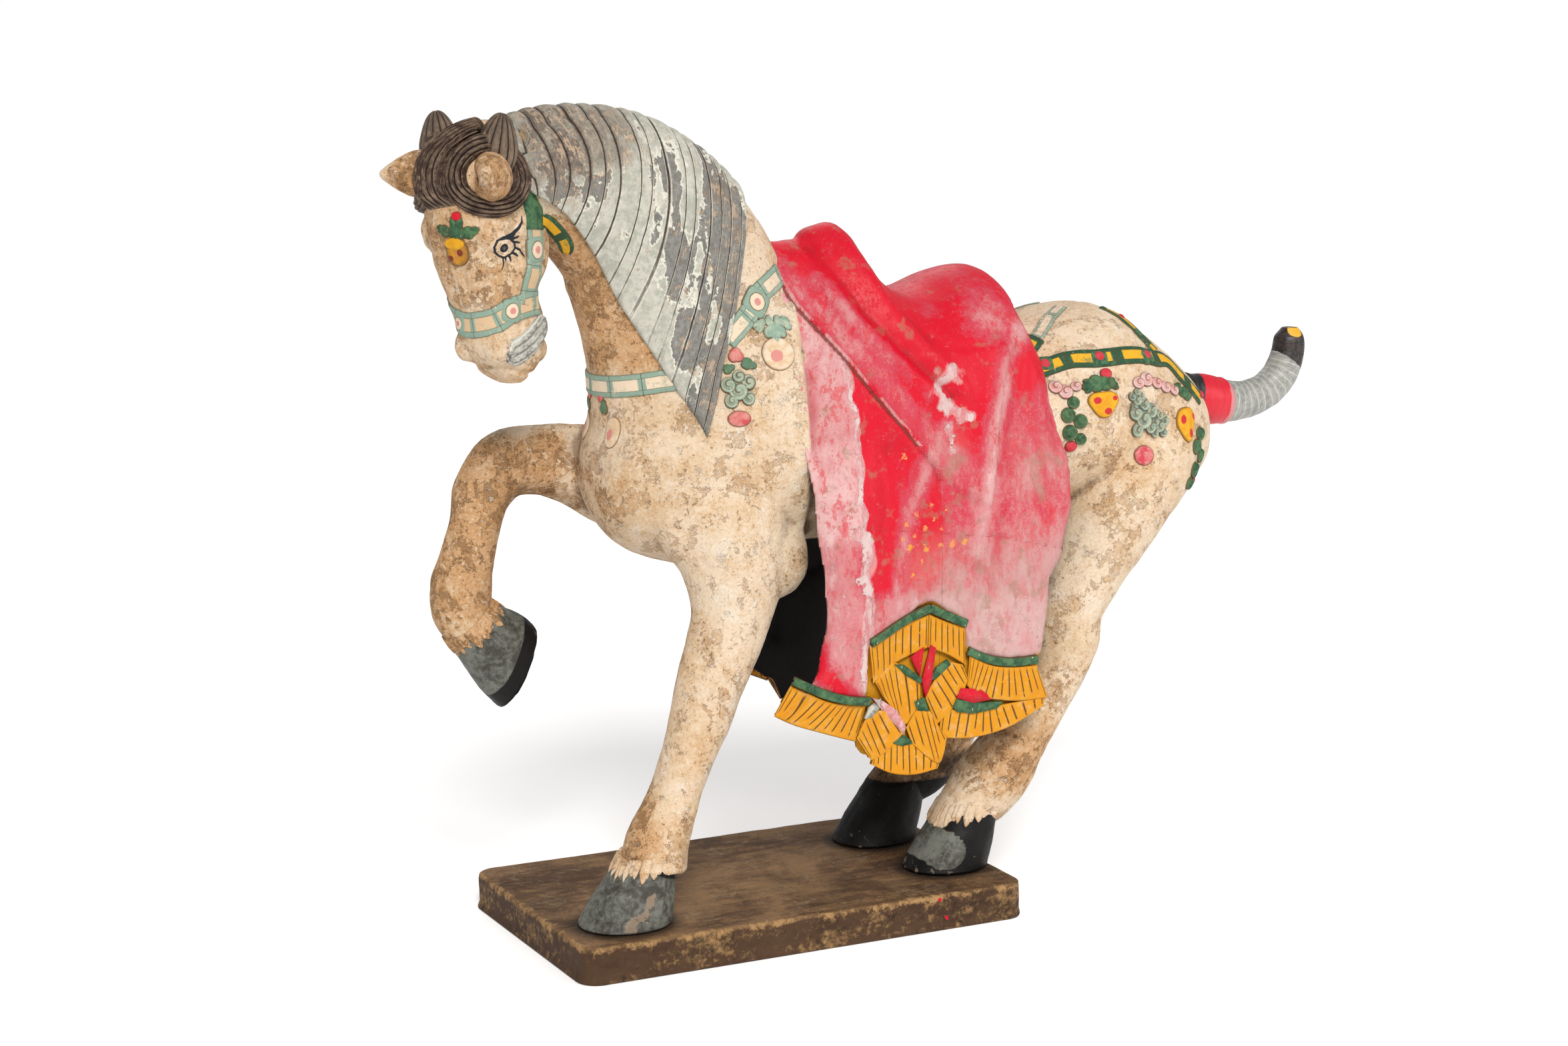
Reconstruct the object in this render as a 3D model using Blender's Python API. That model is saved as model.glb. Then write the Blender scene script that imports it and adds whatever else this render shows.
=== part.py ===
"""A painted terracotta horse, pacing with its off forefoot raised, on a flat rectangular plinth.

The head points along -X and the near (left) flank faces -Y. The origin is below the plinth.
The horse is one piece: body, saddle under its cloth, mane, forelock and tail.
The plinth is the second piece.
"""

import math

import bmesh
import bpy
from mathutils import Matrix, Vector
from mathutils.bvhtree import BVHTree

# Driving dimensions, in metres.
HORSE_HEIGHT = 0.439
PLINTH_THICKNESS = 0.021
PLINTH_BEFORE_TOE = 0.0125
PLINTH_BEHIND_HEEL = 0.0015
PLINTH_BESIDE_NEAR_HOOF = 0.0115
PLINTH_BESIDE_FAR_HOOF = 0.0275
PLINTH_CORNER_RADIUS = 0.012
PLINTH_EDGE_ROUND = 0.003
SEAT_GAP = 0.0003
CLOTH_THICKNESS = 0.0060
FRINGE_DEPTH = 0.0012
FRINGE_PITCH = 0.0052
SKIN_GRAIN = 0.0017
HORSE_TRIANGLES = 9400

# The figure is laid out in shares of its own height: a unit is a millimetre on a horse
# of LAYOUT_HEIGHT units.
# A figure point is (x, y, z), with z counted from the top of the plinth.
LAYOUT_HEIGHT = 439.0
UNIT = HORSE_HEIGHT / LAYOUT_HEIGHT
FIGURE_BASE = PLINTH_THICKNESS + SEAT_GAP
HOOF_OVERLAP = 5.0
SIDES = 44
NEAR = -1
FAR = 1

# Torso: x, height of the back, height of the belly, half-width.
TORSO = (
    (-96, 250, 233, 8),
    (-91, 262, 215, 25),
    (-78, 291, 198, 40),
    (-52, 322, 187, 52),
    (-20, 338, 184, 58),
    (15, 340, 186, 61),
    (60, 324, 190, 62),
    (110, 312, 194, 61),
    (155, 309, 198, 60),
    (195, 317, 200, 60),
    (222, 316, 200, 58),
    (246, 303, 200, 53),
    (268, 287, 203, 45),
    (286, 272, 208, 33),
    (297, 258, 216, 19),
    (301, 246, 226, 7),
)
# Neck: centre x, y, z, half-depth from throat to crest, half-width.
NECK = (
    (-10, 0, 212, 58, 44),
    (-17, 0, 250, 73, 52),
    (-33, 0, 311, 62.5, 44),
    (-49, -1, 348, 58, 35),
    (-72, -3, 377, 52, 30),
    (-98, -7, 393, 45, 27),
    (-124, -11, 401, 36, 25),
    (-146, -15, 402, 28, 23),
)
# Head: height, x and y of its axis, reach to the face, reach to the jaw, half-width.
HEAD_YAW = math.radians(27)
HEAD = (
    (431, -163, -17, 6, 9, 7),
    (426, -164, -17, 15, 19, 16),
    (415, -165, -18, 22, 26, 23),
    (400, -165, -19, 26, 33, 27),
    (384, -165, -21, 27, 39, 26.5),
    (370, -165, -22, 25, 43, 27),
    (356, -164, -24, 22, 39, 25),
    (342, -162, -25, 20, 30, 21),
    (330, -159, -26, 19, 31, 19),
    (318, -157, -27, 20, 29, 18),
    (307, -155, -27, 17, 23, 16),
    (300, -153, -27, 11, 14, 12),
    (295.5, -151, -27, 5, 6, 6),
)
# Bosses of the head: height, lateral, ahead, and the three radii: lateral, ahead, up.
BROW = (374, 18, 10, 9, 11, 12)
NOSTRIL = (316, 10, 11, 7.5, 9, 10)
CHIN = (311, 0, -24, 9, 8, 8)
# Forelock: strands that curl round each ear. The ear's bearing from the face and its height,
# then the rings' reach to each side and up, and the sweep of each strand.
EAR_BEARING = math.radians(62)
EAR_LEVEL = 401.0
CURL_BEARING = math.radians(40)
CURL_HEIGHT = 24.0
CURL_START = 80.0
CURL_SWEEP = 255.0
CURL_STATIONS = 16
CURL_SHARES = (0.62, 0.8, 0.98)
CURL_WIDTH = 4.2
# Legs: centre x, y, z, half-depth fore and aft, half-width.
NEAR_FORELEG = (
    (-32, -20, 262, 30, 14),
    (-33, -33, 226, 42, 24),
    (-27, -38, 190, 31, 22),
    (-30, -41, 162, 23, 19),
    (-38, -43, 141, 21, 17),
    (-45, -44, 124, 19.5, 16),
    (-51, -45, 107, 17.5, 15),
    (-57, -46, 92, 15.5, 14),
    (-65, -46, 72, 14.5, 13.5),
    (-72, -47, 55, 16, 15),
    (-78, -47, 41, 18, 17),
    (-80, -47, 28, 18.5, 18),
)
RAISED_FORELEG = (
    (-40, 30, 222, 34, 26),
    (-66, 38, 230, 28, 24),
    (-86, 42, 237, 23, 20),
    (-106, 44, 241, 19.5, 17),
    (-126, 45, 240, 19, 16),
    (-139, 46, 226, 16.5, 15),
    (-144, 46, 208, 14, 14),
    (-149, 46, 190, 15, 14.5),
    (-153, 46, 174, 17, 16),
    (-153, 46, 160, 16.5, 16),
    (-148, 46, 150, 14.5, 15),
)
NEAR_HIND_LEG = (
    (240, -10, 282, 24, 12),
    (239, -24, 240, 44, 30),
    (222, -33, 204, 34, 28),
    (203, -36, 172, 25, 23),
    (189, -38, 145, 20.5, 19),
    (187, -38, 126, 20, 17),
    (182, -37, 107, 16.5, 15),
    (170, -36, 87, 15.5, 14.5),
    (154, -35, 67, 19, 17),
    (146, -34, 55, 21, 18.5),
    (135, -33, 42, 20.5, 18.5),
    (126, -33, 34, 17.5, 17),
)
# Hooves: x, y, z of the coronet, its half-length and half-width, then the same of the sole.
NEAR_FORE_HOOF = ((-86, -47, 32, 15.5, 16.5), (-98, -48, 0, 26, 23))
NEAR_HIND_HOOF = ((124, -33, 33, 19, 17), (110, -33, 0, 25, 22))
RAISED_HOOF = ((-146, 46, 151, 16, 16.5), (-122, 46, 126, 25, 22))
RAISED_SOLE_NORMAL = (0.90, 0.0, -0.42)
FAR_HIND_SHIFT = -11.0
FAR_HIND_SHIFT_TOP = 70.0

# Tail: x, y, z, radius.
TAIL = (
    (280, 0, 262, 13),
    (293, 0, 257, 13.5),
    (306, 0, 254, 14.5),
    (320, 0, 252, 13),
    (336, 0, 252, 11.3),
    (351, 0, 257, 10.8),
    (361, 0, 266, 10.5),
    (366, 0, 278, 10),
    (367, 0, 288, 9),
    (367, 0, 294, 5),
)

# Saddle under its cloth: x, crest height, half-width, squareness of the arch.
SADDLE = (
    (-17, 366, 36, 1.5),
    (-4, 366, 48, 1.55),
    (14, 360, 58, 1.6),
    (28, 360, 63, 1.6),
    (38, 367, 65, 1.55),
    (50, 367, 66, 1.6),
    (62, 360, 67, 1.75),
    (73, 340, 67, 2.1),
    (86, 330, 67, 2.3),
    (100, 332, 67, 2.2),
    (116, 339, 67, 2.0),
    (131, 342, 67, 1.9),
    (146, 339, 66, 1.9),
    (154, 326, 64, 2.0),
    (160, 312, 61, 2.1),
)
SADDLE_FOOT = 262.0
SADDLE_UNDERSIDE = 215.0

# Saddle cloth, one flap a side: its front and rear edge as (height, x), and its scalloped foot
# and hem as (x, height).
FLAP_TOP = 300.0
FLAP_FRONT = (
    (300, 2), (262, 4), (215, 8), (177, 13), (159, 14), (137, 9), (124, 4), (108, -14), (60, -14),
)
FLAP_REAR = (
    (302, 146), (283, 152), (260, 165), (233, 171), (213, 171), (187, 165), (168, 157),
    (123, 152), (100, 158), (60, 158),
)
FLAP_FOOT = (
    (-15, 109), (7, 102), (28, 94), (38, 80), (55, 71), (72, 70), (83, 76), (88, 87),
    (113, 88), (135, 94), (158, 103),
)
FLAP_HEM = (
    (-20, 126), (5, 124), (20, 117), (36, 112), (38, 146), (58, 156), (77, 167), (92, 158),
    (98, 146), (112, 132), (140, 126), (160, 126),
)
FLAP_REACH = ((300, 60), (240, 70), (190, 72), (150, 72.5), (110, 74), (60, 77))
FLAP_LEAVES = 262.0
FLAP_FREE = 225.0
FLAP_ACROSS = 84
FLAP_DOWN = 72
FLAP_EDGE_TURN = 9.0
FLAP_EDGE_WIDTH = 14.0
CLOTH_OFF_BODY = 0.8
FAR_FLAP_SHIFT = 28.0
FAR_FLAP_FADE = 70.0
PANEL_STEP = 1.6

# Mane: the crest and the lower edge of the near fall, both as (x, z) from poll to withers.
MANE_CREST = (
    (-142, 430), (-130, 436.5), (-110, 438.5), (-88, 436), (-67, 428), (-46, 418), (-28, 406),
    (-13, 392), (-3, 382),
)
MANE_EDGE = (
    (-124, 384), (-112, 371), (-99, 352), (-88, 330), (-77, 309), (-67, 290), (-58, 275),
    (-53, 266), (-50, 260),
)
MANE_LOCKS = 16
MANE_LOCK_RISE = 3.2
MANE_LOCK_WIDTH = 5.4
MANE_LOCK_TAPER = 0.45
MANE_SWEEP_FRONT = 6.5
MANE_SWEEP_GROWTH = 5.0
MANE_STATIONS = 18

# Ears and tufts: the way a form narrows from its root to its tip, then roots, reaches and sizes.
LEAF_STATIONS = ((0, 1), (0.3, 1.02), (0.6, 0.8), (0.82, 0.5), (0.95, 0.24), (1, 0.08))
EAR_LENGTH = 34.0
EAR_OUTWARD = 0.54
EAR_FORWARD = 0.84
EAR_RADIUS = 13.0
EAR_FLATNESS = 0.8
EAR_ROOT = (403, 17, 5)
TUFT_ROOT = (412, 18, 6)
TUFT_HEIGHT = 26.0
TUFT_SPREAD = 5.0
TUFT_RADIUS = 12.0
TUFT_FLATNESS = 0.62

# Hoof walls: stations from coronet to sole, and how far they swell between.
HOOF_STATIONS = (0.0, 0.25, 0.5, 0.75, 1.0)
HOOF_SWELL = 0.16


def figure(x, y, z):
    """A point of the figure's layout, in metres."""
    return Vector((x * UNIT, y * UNIT, FIGURE_BASE + z * UNIT))


def between(rows, steps):
    """Rows of numbers with smooth rows put between them, steps to a gap."""
    found = []
    for i in range(len(rows) - 1):
        before, a, b = rows[max(i - 1, 0)], rows[i], rows[i + 1]
        after = rows[min(i + 2, len(rows) - 1)]
        for k in range(steps):
            found.append(tuple(
                on_curve(p, q, r, s, k / steps) for p, q, r, s in zip(before, a, b, after)))
    return found + [tuple(rows[-1])]


def on_curve(p, q, r, s, t):
    """The value at a share t of the way from q to r on a smooth curve through all four."""
    bend = (2 * p - 5 * q + 4 * r - s) * t * t
    return 0.5 * (2 * q + (r - p) * t + bend + (3 * q - p - 3 * r + s) * t ** 3)


def lookup(pairs, key):
    """Reads a list of (key, value) pairs at a key between them."""
    ordered = sorted(pairs)
    if key <= ordered[0][0]:
        return ordered[0][1]
    for (k0, v0), (k1, v1) in zip(ordered, ordered[1:]):
        if key <= k1:
            t = (key - k0) / (k1 - k0)
            t = t * t * (3 - 2 * t)
            return v0 + (v1 - v0) * t
    return ordered[-1][1]


def ring_points(centre, side, up, half_side, half_up, half_down=None, power=2.0, sides=SIDES):
    """A rounded section whose points reach half_side along side and half_up along up."""
    half_down = half_up if half_down is None else half_down
    points = []
    for i in range(sides):
        angle = 2 * math.pi * i / sides
        c, s = math.cos(angle), math.sin(angle)
        across = math.copysign(abs(c) ** (2 / power), c)
        along = math.copysign(abs(s) ** (2 / power), s)
        reach = half_up if s > 0 else half_down
        points.append(centre + side * half_side * across + up * reach * along)
    return points


def skin(rings, mesh_name):
    """A closed mesh through rings of points, flat at both ends."""
    bm = bmesh.new()
    loops = []
    for points in rings:
        made = bmesh.ops.create_circle(bm, cap_ends=False, segments=len(points), radius=1.0)["verts"]
        for vert, point in zip(made, points):
            vert.co = point
        loops.append([bm.edges.get((a, b)) for a, b in zip(made, made[1:] + made[:1])])
    for lower, upper in zip(loops, loops[1:]):
        bmesh.ops.bridge_loops(bm, edges=lower + upper)
    for end in (loops[0], loops[-1]):
        bmesh.ops.edgeloop_fill(bm, edges=end)
    bmesh.ops.recalc_face_normals(bm, faces=bm.faces)
    mesh = bpy.data.meshes.new(mesh_name)
    bm.to_mesh(mesh)
    bm.free()
    return mesh


def tube(rows, name, across=Vector((0, 1, 0)), power=2.0, steps=6):
    """A limb through rows of x, y, z, half-depth, half-width, its sections square to its path."""
    fine = between(rows, steps)
    centres = [figure(*row[:3]) for row in fine]
    rings = []
    for i, row in enumerate(fine):
        ahead = (centres[min(i + 1, len(fine) - 1)] - centres[max(i - 1, 0)]).normalized()
        depth = across.cross(ahead).normalized()
        width = ahead.cross(depth).normalized()
        rings.append(ring_points(centres[i], width, depth, row[4] * UNIT, row[3] * UNIT, power=power))
    return skin(rings, name)


def torso():
    rings = []
    for x, top, bottom, half in between(TORSO, 6):
        middle = bottom + 0.46 * (top - bottom)
        rings.append(ring_points(
            figure(x, 0, middle), Vector((0, 1, 0)), Vector((0, 0, 1)), half * UNIT, (top - middle) * UNIT,
            (middle - bottom) * UNIT, power=2.15))
    return skin(rings, "torso")


def head_axes():
    """The way the face looks and the head's left, both level."""
    forward = Vector((-math.cos(HEAD_YAW), -math.sin(HEAD_YAW), 0))
    return forward, Vector((-forward.y, forward.x, 0))


def head_axis_at(height):
    """The head's axis at a height of the layout."""
    x = lookup([(row[0], row[1]) for row in HEAD], height)
    return x, lookup([(row[0], row[2]) for row in HEAD], height)


def head():
    forward, left = head_axes()
    rings = []
    for z, x, y, face, jaw, half in between(HEAD, 6):
        rings.append(ring_points(
            figure(x, y, z), left, forward, half * UNIT, face * UNIT, jaw * UNIT, power=2.2))
    return skin(rings, "head")


def head_point(height, lateral, ahead):
    """A point of the layout, placed from the head's axis."""
    forward, left = head_axes()
    x, y = head_axis_at(height)
    return Vector((x, y, height)) + left * lateral + forward * ahead


def ball(centre, turn, radii):
    """A swelling of the head: an egg with its own three radii."""
    bm = bmesh.new()
    bmesh.ops.create_uvsphere(bm, u_segments=20, v_segments=12, radius=1.0)
    bmesh.ops.scale(bm, vec=Vector(radii) * UNIT, verts=bm.verts)
    bmesh.ops.rotate(bm, cent=Vector(), matrix=turn, verts=bm.verts)
    bmesh.ops.translate(bm, vec=figure(*centre), verts=bm.verts)
    mesh = bpy.data.meshes.new("boss")
    bm.to_mesh(mesh)
    bm.free()
    return mesh


def bosses():
    """Brows over the eyes, nostrils and the chin."""
    forward, left = head_axes()
    turn = Matrix((left, forward, Vector((0, 0, 1)))).transposed()
    meshes = []
    for side in (1, -1):
        for height, lateral, ahead, *radii in (BROW, NOSTRIL):
            meshes.append(ball(head_point(height, side * lateral, ahead), turn, radii))
    height, lateral, ahead, *radii = CHIN
    meshes.append(ball(head_point(height, lateral, ahead), turn, radii))
    return meshes


def forelock(skull):
    """Strands that leave the crown and curl round the root of each ear."""
    tree = BVHTree.FromPolygons([v.co for v in skull.vertices], [p.vertices for p in skull.polygons])
    forward, left = head_axes()
    meshes = []
    widths = [CURL_WIDTH * UNIT] * (CURL_STATIONS + 1)
    for side in (1, -1):
        for share in CURL_SHARES:
            points, normals = [], []
            for k in range(CURL_STATIONS + 1):
                turn = math.radians(CURL_START + CURL_SWEEP * k / CURL_STATIONS)
                bearing = EAR_BEARING + CURL_BEARING * share * math.cos(turn)
                height = EAR_LEVEL + CURL_HEIGHT * share * math.sin(turn)
                way = forward * math.cos(bearing) + left * side * math.sin(bearing)
                axis_x, axis_y = head_axis_at(height)
                axis = figure(axis_x, axis_y, height)
                hit, normal, _, _ = tree.ray_cast(axis + way * 0.2, -way)
                points.append(hit)
                normals.append(normal)
            meshes.append(strand(points, normals, widths, CURL_WIDTH * UNIT, "curl"))
    return meshes


def leaf_rows(start, finish, radius, flat):
    """A pointed form from start to finish, broadest near its root, as rows for a tube."""
    return [
        tuple(start.lerp(finish, t)) + (radius * share * flat, radius * share)
        for t, share in LEAF_STATIONS
    ]


def ears():
    """Two ears at the sides of the forehead, pricked forwards, each with a scooped front."""
    meshes = []
    height, lateral, ahead = EAR_ROOT
    for side in (1, -1):
        root = head_point(height, side * lateral, ahead)
        outward = side * (lateral + EAR_LENGTH * EAR_OUTWARD)
        tip = head_point(height + 1, outward, ahead + EAR_LENGTH * EAR_FORWARD)
        rows = leaf_rows(root, tip, EAR_RADIUS, EAR_FLATNESS)
        meshes.append(tube(rows, "ear", across=Vector((0, 0, 1))))
    return meshes


def tufts():
    """Two upright tufts of hair above the ears."""
    meshes = []
    height, lateral, ahead = TUFT_ROOT
    for side in (1, -1):
        root = head_point(height, side * lateral, ahead)
        tip = head_point(height + TUFT_HEIGHT, side * (lateral + TUFT_SPREAD), ahead + 1)
        rows = leaf_rows(root, tip, TUFT_RADIUS, TUFT_FLATNESS)
        meshes.append(tube(rows, "tuft", across=head_axes()[1]))
    return meshes


def hoof(spec, sole_normal=None):
    """A hoof from its coronet to its sole, longer at the toe."""
    (x0, y0, z0, half0, wide0), (x1, y1, z1, half1, wide1) = spec
    top, sole = figure(x0, y0, z0), figure(x1, y1, z1)
    if sole_normal is None:
        sole -= Vector((0, 0, HOOF_OVERLAP * UNIT))
        long_way = Vector((-1, 0, 0))
        long_top = Vector((-1, 0, -0.15)).normalized()
    else:
        normal = Vector(sole_normal).normalized()
        long_way = Vector((0, 1, 0)).cross(normal).normalized()
        long_top = (long_way + Vector((-0.5, 0, 0.1))).normalized()
    rings = []
    for t in HOOF_STATIONS:
        swell = t + HOOF_SWELL * math.sin(math.pi * t)
        axis = long_top.lerp(long_way, t).normalized()
        wide = (wide0 + (wide1 - wide0) * swell) * UNIT
        half = (half0 + (half1 - half0) * swell) * UNIT
        rings.append(ring_points(
            top.lerp(sole, t), Vector((0, 1, 0)), axis, wide, half, power=2.1))
    return skin(rings, "hoof")


def shifted(rows, shift, fade_to):
    """The far copy of a near limb: mirrored in y, its foot moved along x."""
    low = min(row[2] for row in rows)
    return [
        (row[0] + shift * max(0.0, min(1.0, (fade_to - row[2]) / (fade_to - low))), -row[1], *row[2:])
        for row in rows
    ]


def saddle():
    rings = []
    for x, top, half, power in between(SADDLE, 8):
        rings.append(ring_points(
            figure(x, 0, SADDLE_FOOT), Vector((0, 1, 0)), Vector((0, 0, 1)), half * UNIT,
            (top - SADDLE_FOOT) * UNIT, (SADDLE_FOOT - SADDLE_UNDERSIDE) * UNIT, power=power))
    return skin(rings, "saddle")


def cloth_fold(u, v):
    """How far the hanging cloth swells outwards at a share u of its length and v of its drop."""
    deep = min(1.0, v / 0.35)
    left_roll = math.exp(-((u - 0.16) / 0.11) ** 2)
    middle_hollow = math.exp(-((u - 0.36) / 0.08) ** 2)
    rear_roll = math.exp(-((u - 0.78) / 0.16) ** 2)
    return deep * (4.0 * left_roll - 2.2 * middle_hollow + 3.0 * rear_roll)


def flap(side, found):
    """One hanging flap of the saddle cloth with its fringe, as a thick sheet."""
    bm = bmesh.new()
    bmesh.ops.create_grid(bm, x_segments=FLAP_ACROSS, y_segments=FLAP_DOWN, size=0.5)
    for vert in bm.verts:
        u, v = vert.co.x + 0.5, 0.5 - vert.co.y
        foot_x = FLAP_FOOT[0][0] + u * (FLAP_FOOT[-1][0] - FLAP_FOOT[0][0])
        z = FLAP_TOP + (lookup(FLAP_FOOT, foot_x) - FLAP_TOP) * v
        front, rear = lookup(FLAP_FRONT, z), lookup(FLAP_REAR, z)
        x = front + u * (rear - front)
        seated = abs(found(x, max(z, FLAP_LEAVES), side)[0].y) / UNIT + CLOTH_OFF_BODY
        free = min(1.0, max(0.0, (FLAP_LEAVES - z) / (FLAP_LEAVES - FLAP_FREE)))
        free = free * free * (3 - 2 * free)
        reach = seated + (lookup(FLAP_REACH, z) - seated) * free + cloth_fold(u, v) * free
        edge = min(u, 1 - u) * (rear - front)
        reach -= FLAP_EDGE_TURN * free * max(0.0, 1 - edge / FLAP_EDGE_WIDTH) ** 2
        below_hem = lookup(FLAP_HEM, x) - z
        if below_hem > 0:
            groove = 0.5 + 0.5 * math.cos(2 * math.pi * x * UNIT / FRINGE_PITCH)
            reach -= PANEL_STEP + groove * FRINGE_DEPTH / UNIT
        slide = 0.0
        if side == FAR:
            hangs = min(1.0, max(0.0, (FLAP_FREE - z) / FAR_FLAP_FADE))
            slide = FAR_FLAP_SHIFT * hangs * (1 - u)
        vert.co = figure(x + slide, side * reach, z)
    bmesh.ops.recalc_face_normals(bm, faces=bm.faces)
    facing = sum((face.normal.y * side for face in bm.faces))
    if facing < 0:
        bmesh.ops.reverse_faces(bm, faces=bm.faces)
    bmesh.ops.solidify(bm, geom=bm.faces[:], thickness=CLOTH_THICKNESS)
    bmesh.ops.recalc_face_normals(bm, faces=bm.faces)
    mesh = bpy.data.meshes.new("flap")
    bm.to_mesh(mesh)
    bm.free()
    return mesh


def surface_finder(meshes):
    """A function that finds the outer skin of some meshes at (x, z) on one side of the figure."""
    verts, faces = [], []
    for mesh in meshes:
        offset = len(verts)
        verts += [v.co.copy() for v in mesh.vertices]
        faces += [[offset + i for i in p.vertices] for p in mesh.polygons]
    tree = BVHTree.FromPolygons(verts, faces)

    def found(x, z, side):
        origin = figure(x, side * 150, z)
        hit, normal, _, _ = tree.ray_cast(origin, Vector((0, -side, 0)))
        if hit is None:
            return figure(x, side * 2, z), Vector((0, 0, 1))
        return hit, normal

    return found


def strand(points, normals, half_width, rise, name="strand"):
    """A lock of hair laid along points: tapered at both ends, half_width across and rise high."""
    rings = []
    last = len(points) - 1
    for i, (point, normal) in enumerate(zip(points, normals)):
        ahead = (points[min(i + 1, last)] - points[max(i - 1, 0)]).normalized()
        out = (normal - ahead * normal.dot(ahead)).normalized()
        wide = ahead.cross(out).normalized()
        t = i / last
        share = max(0.25, min(1.0, 5 * t + 0.3, 3.2 * (1 - t) + 0.3))
        rings.append(ring_points(point, wide, out, half_width[i] * share, rise * share, sides=12))
    return skin(rings, name)


def mane(found, side):
    """The combed fall of the mane on one side, in locks from the crest that sweep to the tip."""
    meshes = []
    stations = MANE_STATIONS
    wide = [
        MANE_LOCK_WIDTH * UNIT * (1.0 - MANE_LOCK_TAPER * (k / stations) ** 1.5)
        for k in range(stations + 1)
    ]
    for n in range(MANE_LOCKS):
        s = (n + 0.5) / MANE_LOCKS
        crest = between_at(MANE_CREST, s)
        foot = between_at(MANE_EDGE, s)
        back = MANE_SWEEP_FRONT + MANE_SWEEP_GROWTH * s
        points, normals = [], []
        for k in range(stations + 1):
            t = k / stations
            swept = back * math.sin(math.pi * t ** 0.8) * (1 - 0.2 * t)
            x = crest[0] + (foot[0] - crest[0]) * t + swept
            z = crest[1] + (foot[1] - crest[1]) * t ** 1.05
            if t == 0:
                point, normal = figure(x, side * 1.5, z - 3), Vector((0, side * 0.3, 1)).normalized()
            else:
                point, normal = found(x, z - 2.5 * (1 - t), side)
            points.append(point)
            normals.append(normal)
        smoothed = [points[0]] + [
            (points[k - 1] + 2 * points[k] + points[k + 1]) / 4 for k in range(1, stations)
        ] + [points[-1]]
        meshes.append(strand(smoothed, normals, wide, MANE_LOCK_RISE * UNIT))
    return meshes


def between_at(pairs, share):
    """A smooth point at a share of the way along a list of points."""
    fine = between(pairs, 8)
    position = share * (len(fine) - 1)
    i = min(int(position), len(fine) - 2)
    t = position - i
    return tuple(a + (b - a) * t for a, b in zip(fine[i], fine[i + 1]))


def joined(meshes, name):
    """One object that holds all of the meshes."""
    bm = bmesh.new()
    for mesh in meshes:
        bm.from_mesh(mesh)
        bpy.data.meshes.remove(mesh)
    mesh = bpy.data.meshes.new(name)
    bm.to_mesh(mesh)
    bm.free()
    made = bpy.data.objects.new(name, mesh)
    bpy.context.scene.collection.objects.link(made)
    return made


def evaluated(made):
    """The mesh of an object as its modifiers leave it."""
    graph = bpy.context.evaluated_depsgraph_get()
    return bpy.data.meshes.new_from_object(made.evaluated_get(graph))


def fused(made):
    """Makes the overlapping forms of an object one modelled skin."""
    remesh = made.modifiers.new("one_skin", "REMESH")
    remesh.mode = "VOXEL"
    remesh.voxel_size = SKIN_GRAIN
    smooth = made.modifiers.new("wiped_joins", "SMOOTH")
    smooth.factor = 0.5
    smooth.iterations = 2
    mesh = evaluated(made)
    made.modifiers.clear()
    made.data = mesh
    return made


def cut_flat_soles(made):
    """Cuts the planted hooves flat just above the plinth."""
    bm = bmesh.new()
    bm.from_mesh(made.data)
    level = Vector((0, 0, FIGURE_BASE))
    geometry = bm.verts[:] + bm.edges[:] + bm.faces[:]
    bmesh.ops.bisect_plane(bm, geom=geometry, plane_co=level, plane_no=Vector((0, 0, 1)), clear_inner=True)
    rim = [edge for edge in bm.edges if edge.is_boundary]
    bmesh.ops.holes_fill(bm, edges=rim)
    bmesh.ops.recalc_face_normals(bm, faces=bm.faces)
    bmesh.ops.triangulate(bm, faces=bm.faces)
    bm.to_mesh(made.data)
    bm.free()


def faceted(made):
    """Brings a fine skin down to broad facets that keep its carving."""
    reduce = made.modifiers.new("facets", "DECIMATE")
    reduce.ratio = HORSE_TRIANGLES / len(made.data.polygons)
    mesh = evaluated(made)
    made.modifiers.clear()
    made.data = mesh
    return made


def clay(name, colour, roughness):
    """A painted terracotta finish."""
    made = bpy.data.materials.new(name)
    made.use_nodes = True
    shader = made.node_tree.nodes["Principled BSDF"]
    shader.inputs["Base Color"].default_value = (*colour, 1)
    shader.inputs["Roughness"].default_value = roughness
    shader.inputs["Metallic"].default_value = 0.0
    return made


def make_horse():
    body = [torso(), tube(NECK, "neck", power=2.1)]
    near_side = surface_finder(body)
    seat = saddle()
    cloth_side = surface_finder(body[:1] + [seat])
    skull = head()
    meshes = body + [skull, seat, flap(NEAR, cloth_side), flap(FAR, cloth_side)]
    meshes += bosses() + ears() + tufts() + forelock(skull)
    meshes += [tube(NEAR_FORELEG, "near_foreleg"), tube(RAISED_FORELEG, "raised_foreleg")]
    meshes += [tube(NEAR_HIND_LEG, "near_hind_leg")]
    meshes += [tube(shifted(NEAR_HIND_LEG, FAR_HIND_SHIFT, FAR_HIND_SHIFT_TOP), "far_hind_leg")]
    meshes += [hoof(NEAR_FORE_HOOF), hoof(NEAR_HIND_HOOF), hoof(RAISED_HOOF, RAISED_SOLE_NORMAL)]
    meshes += [hoof(far_hind_hoof())]
    meshes += [tube([(*row, row[3]) for row in TAIL], "tail")]
    for side in (NEAR, FAR):
        meshes += mane(near_side, side)
    made = fused(joined(meshes, "horse"))
    cut_flat_soles(made)
    faceted(made)
    made.data.materials.clear()
    made.data.materials.append(clay("painted_terracotta", (0.66, 0.50, 0.36), 0.8))
    made.data.shade_flat()
    return made


def far_hind_hoof():
    """The far hind hoof's rows: the near one mirrored, and a little further forward."""
    return tuple((row[0] + FAR_HIND_SHIFT, -row[1], *row[2:]) for row in NEAR_HIND_HOOF)


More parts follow.
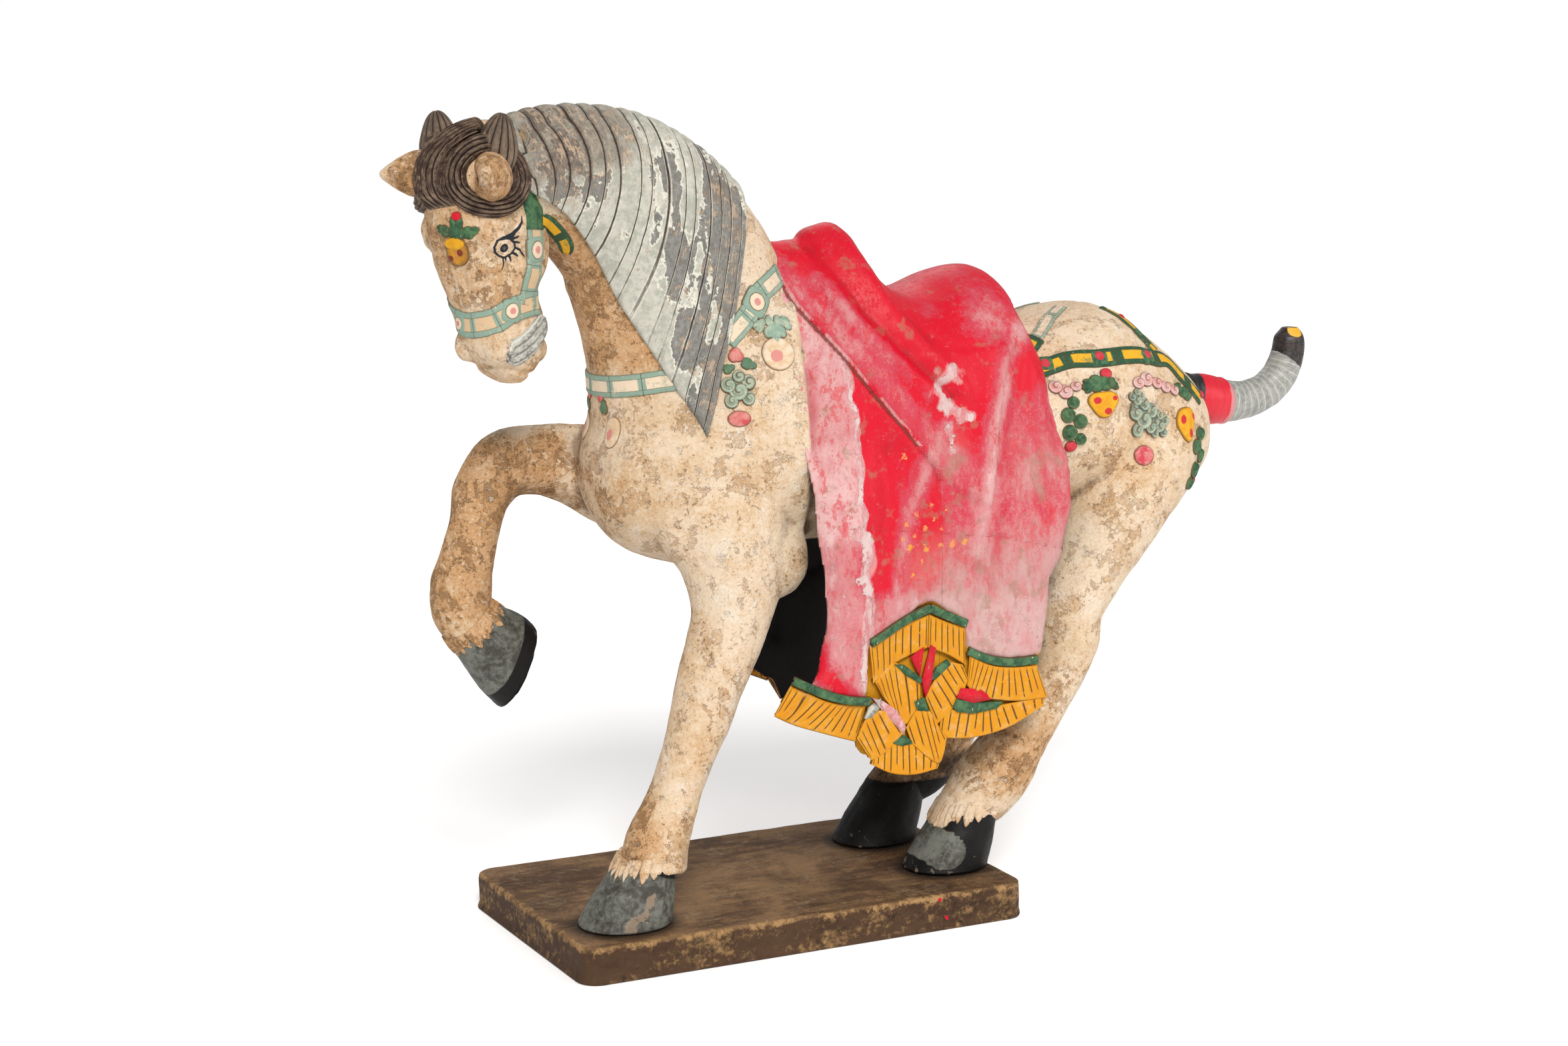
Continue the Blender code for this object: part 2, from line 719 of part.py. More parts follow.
def plinth_box():
    """The plinth's lower and upper corner: the planted soles with the plinth's margins round them."""
    soles = [rows[1] for rows in (NEAR_FORE_HOOF, NEAR_HIND_HOOF, far_hind_hoof())]
    toe = min(x - half for x, y, z, half, wide in soles) * UNIT
    heel = max(x + half for x, y, z, half, wide in soles) * UNIT
    near = min(y - wide for x, y, z, half, wide in soles) * UNIT
    far = max(y + wide for x, y, z, half, wide in soles) * UNIT
    low = Vector((toe - PLINTH_BEFORE_TOE, near - PLINTH_BESIDE_NEAR_HOOF, 0))
    high = Vector((heel + PLINTH_BEHIND_HEEL, far + PLINTH_BESIDE_FAR_HOOF, PLINTH_THICKNESS))
    return low, high


def make_plinth():
    low, high = plinth_box()
    bm = bmesh.new()
    bmesh.ops.create_cube(bm, size=1.0)
    bmesh.ops.scale(bm, vec=high - low, verts=bm.verts)
    bmesh.ops.translate(bm, vec=(high + low) / 2, verts=bm.verts)
    upright = [e for e in bm.edges if abs(e.verts[0].co.z - e.verts[1].co.z) > PLINTH_THICKNESS / 2]
    bmesh.ops.bevel(
        bm, geom=upright, offset=PLINTH_CORNER_RADIUS, segments=6, affect="EDGES", profile=0.5, material=-1)
    rim = [e for e in bm.edges if min(v.co.z for v in e.verts) > PLINTH_THICKNESS * 0.9]
    bmesh.ops.bevel(
        bm, geom=rim, offset=PLINTH_EDGE_ROUND, segments=3, affect="EDGES", profile=0.5, material=-1)
    mesh = bpy.data.meshes.new("plinth")
    bm.to_mesh(mesh)
    bm.free()
    made = bpy.data.objects.new("plinth", mesh)
    bpy.context.scene.collection.objects.link(made)
    mesh.materials.append(clay("brown_clay", (0.20, 0.13, 0.08), 0.85))
    return made


def main():
    for existing in list(bpy.data.objects):
        bpy.data.objects.remove(existing)
    make_plinth()
    make_horse()


main()
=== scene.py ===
"""A painted terracotta horse with a red saddle cloth, on a brown clay plinth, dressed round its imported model.

Lengths in the tables are the millimetres of the figure's layout: x runs from the head to the tail,
y from the near side (below nothing) to the far side, and z upwards from the top of the plinth.
"""
import itertools
import math

import bmesh
import bpy
import numpy as np
from mathutils import Matrix, Vector
from mathutils.bvhtree import BVHTree


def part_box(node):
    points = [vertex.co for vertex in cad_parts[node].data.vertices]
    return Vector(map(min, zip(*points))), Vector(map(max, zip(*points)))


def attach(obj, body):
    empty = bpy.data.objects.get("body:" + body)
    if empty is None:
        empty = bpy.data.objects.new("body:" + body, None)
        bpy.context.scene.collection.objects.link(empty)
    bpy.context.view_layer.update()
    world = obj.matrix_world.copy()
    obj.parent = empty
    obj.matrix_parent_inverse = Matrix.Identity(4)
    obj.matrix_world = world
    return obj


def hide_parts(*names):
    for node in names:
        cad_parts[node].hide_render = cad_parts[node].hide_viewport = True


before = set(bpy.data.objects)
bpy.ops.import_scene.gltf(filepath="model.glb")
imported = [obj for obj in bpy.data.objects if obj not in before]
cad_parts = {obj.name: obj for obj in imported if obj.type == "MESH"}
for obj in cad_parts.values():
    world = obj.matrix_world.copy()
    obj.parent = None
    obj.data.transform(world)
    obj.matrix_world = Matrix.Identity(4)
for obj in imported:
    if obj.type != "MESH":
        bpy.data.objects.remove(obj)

bl_info = {
    "name": "Painted terracotta horse",
    "version": (1, 0, 0),
    "blender": (4, 5, 0),
    "location": "3D View > Sidebar > Horse",
    "description": "Models, paints and lights a terracotta horse in harness",
    "category": "Object",
}

MM = 0.001
PLINTH_LOW, PLINTH_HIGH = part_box("plinth")
SEAT_GAP = 0.0003
FIGURE_BASE = PLINTH_HIGH.z + SEAT_GAP
NEAR, FAR = -1, 1
SIDES = (NEAR, FAR)

# Torso: x, height of the back, height of the belly, half-width.
TORSO = (
    (-96, 250, 233, 8), (-91, 262, 215, 25), (-78, 291, 198, 40), (-52, 322, 187, 52), (-20, 338, 184, 58),
    (15, 340, 186, 61), (60, 324, 190, 62), (110, 312, 194, 61), (155, 309, 198, 60), (195, 317, 200, 60),
    (222, 316, 200, 58), (246, 303, 200, 53), (268, 287, 203, 45), (286, 272, 208, 33), (297, 258, 216, 19),
    (301, 246, 226, 7),
)
# Neck: centre x, y, z, half-depth from throat to crest, half-width.
NECK = (
    (-10, 0, 212, 58, 44), (-17, 0, 250, 73, 52), (-33, 0, 311, 62.5, 44), (-49, -1, 348, 58, 35),
    (-72, -3, 377, 51, 30), (-98, -7, 393, 42.7, 27), (-124, -11, 401, 33.6, 25), (-146, -15, 402, 26.5, 23),
)
# Head: height, x and y of its axis, reach to the face, reach to the jaw, half-width.
HEAD_YAW = math.radians(27)
HEAD = (
    (431, -163, -17, 6, 9, 7), (426, -164, -17, 15, 19, 16), (415, -165, -18, 22, 26, 23),
    (400, -165, -19, 26, 33, 27), (384, -165, -21, 27, 39, 26.5), (370, -165, -22, 25, 43, 27),
    (356, -164, -24, 22, 39, 25), (342, -162, -25, 20, 30, 21), (330, -159, -26, 19, 31, 19),
    (318, -157, -27, 20, 29, 18), (307, -155, -27, 17, 23, 16), (300, -153, -27, 11, 14, 12),
    (295.5, -151, -27, 5, 6, 6),
)
# Limbs: centre x, y, z, half-depth fore and aft, half-width.
NEAR_FORELEG = (
    (-32, -20, 262, 30, 14), (-33, -33, 226, 42, 24), (-27, -38, 190, 31, 22), (-30, -41, 162, 23, 19),
    (-38, -43, 141, 21, 17), (-45, -44, 124, 19.5, 16), (-51, -45, 107, 17.5, 15), (-57, -46, 92, 15.5, 14),
    (-65, -46, 72, 14.5, 13.5), (-72, -47, 55, 16, 15), (-78, -47, 41, 18, 17), (-80, -47, 28, 18.5, 18),
)
RAISED_FORELEG = (
    (-40, 30, 222, 34, 26), (-66, 38, 230, 28, 24), (-86, 42, 237, 23, 20), (-106, 44, 241, 19.5, 17),
    (-126, 45, 240, 19, 16), (-139, 46, 226, 16.5, 15), (-144, 46, 208, 14, 14), (-149, 46, 190, 15, 14.5),
    (-153, 46, 174, 17, 16), (-153, 46, 160, 16.5, 16), (-148, 46, 150, 14.5, 15),
)
NEAR_HIND_LEG = (
    (240, -10, 282, 24, 12), (239, -24, 240, 44, 30), (222, -33, 204, 34, 28), (203, -36, 172, 25, 23),
    (189, -38, 145, 20.5, 19), (187, -38, 126, 20, 17), (182, -37, 107, 16.5, 15), (170, -36, 87, 15.5, 14.5),
    (154, -35, 67, 19, 17), (146, -34, 55, 21, 18.5), (135, -33, 42, 20.5, 18.5), (126, -33, 34, 17.5, 17),
)
HIND_FOOT = ((119, -33, 25, 17, 16), (114, -33, 17, 16, 15))
FAR_HIND_SHIFT = -11.0
FAR_HIND_SHIFT_TOP = 70.0
# Hooves: x, y, z of the coronet, its half-length and half-width, then the same of the sole.
NEAR_FORE_HOOF = ((-86, -47, 32, 15.5, 16.5), (-98, -48, 0, 26, 23))
NEAR_HIND_HOOF = ((124, -33, 33, 19, 17), (110, -33, 0, 25, 22))
FAR_HIND_HOOF = ((113, 33, 33, 19, 17), (99, 33, 0, 25, 22))
RAISED_HOOF = ((-146, 46, 151, 16, 16.5), (-122, 46, 126, 25, 22))
RAISED_SOLE_NORMAL = Vector((0.90, 0.0, -0.42)).normalized()
# Tail: x, y, z, radius.
TAIL = (
    (286, 0, 259, 13.2), (293, 0, 257, 13.5), (306, 0, 254, 14.5), (320, 0, 252, 13), (336, 0, 252, 11.3),
    (351, 0, 257, 10.8), (361, 0, 266, 10.5), (366, 0, 278, 10), (367, 0, 288, 9), (367, 0, 294, 5),
)
# Saddle under its cloth: x, crest height, half-width, squareness of the arch.
SADDLE = (
    (-17, 366, 36, 1.5), (-4, 366, 48, 1.55), (14, 360, 58, 1.6), (28, 360, 63, 1.6), (38, 367, 65, 1.55),
    (50, 367, 66, 1.6), (62, 360, 67, 1.75), (73, 340, 67, 2.1), (86, 330, 67, 2.3), (100, 332, 67, 2.2),
    (116, 339, 67, 2.0), (131, 342, 67, 1.9), (146, 339, 66, 1.9), (154, 326, 64, 2.0), (160, 312, 61, 2.1),
)
SADDLE_FOOT = 262.0
SADDLE_UNDERSIDE = 228.0
# Cloth flap: front and rear edge as (height, x), its foot and hem as (x, height), its reach as (height, y).
FLAP_TOP = 300.0
FLAP_FRONT = ((300, 2), (262, 4), (215, 8), (177, 13), (159, 14), (137, 9), (124, 4), (108, -14), (60, -14))
FLAP_REAR = (
    (302, 146), (283, 152), (260, 165), (233, 171), (213, 171), (187, 165), (168, 157), (123, 152),
    (100, 158),
    (60, 158),
)
FLAP_FOOT = (
    (-15, 109), (7, 102), (28, 94), (38, 80), (55, 71), (72, 70), (83, 76), (88, 87), (113, 88), (135, 94),
    (158, 103),
)
FLAP_HEM = (
    (-20, 132), (5, 125), (20, 119), (36, 115), (38, 147), (58, 156), (77, 166), (92, 158), (98, 150),
    (101, 136),
    (112, 132), (128, 129), (144, 129), (160, 129),
)
FLAP_REACH = ((300, 60), (240, 70), (190, 72), (150, 72.5), (110, 74), (60, 77))
FLAP_LEAVES = 262.0
FLAP_FREE = 225.0
FAR_FLAP_SHIFT = 28.0
FAR_FLAP_FADE = 70.0
# Mane, from poll to withers as (x, z): its crest and the lower edge of its near fall.
MANE_CREST = (
    (-150, 426.6), (-136, 433.6), (-115, 437.1), (-92, 434.6), (-72, 427.6), (-52, 420), (-36, 409),
    (-22, 397), (-11, 386),
)
MANE_EDGE = (
    (-148, 397), (-131, 389), (-118, 379), (-101, 358), (-88, 334), (-75, 311), (-63, 289), (-54, 272),
    (-49, 261),
)

# Camera, from the photograph's lines, and the lamps; metres, degrees and watts.
CAMERA_PLACE = (-0.7267, -1.4780, 0.5273)
CAMERA_AZIMUTH = math.radians(-26.9)
CAMERA_ELEVATION = math.radians(10.4)
SENSOR_WIDTH = 36.0
FOCAL_SHARE = 4500 / 2351
KEY_WAY = (0.35, 1.0, -0.85)
KEY_SPREAD = math.radians(24)
KEY_POWER = 2.7
KEY_TINT = (1.0, 0.985, 0.96)
WHITE = (1.0, 1.0, 1.0)
LAMP_TARGET = (0.08, 0.0, 0.24)
LAMPS = (("fill", (1.6, -1.3, 1.0), 1.2, 11), ("back", (0.6, 1.9, 1.6), 1.4, 9))

MADE = {}


# Lines, sections and small sums.

def figure(x, y, z):
    """A point of the figure's layout, in metres."""
    return Vector((x * MM, y * MM, FIGURE_BASE + z * MM))


def layout(points):
    """Points in metres as points of the figure's layout."""
    return (np.asarray(points, float) - (0, 0, FIGURE_BASE)) / MM


def between(rows, steps):
    """Rows of numbers with smooth rows put between them, steps to a gap."""
    found = []
    for i in range(len(rows) - 1):
        before, a, b, after = rows[max(i - 1, 0)], rows[i], rows[i + 1], rows[min(i + 2, len(rows) - 1)]
        for k in range(steps):
            t = k / steps
            found.append(tuple(
                0.5 * (2 * q + (r - p) * t + (2 * p - 5 * q + 4 * r - s) * t * t
                + (3 * q - p - 3 * r + s) * t ** 3)
                for p, q, r, s in zip(before, a, b, after)
            ))
    return found + [tuple(rows[-1])]


def eased(t):
    return t * t * (3 - 2 * t)


def lookup(pairs, key):
    """Reads a list of (key, value) pairs at a key between them."""
    ordered = sorted(pairs)
    if key <= ordered[0][0]:
        return ordered[0][1]
    for (k0, v0), (k1, v1) in zip(ordered, ordered[1:]):
        if key <= k1:
            return v0 + (v1 - v0) * eased((key - k0) / (k1 - k0))
    return ordered[-1][1]


def share_of(rows, share, steps=8):
    """A smooth row at a share of the way along some rows."""
    fine = between(rows, steps)
    position = min(max(share, 0.0), 1.0) * (len(fine) - 1)
    i = min(int(position), len(fine) - 2)
    return tuple(a + (b - a) * (position - i) for a, b in zip(fine[i], fine[i + 1]))


def step(values, low, high):
    """0 below low, 1 above high and a smooth rise between them; high may lie below low."""
    return eased(np.clip((np.asarray(values, float) - low) / (high - low), 0, 1))


def bell(values, width):
    return np.exp(-(np.asarray(values, float) / width) ** 2)


def from_line(points, line):
    """Each point's distance to a broken line."""
    best = np.full(len(points), np.inf)
    for a, b in zip(line, line[1:]):
        a, b = np.array(a, float), np.array(b, float)
        way = b - a
        t = np.clip(((points - a) @ way) / (way @ way), 0, 1)
        best = np.minimum(best, np.linalg.norm(points - a - t[:, None] * way, axis=1))
    return best


def from_area(points, outline):
    """Each point's distance to a closed outline, less than nothing inside it."""
    ring = list(outline) + [outline[0]]
    away = from_line(points, ring)
    inner = np.zeros(len(points), bool)
    for (x0, y0), (x1, y1) in zip(ring, ring[1:]):
        spans = (y0 > points[:, 1]) != (y1 > points[:, 1])
        if y1 != y0:
            inner ^= spans & (points[:, 0] < (x1 - x0) * (points[:, 1] - y0) / (y1 - y0) + x0)
    return np.where(inner, -away, away)


LATTICE = (73856093, 19349663, 83492791)


def lumps(points, size, seed=0):
    """Smooth noise from -1 to 1 at each point, its lumps about size across."""
    cell = points / size + seed * 17.31 + 512
    low = np.floor(cell).astype(np.int64)
    part = eased(cell - low)
    total = np.zeros(len(points))
    for corner in itertools.product((0, 1), repeat=3):
        key = (low + corner) * LATTICE
        code = key[:, 0] ^ key[:, 1] ^ key[:, 2]
        code = (code * 1103515245 + 12345) & 0x7FFFFFFF
        value = (code >> 8 & 0xFFFF) / 32767.5 - 1
        total += value * np.prod(np.where(corner, part, 1 - part), axis=1)
    return total


# Meshes.

def ring_points(centre, side, up, half_side, half_up, half_down=None, power=2.0, sides=44):
    """A rounded section: its points run round the centre, reach half_side along side and half_up along up."""
    half_down = half_up if half_down is None else half_down
    points = []
    for i in range(sides):
        angle = 2 * math.pi * i / sides
        c, s = math.cos(angle), math.sin(angle)
        across = math.copysign(abs(c) ** (2 / power), c)
        along = math.copysign(abs(s) ** (2 / power), s)
        points.append(centre + side * half_side * across + up * (half_up if s > 0 else half_down) * along)
    return points


def skin(rings, marks=None):
    """A closed mesh through rings of points, with a map that runs round each ring and along the marks."""
    bm = bmesh.new()
    layer = bm.loops.layers.uv.new("UVMap")
    loops, spot = [], {}
    marks = marks or [i / (len(rings) - 1) for i in range(len(rings))]
    for points, mark in zip(rings, marks):
        made = bmesh.ops.create_circle(bm, cap_ends=False, segments=len(points), radius=1.0)["verts"]
        for i, (vert, point) in enumerate(zip(made, points)):
            vert.co = point
            spot[vert] = (i / len(points), mark)
        loops.append([bm.edges.get((a, b)) for a, b in zip(made, made[1:] + made[:1])])
    for lower, upper in zip(loops, loops[1:]):
        bmesh.ops.bridge_loops(bm, edges=lower + upper)
    for end in (loops[0], loops[-1]):
        bmesh.ops.edgeloop_fill(bm, edges=end)
    bmesh.ops.recalc_face_normals(bm, faces=bm.faces)
    for face in bm.faces:
        turn = max(spot[v][0] for v in face.verts) > 0.75
        for loop in face.loops:
            around, mark = spot[loop.vert]
            loop[layer].uv = (around + 1 if turn and around < 0.25 else around, mark)
    return bm


def tube(rows, across=Vector((0, 1, 0)), power=2.0, steps=6, sides=44):
    """A limb through rows of x, y, z, half-depth, half-width, its sections square to its path."""
    fine = between(rows, steps)
    centres = [figure(*row[:3]) for row in fine]
    rings, marks = [], [0.0]
    for i, row in enumerate(fine):
        ahead = (centres[min(i + 1, len(fine) - 1)] - centres[max(i - 1, 0)]).normalized()
        depth = across.cross(ahead).normalized()
        width = ahead.cross(depth).normalized()
        rings.append(
            ring_points(centres[i], width, depth, row[4] * MM, row[3] * MM, power=power, sides=sides))
        marks.append(marks[-1] + (centres[min(i + 1, len(fine) - 1)] - centres[i]).length / MM)
    return skin(rings, marks[:-1])


def thicken(bm, thick):
    """Closes a sheet behind with a second layer, thick millimetres below it."""
    bm.normal_update()
    ways = {tuple(vert.co): vert.normal.copy() for vert in bm.verts}
    made = bmesh.ops.extrude_face_region(bm, geom=bm.faces[:], use_keep_orig=True)["geom"]
    for item in made:
        if isinstance(item, bmesh.types.BMVert):
            item.co -= ways[tuple(item.co)] * thick * MM
    bmesh.ops.recalc_face_normals(bm, faces=bm.faces)


def sheet(across, down, place, thick=0.0, spot=None, out=None):
    """A sheet whose point across and down is place(u, v), closed behind when it has a thickness."""
    bm = bmesh.new()
    layer = bm.loops.layers.uv.new("UVMap")
    bmesh.ops.create_grid(bm, x_segments=across, y_segments=down, size=0.5)
    shares = {vert: (min(max(vert.co.x + 0.5, 0), 1), min(max(vert.co.y + 0.5, 0), 1)) for vert in bm.verts}
    for vert, share in shares.items():
        vert.co = place(*share)
    for face in bm.faces:
        for loop in face.loops:
            share = shares[loop.vert]
            loop[layer].uv = spot(*share) if spot else share
    bmesh.ops.recalc_face_normals(bm, faces=bm.faces)
    if out is not None and sum(face.normal.dot(out(face.calc_center_median())) for face in bm.faces) < 0:
        bmesh.ops.reverse_faces(bm, faces=bm.faces)
    if thick:
        thicken(bm, thick)
    return bm


def merged(parts):
    """One bmesh that holds all of the parts, which are freed."""
    whole = bmesh.new()
    held = bpy.data.meshes.new("held")
    for part in parts:
        part.to_mesh(held)
        part.free()
        whole.from_mesh(held)
    bpy.data.meshes.remove(held)
    return whole


def piece(bm, name, material, stands_for=None, smooth=True):
    """Puts a finished mesh in the scene as one piece of the object."""
    mesh = bpy.data.meshes.new(name)
    bm.to_mesh(mesh)
    bm.free()
    return settled(mesh, name, material, stands_for, smooth)


def settled(mesh, name, material, stands_for=None, smooth=True):
    """Makes a mesh a piece that rides on the horse's one body."""
    if not mesh.polygons:
        raise RuntimeError(f"{name} has no faces")
    made = bpy.data.objects.new(name, mesh)
    bpy.context.scene.collection.objects.link(made)
    mesh.materials.clear()
    mesh.materials.append(material)
    if smooth:
        mesh.shade_smooth()
    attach(made, "root")
    if stands_for:
        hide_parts(stands_for)
    return made


def one_skin(parts, grain, rounds):
    """Fuses overlapping forms into one skin with the given grain, and wipes its joins smooth."""
    bm = merged(parts)
    mesh = bpy.data.meshes.new("clay")
    bm.to_mesh(mesh)
    bm.free()
    held = bpy.data.objects.new("clay", mesh)
    bpy.context.scene.collection.objects.link(held)
    remesh = held.modifiers.new("skin", "REMESH")
    remesh.mode = "VOXEL"
    remesh.voxel_size = grain * MM
    wipe = held.modifiers.new("wiped", "SMOOTH")
    wipe.factor = 0.5
    wipe.iterations = rounds
    graph = bpy.context.evaluated_depsgraph_get()
    done = bpy.data.meshes.new_from_object(held.evaluated_get(graph))
    bpy.data.objects.remove(held)
    bpy.data.meshes.remove(mesh)
    return done


def points_of(mesh):
    values = np.empty(len(mesh.vertices) * 3, np.float32)
    mesh.vertices.foreach_get("co", values)
    return values.reshape(-1, 3).astype(float)


def normals_of(mesh):
    values = np.empty(len(mesh.vertices) * 3, np.float32)
    mesh.vertex_normals.foreach_get("vector", values)
    return values.reshape(-1, 3).astype(float)


def push(mesh, heights):
    """Moves every point of a mesh along its normal, by millimetres."""
    moved = points_of(mesh) + normals_of(mesh) * np.asarray(heights)[:, None] * MM
    mesh.vertices.foreach_set("co", moved.astype(np.float32).ravel())
    mesh.update()


def give(mesh, name, values):
    """Keeps one number a point on a mesh, for its finish to read."""
    held = mesh.attributes.new(name, "FLOAT", "POINT")
    held.data.foreach_set("value", np.asarray(values, np.float32))


def averaged(mesh, values, rounds):
    """Values at the points of a mesh, each averaged with its neighbours."""
    ends = np.empty(len(mesh.edges) * 2, np.int32)
    mesh.edges.foreach_get("vertices", ends)
    a, b = ends[::2], ends[1::2]
    count = np.bincount(ends, minlength=len(values)) + 1.0
    for _ in range(rounds):
        total = values + np.bincount(a, values[b], len(values)) + np.bincount(b, values[a], len(values))
        values = total / count
    return values


def hollows(mesh, rounds=2, reach=6):
    """How far each point lies in a dip: above nothing in a crease, below it on a ridge, in millimetres."""
    points, normals = points_of(mesh), normals_of(mesh)
    soft = np.stack([averaged(mesh, points[:, k].copy(), reach) for k in range(3)], axis=1)
    return averaged(mesh, ((soft - points) * normals).sum(1) / MM, rounds)


class Surface:
    """The skin of some finished pieces, for laying other pieces on."""

    def __init__(self, *names):
        verts, faces = [], []
        for name in names:
            made = bpy.data.objects.get(name)
            if made is None:
                raise RuntimeError(f"{name} has to be made first")
            start = len(verts)
            verts += points_of(made.data).tolist()
            faces += [[start + i for i in face.vertices] for face in made.data.polygons]
        self.tree = BVHTree.FromPolygons(verts, faces)

    def near(self, point):
        """The closest place of the skin and the way out of it."""
        place, normal, _, _ = self.tree.find_nearest(point)
        return place, normal

    def aside(self, x, z, side):
        """The outer skin at (x, z) of the layout, seen from one side."""
        hit, normal, _, _ = self.tree.ray_cast(figure(x, side * 150, z), Vector((0, -side, 0)))
        if hit is None:
            return figure(x, side * 2, z), Vector((0, 0, 1))
        return hit, normal

    def toward(self, start, way):
        """Where a line from start along way meets the skin, or None."""
        hit, normal, _, _ = self.tree.ray_cast(start, way)
        return hit, normal


def surface(*names):
    """The skin of some pieces, found once."""
    if names not in MADE:
        MADE[names] = Surface(*names)
    return MADE[names]


def softened(vectors, rounds=3):
    """Vectors along a line, each averaged with its neighbours."""
    for _ in range(rounds):
        last = len(vectors) - 1
        vectors = [(vectors[max(i - 1, 0)] + 2 * v + vectors[min(i + 1, last)]) / 4
            for i, v in enumerate(vectors)]
    return vectors


def evenly(line, gap):
    """Points along a smooth line through the given ones, about gap apart, with their distance along it."""
    fine = [Vector(row) for row in between(line, 24)]
    travelled = [0.0]
    for a, b in zip(fine, fine[1:]):
        travelled.append(travelled[-1] + (b - a).length)
    count = max(2, round(travelled[-1] / gap))
    points, k = [], 0
    for i in range(count + 1):
        want = travelled[-1] * i / count
        while k < len(fine) - 2 and travelled[k + 1] < want:
            k += 1
        part = (want - travelled[k]) / max(travelled[k + 1] - travelled[k], 1e-9)
        points.append(fine[k].lerp(fine[k + 1], part))
    return points, travelled[-1]


BAND_PROFILE = ((0.0, -0.5), (0.03, 0.55), (0.1, 1.0), (0.3, 0.9), (0.5, 0.88), (0.7, 0.9), (0.9, 1.0),
    (0.97, 0.55),
                (1.0, -0.5))


def band(skin_below, line, half, rise, gap=1.8, profile=BAND_PROFILE, thick=2.0, taper=0.0):
    """A flat strap laid on a skin along a line of the layout, half wide to each side and raised by rise."""
    points, length = evenly(line, gap)
    seats, ways = [], []
    for point in points:
        seat, way = skin_below.near(figure(*point))
        seats.append(seat)
        ways.append(way)
    seats, ways = softened(seats, 1), softened(ways, 4)
    last = len(points) - 1
    heads = [(seats[min(i + 1, last)] - seats[max(i - 1, 0)]).normalized() for i in range(last + 1)]

    def place(u, v):
        i = round(u * last)
        across, height = profile[round(v * (len(profile) - 1))]
        wide = heads[i].cross(ways[i].normalized()).normalized()
        narrow = 1 - taper * max(0.0, 1 - min(i, last - i) * gap / 6) ** 2
        seat, way = skin_below.near(seats[i] + wide * half * MM * (2 * across - 1) * narrow)
        way = (way + ways[i].normalized() * 2).normalized()
        return seat + way * (height * rise) * MM

    def spot(u, v):
        return (u * length / 10, profile[round(v * (len(profile) - 1))][0])

    return sheet(last, len(profile) - 1, place, thick, spot, lambda at: skin_below.near(at)[1])


def frame_at(skin_below, centre, turn=0.0):
    """A place on a skin with its way out, its upward and its rightward direction, turned by degrees."""
    seat, way = skin_below.near(centre)
    around = [skin_below.near(centre + Vector(d) * 4 * MM)[1]
        for d in ((1, 0, 0), (-1, 0, 0), (0, 0, 1), (0, 0, -1))]
    way = sum(around, way).normalized()
    up = (Vector((0, 0, 1)) - way * way.z).normalized()
    right = up.cross(way).normalized()
    c, s = math.cos(math.radians(turn)), math.sin(math.radians(turn))
    return seat, way, up * c - right * s, right * c + up * s


def stud(skin_below, centre, half, high, rise, outline=None, relief=None, turn=0.0, sides=36, rings=12):
    """A low domed ornament on a skin: outline(angle) shapes its edge and relief(share, angle) its top."""
    seat, way, up, right = frame_at(skin_below, figure(*centre), turn)
    bm = bmesh.new()
    layer = bm.loops.layers.uv.new("UVMap")
    rim = bm.verts.layers.float.new("rim")
    bmesh.ops.create_uvsphere(bm, u_segments=sides, v_segments=rings, radius=1.0)
    spots = {}
    for vert in bm.verts:
        share = min(1.0, math.hypot(vert.co.x, vert.co.y))
        angle = math.atan2(vert.co.y, vert.co.x)
        reach = share * (outline(angle) if outline else 1.0)
        x, y = reach * math.cos(angle), reach * math.sin(angle)
        height = rise * abs(vert.co.z) ** 0.6 if vert.co.z > 0 else 2.0 * vert.co.z
        if relief and vert.co.z > 0.05:
            height += relief(share, angle)
        spots[vert] = (0.5 + x / 2, 0.5 + y / 2)
        vert[rim] = share if vert.co.z > -0.05 else 1.0
        below, out = skin_below.near(seat + right * x * half * MM + up * y * high * MM)
        vert.co = below + (out + way).normalized() * height * MM
    for face in bm.faces:
        for loop in face.loops:
            loop[layer].uv = spots[loop.vert]
    bmesh.ops.recalc_face_normals(bm, faces=bm.faces)
    return bm


# Finishes.

PAINT_SHARE = 0.76


def paint(red, green, blue):
    """A paint's colour: what the photograph shows, 0 to 255, made linear and freed of its bright light."""
    def linear(c):
        c /= 255
        return PAINT_SHARE * (c / 12.92 if c <= 0.04045 else ((c + 0.055) / 1.055) ** 2.4)
    return (linear(red), linear(green), linear(blue))


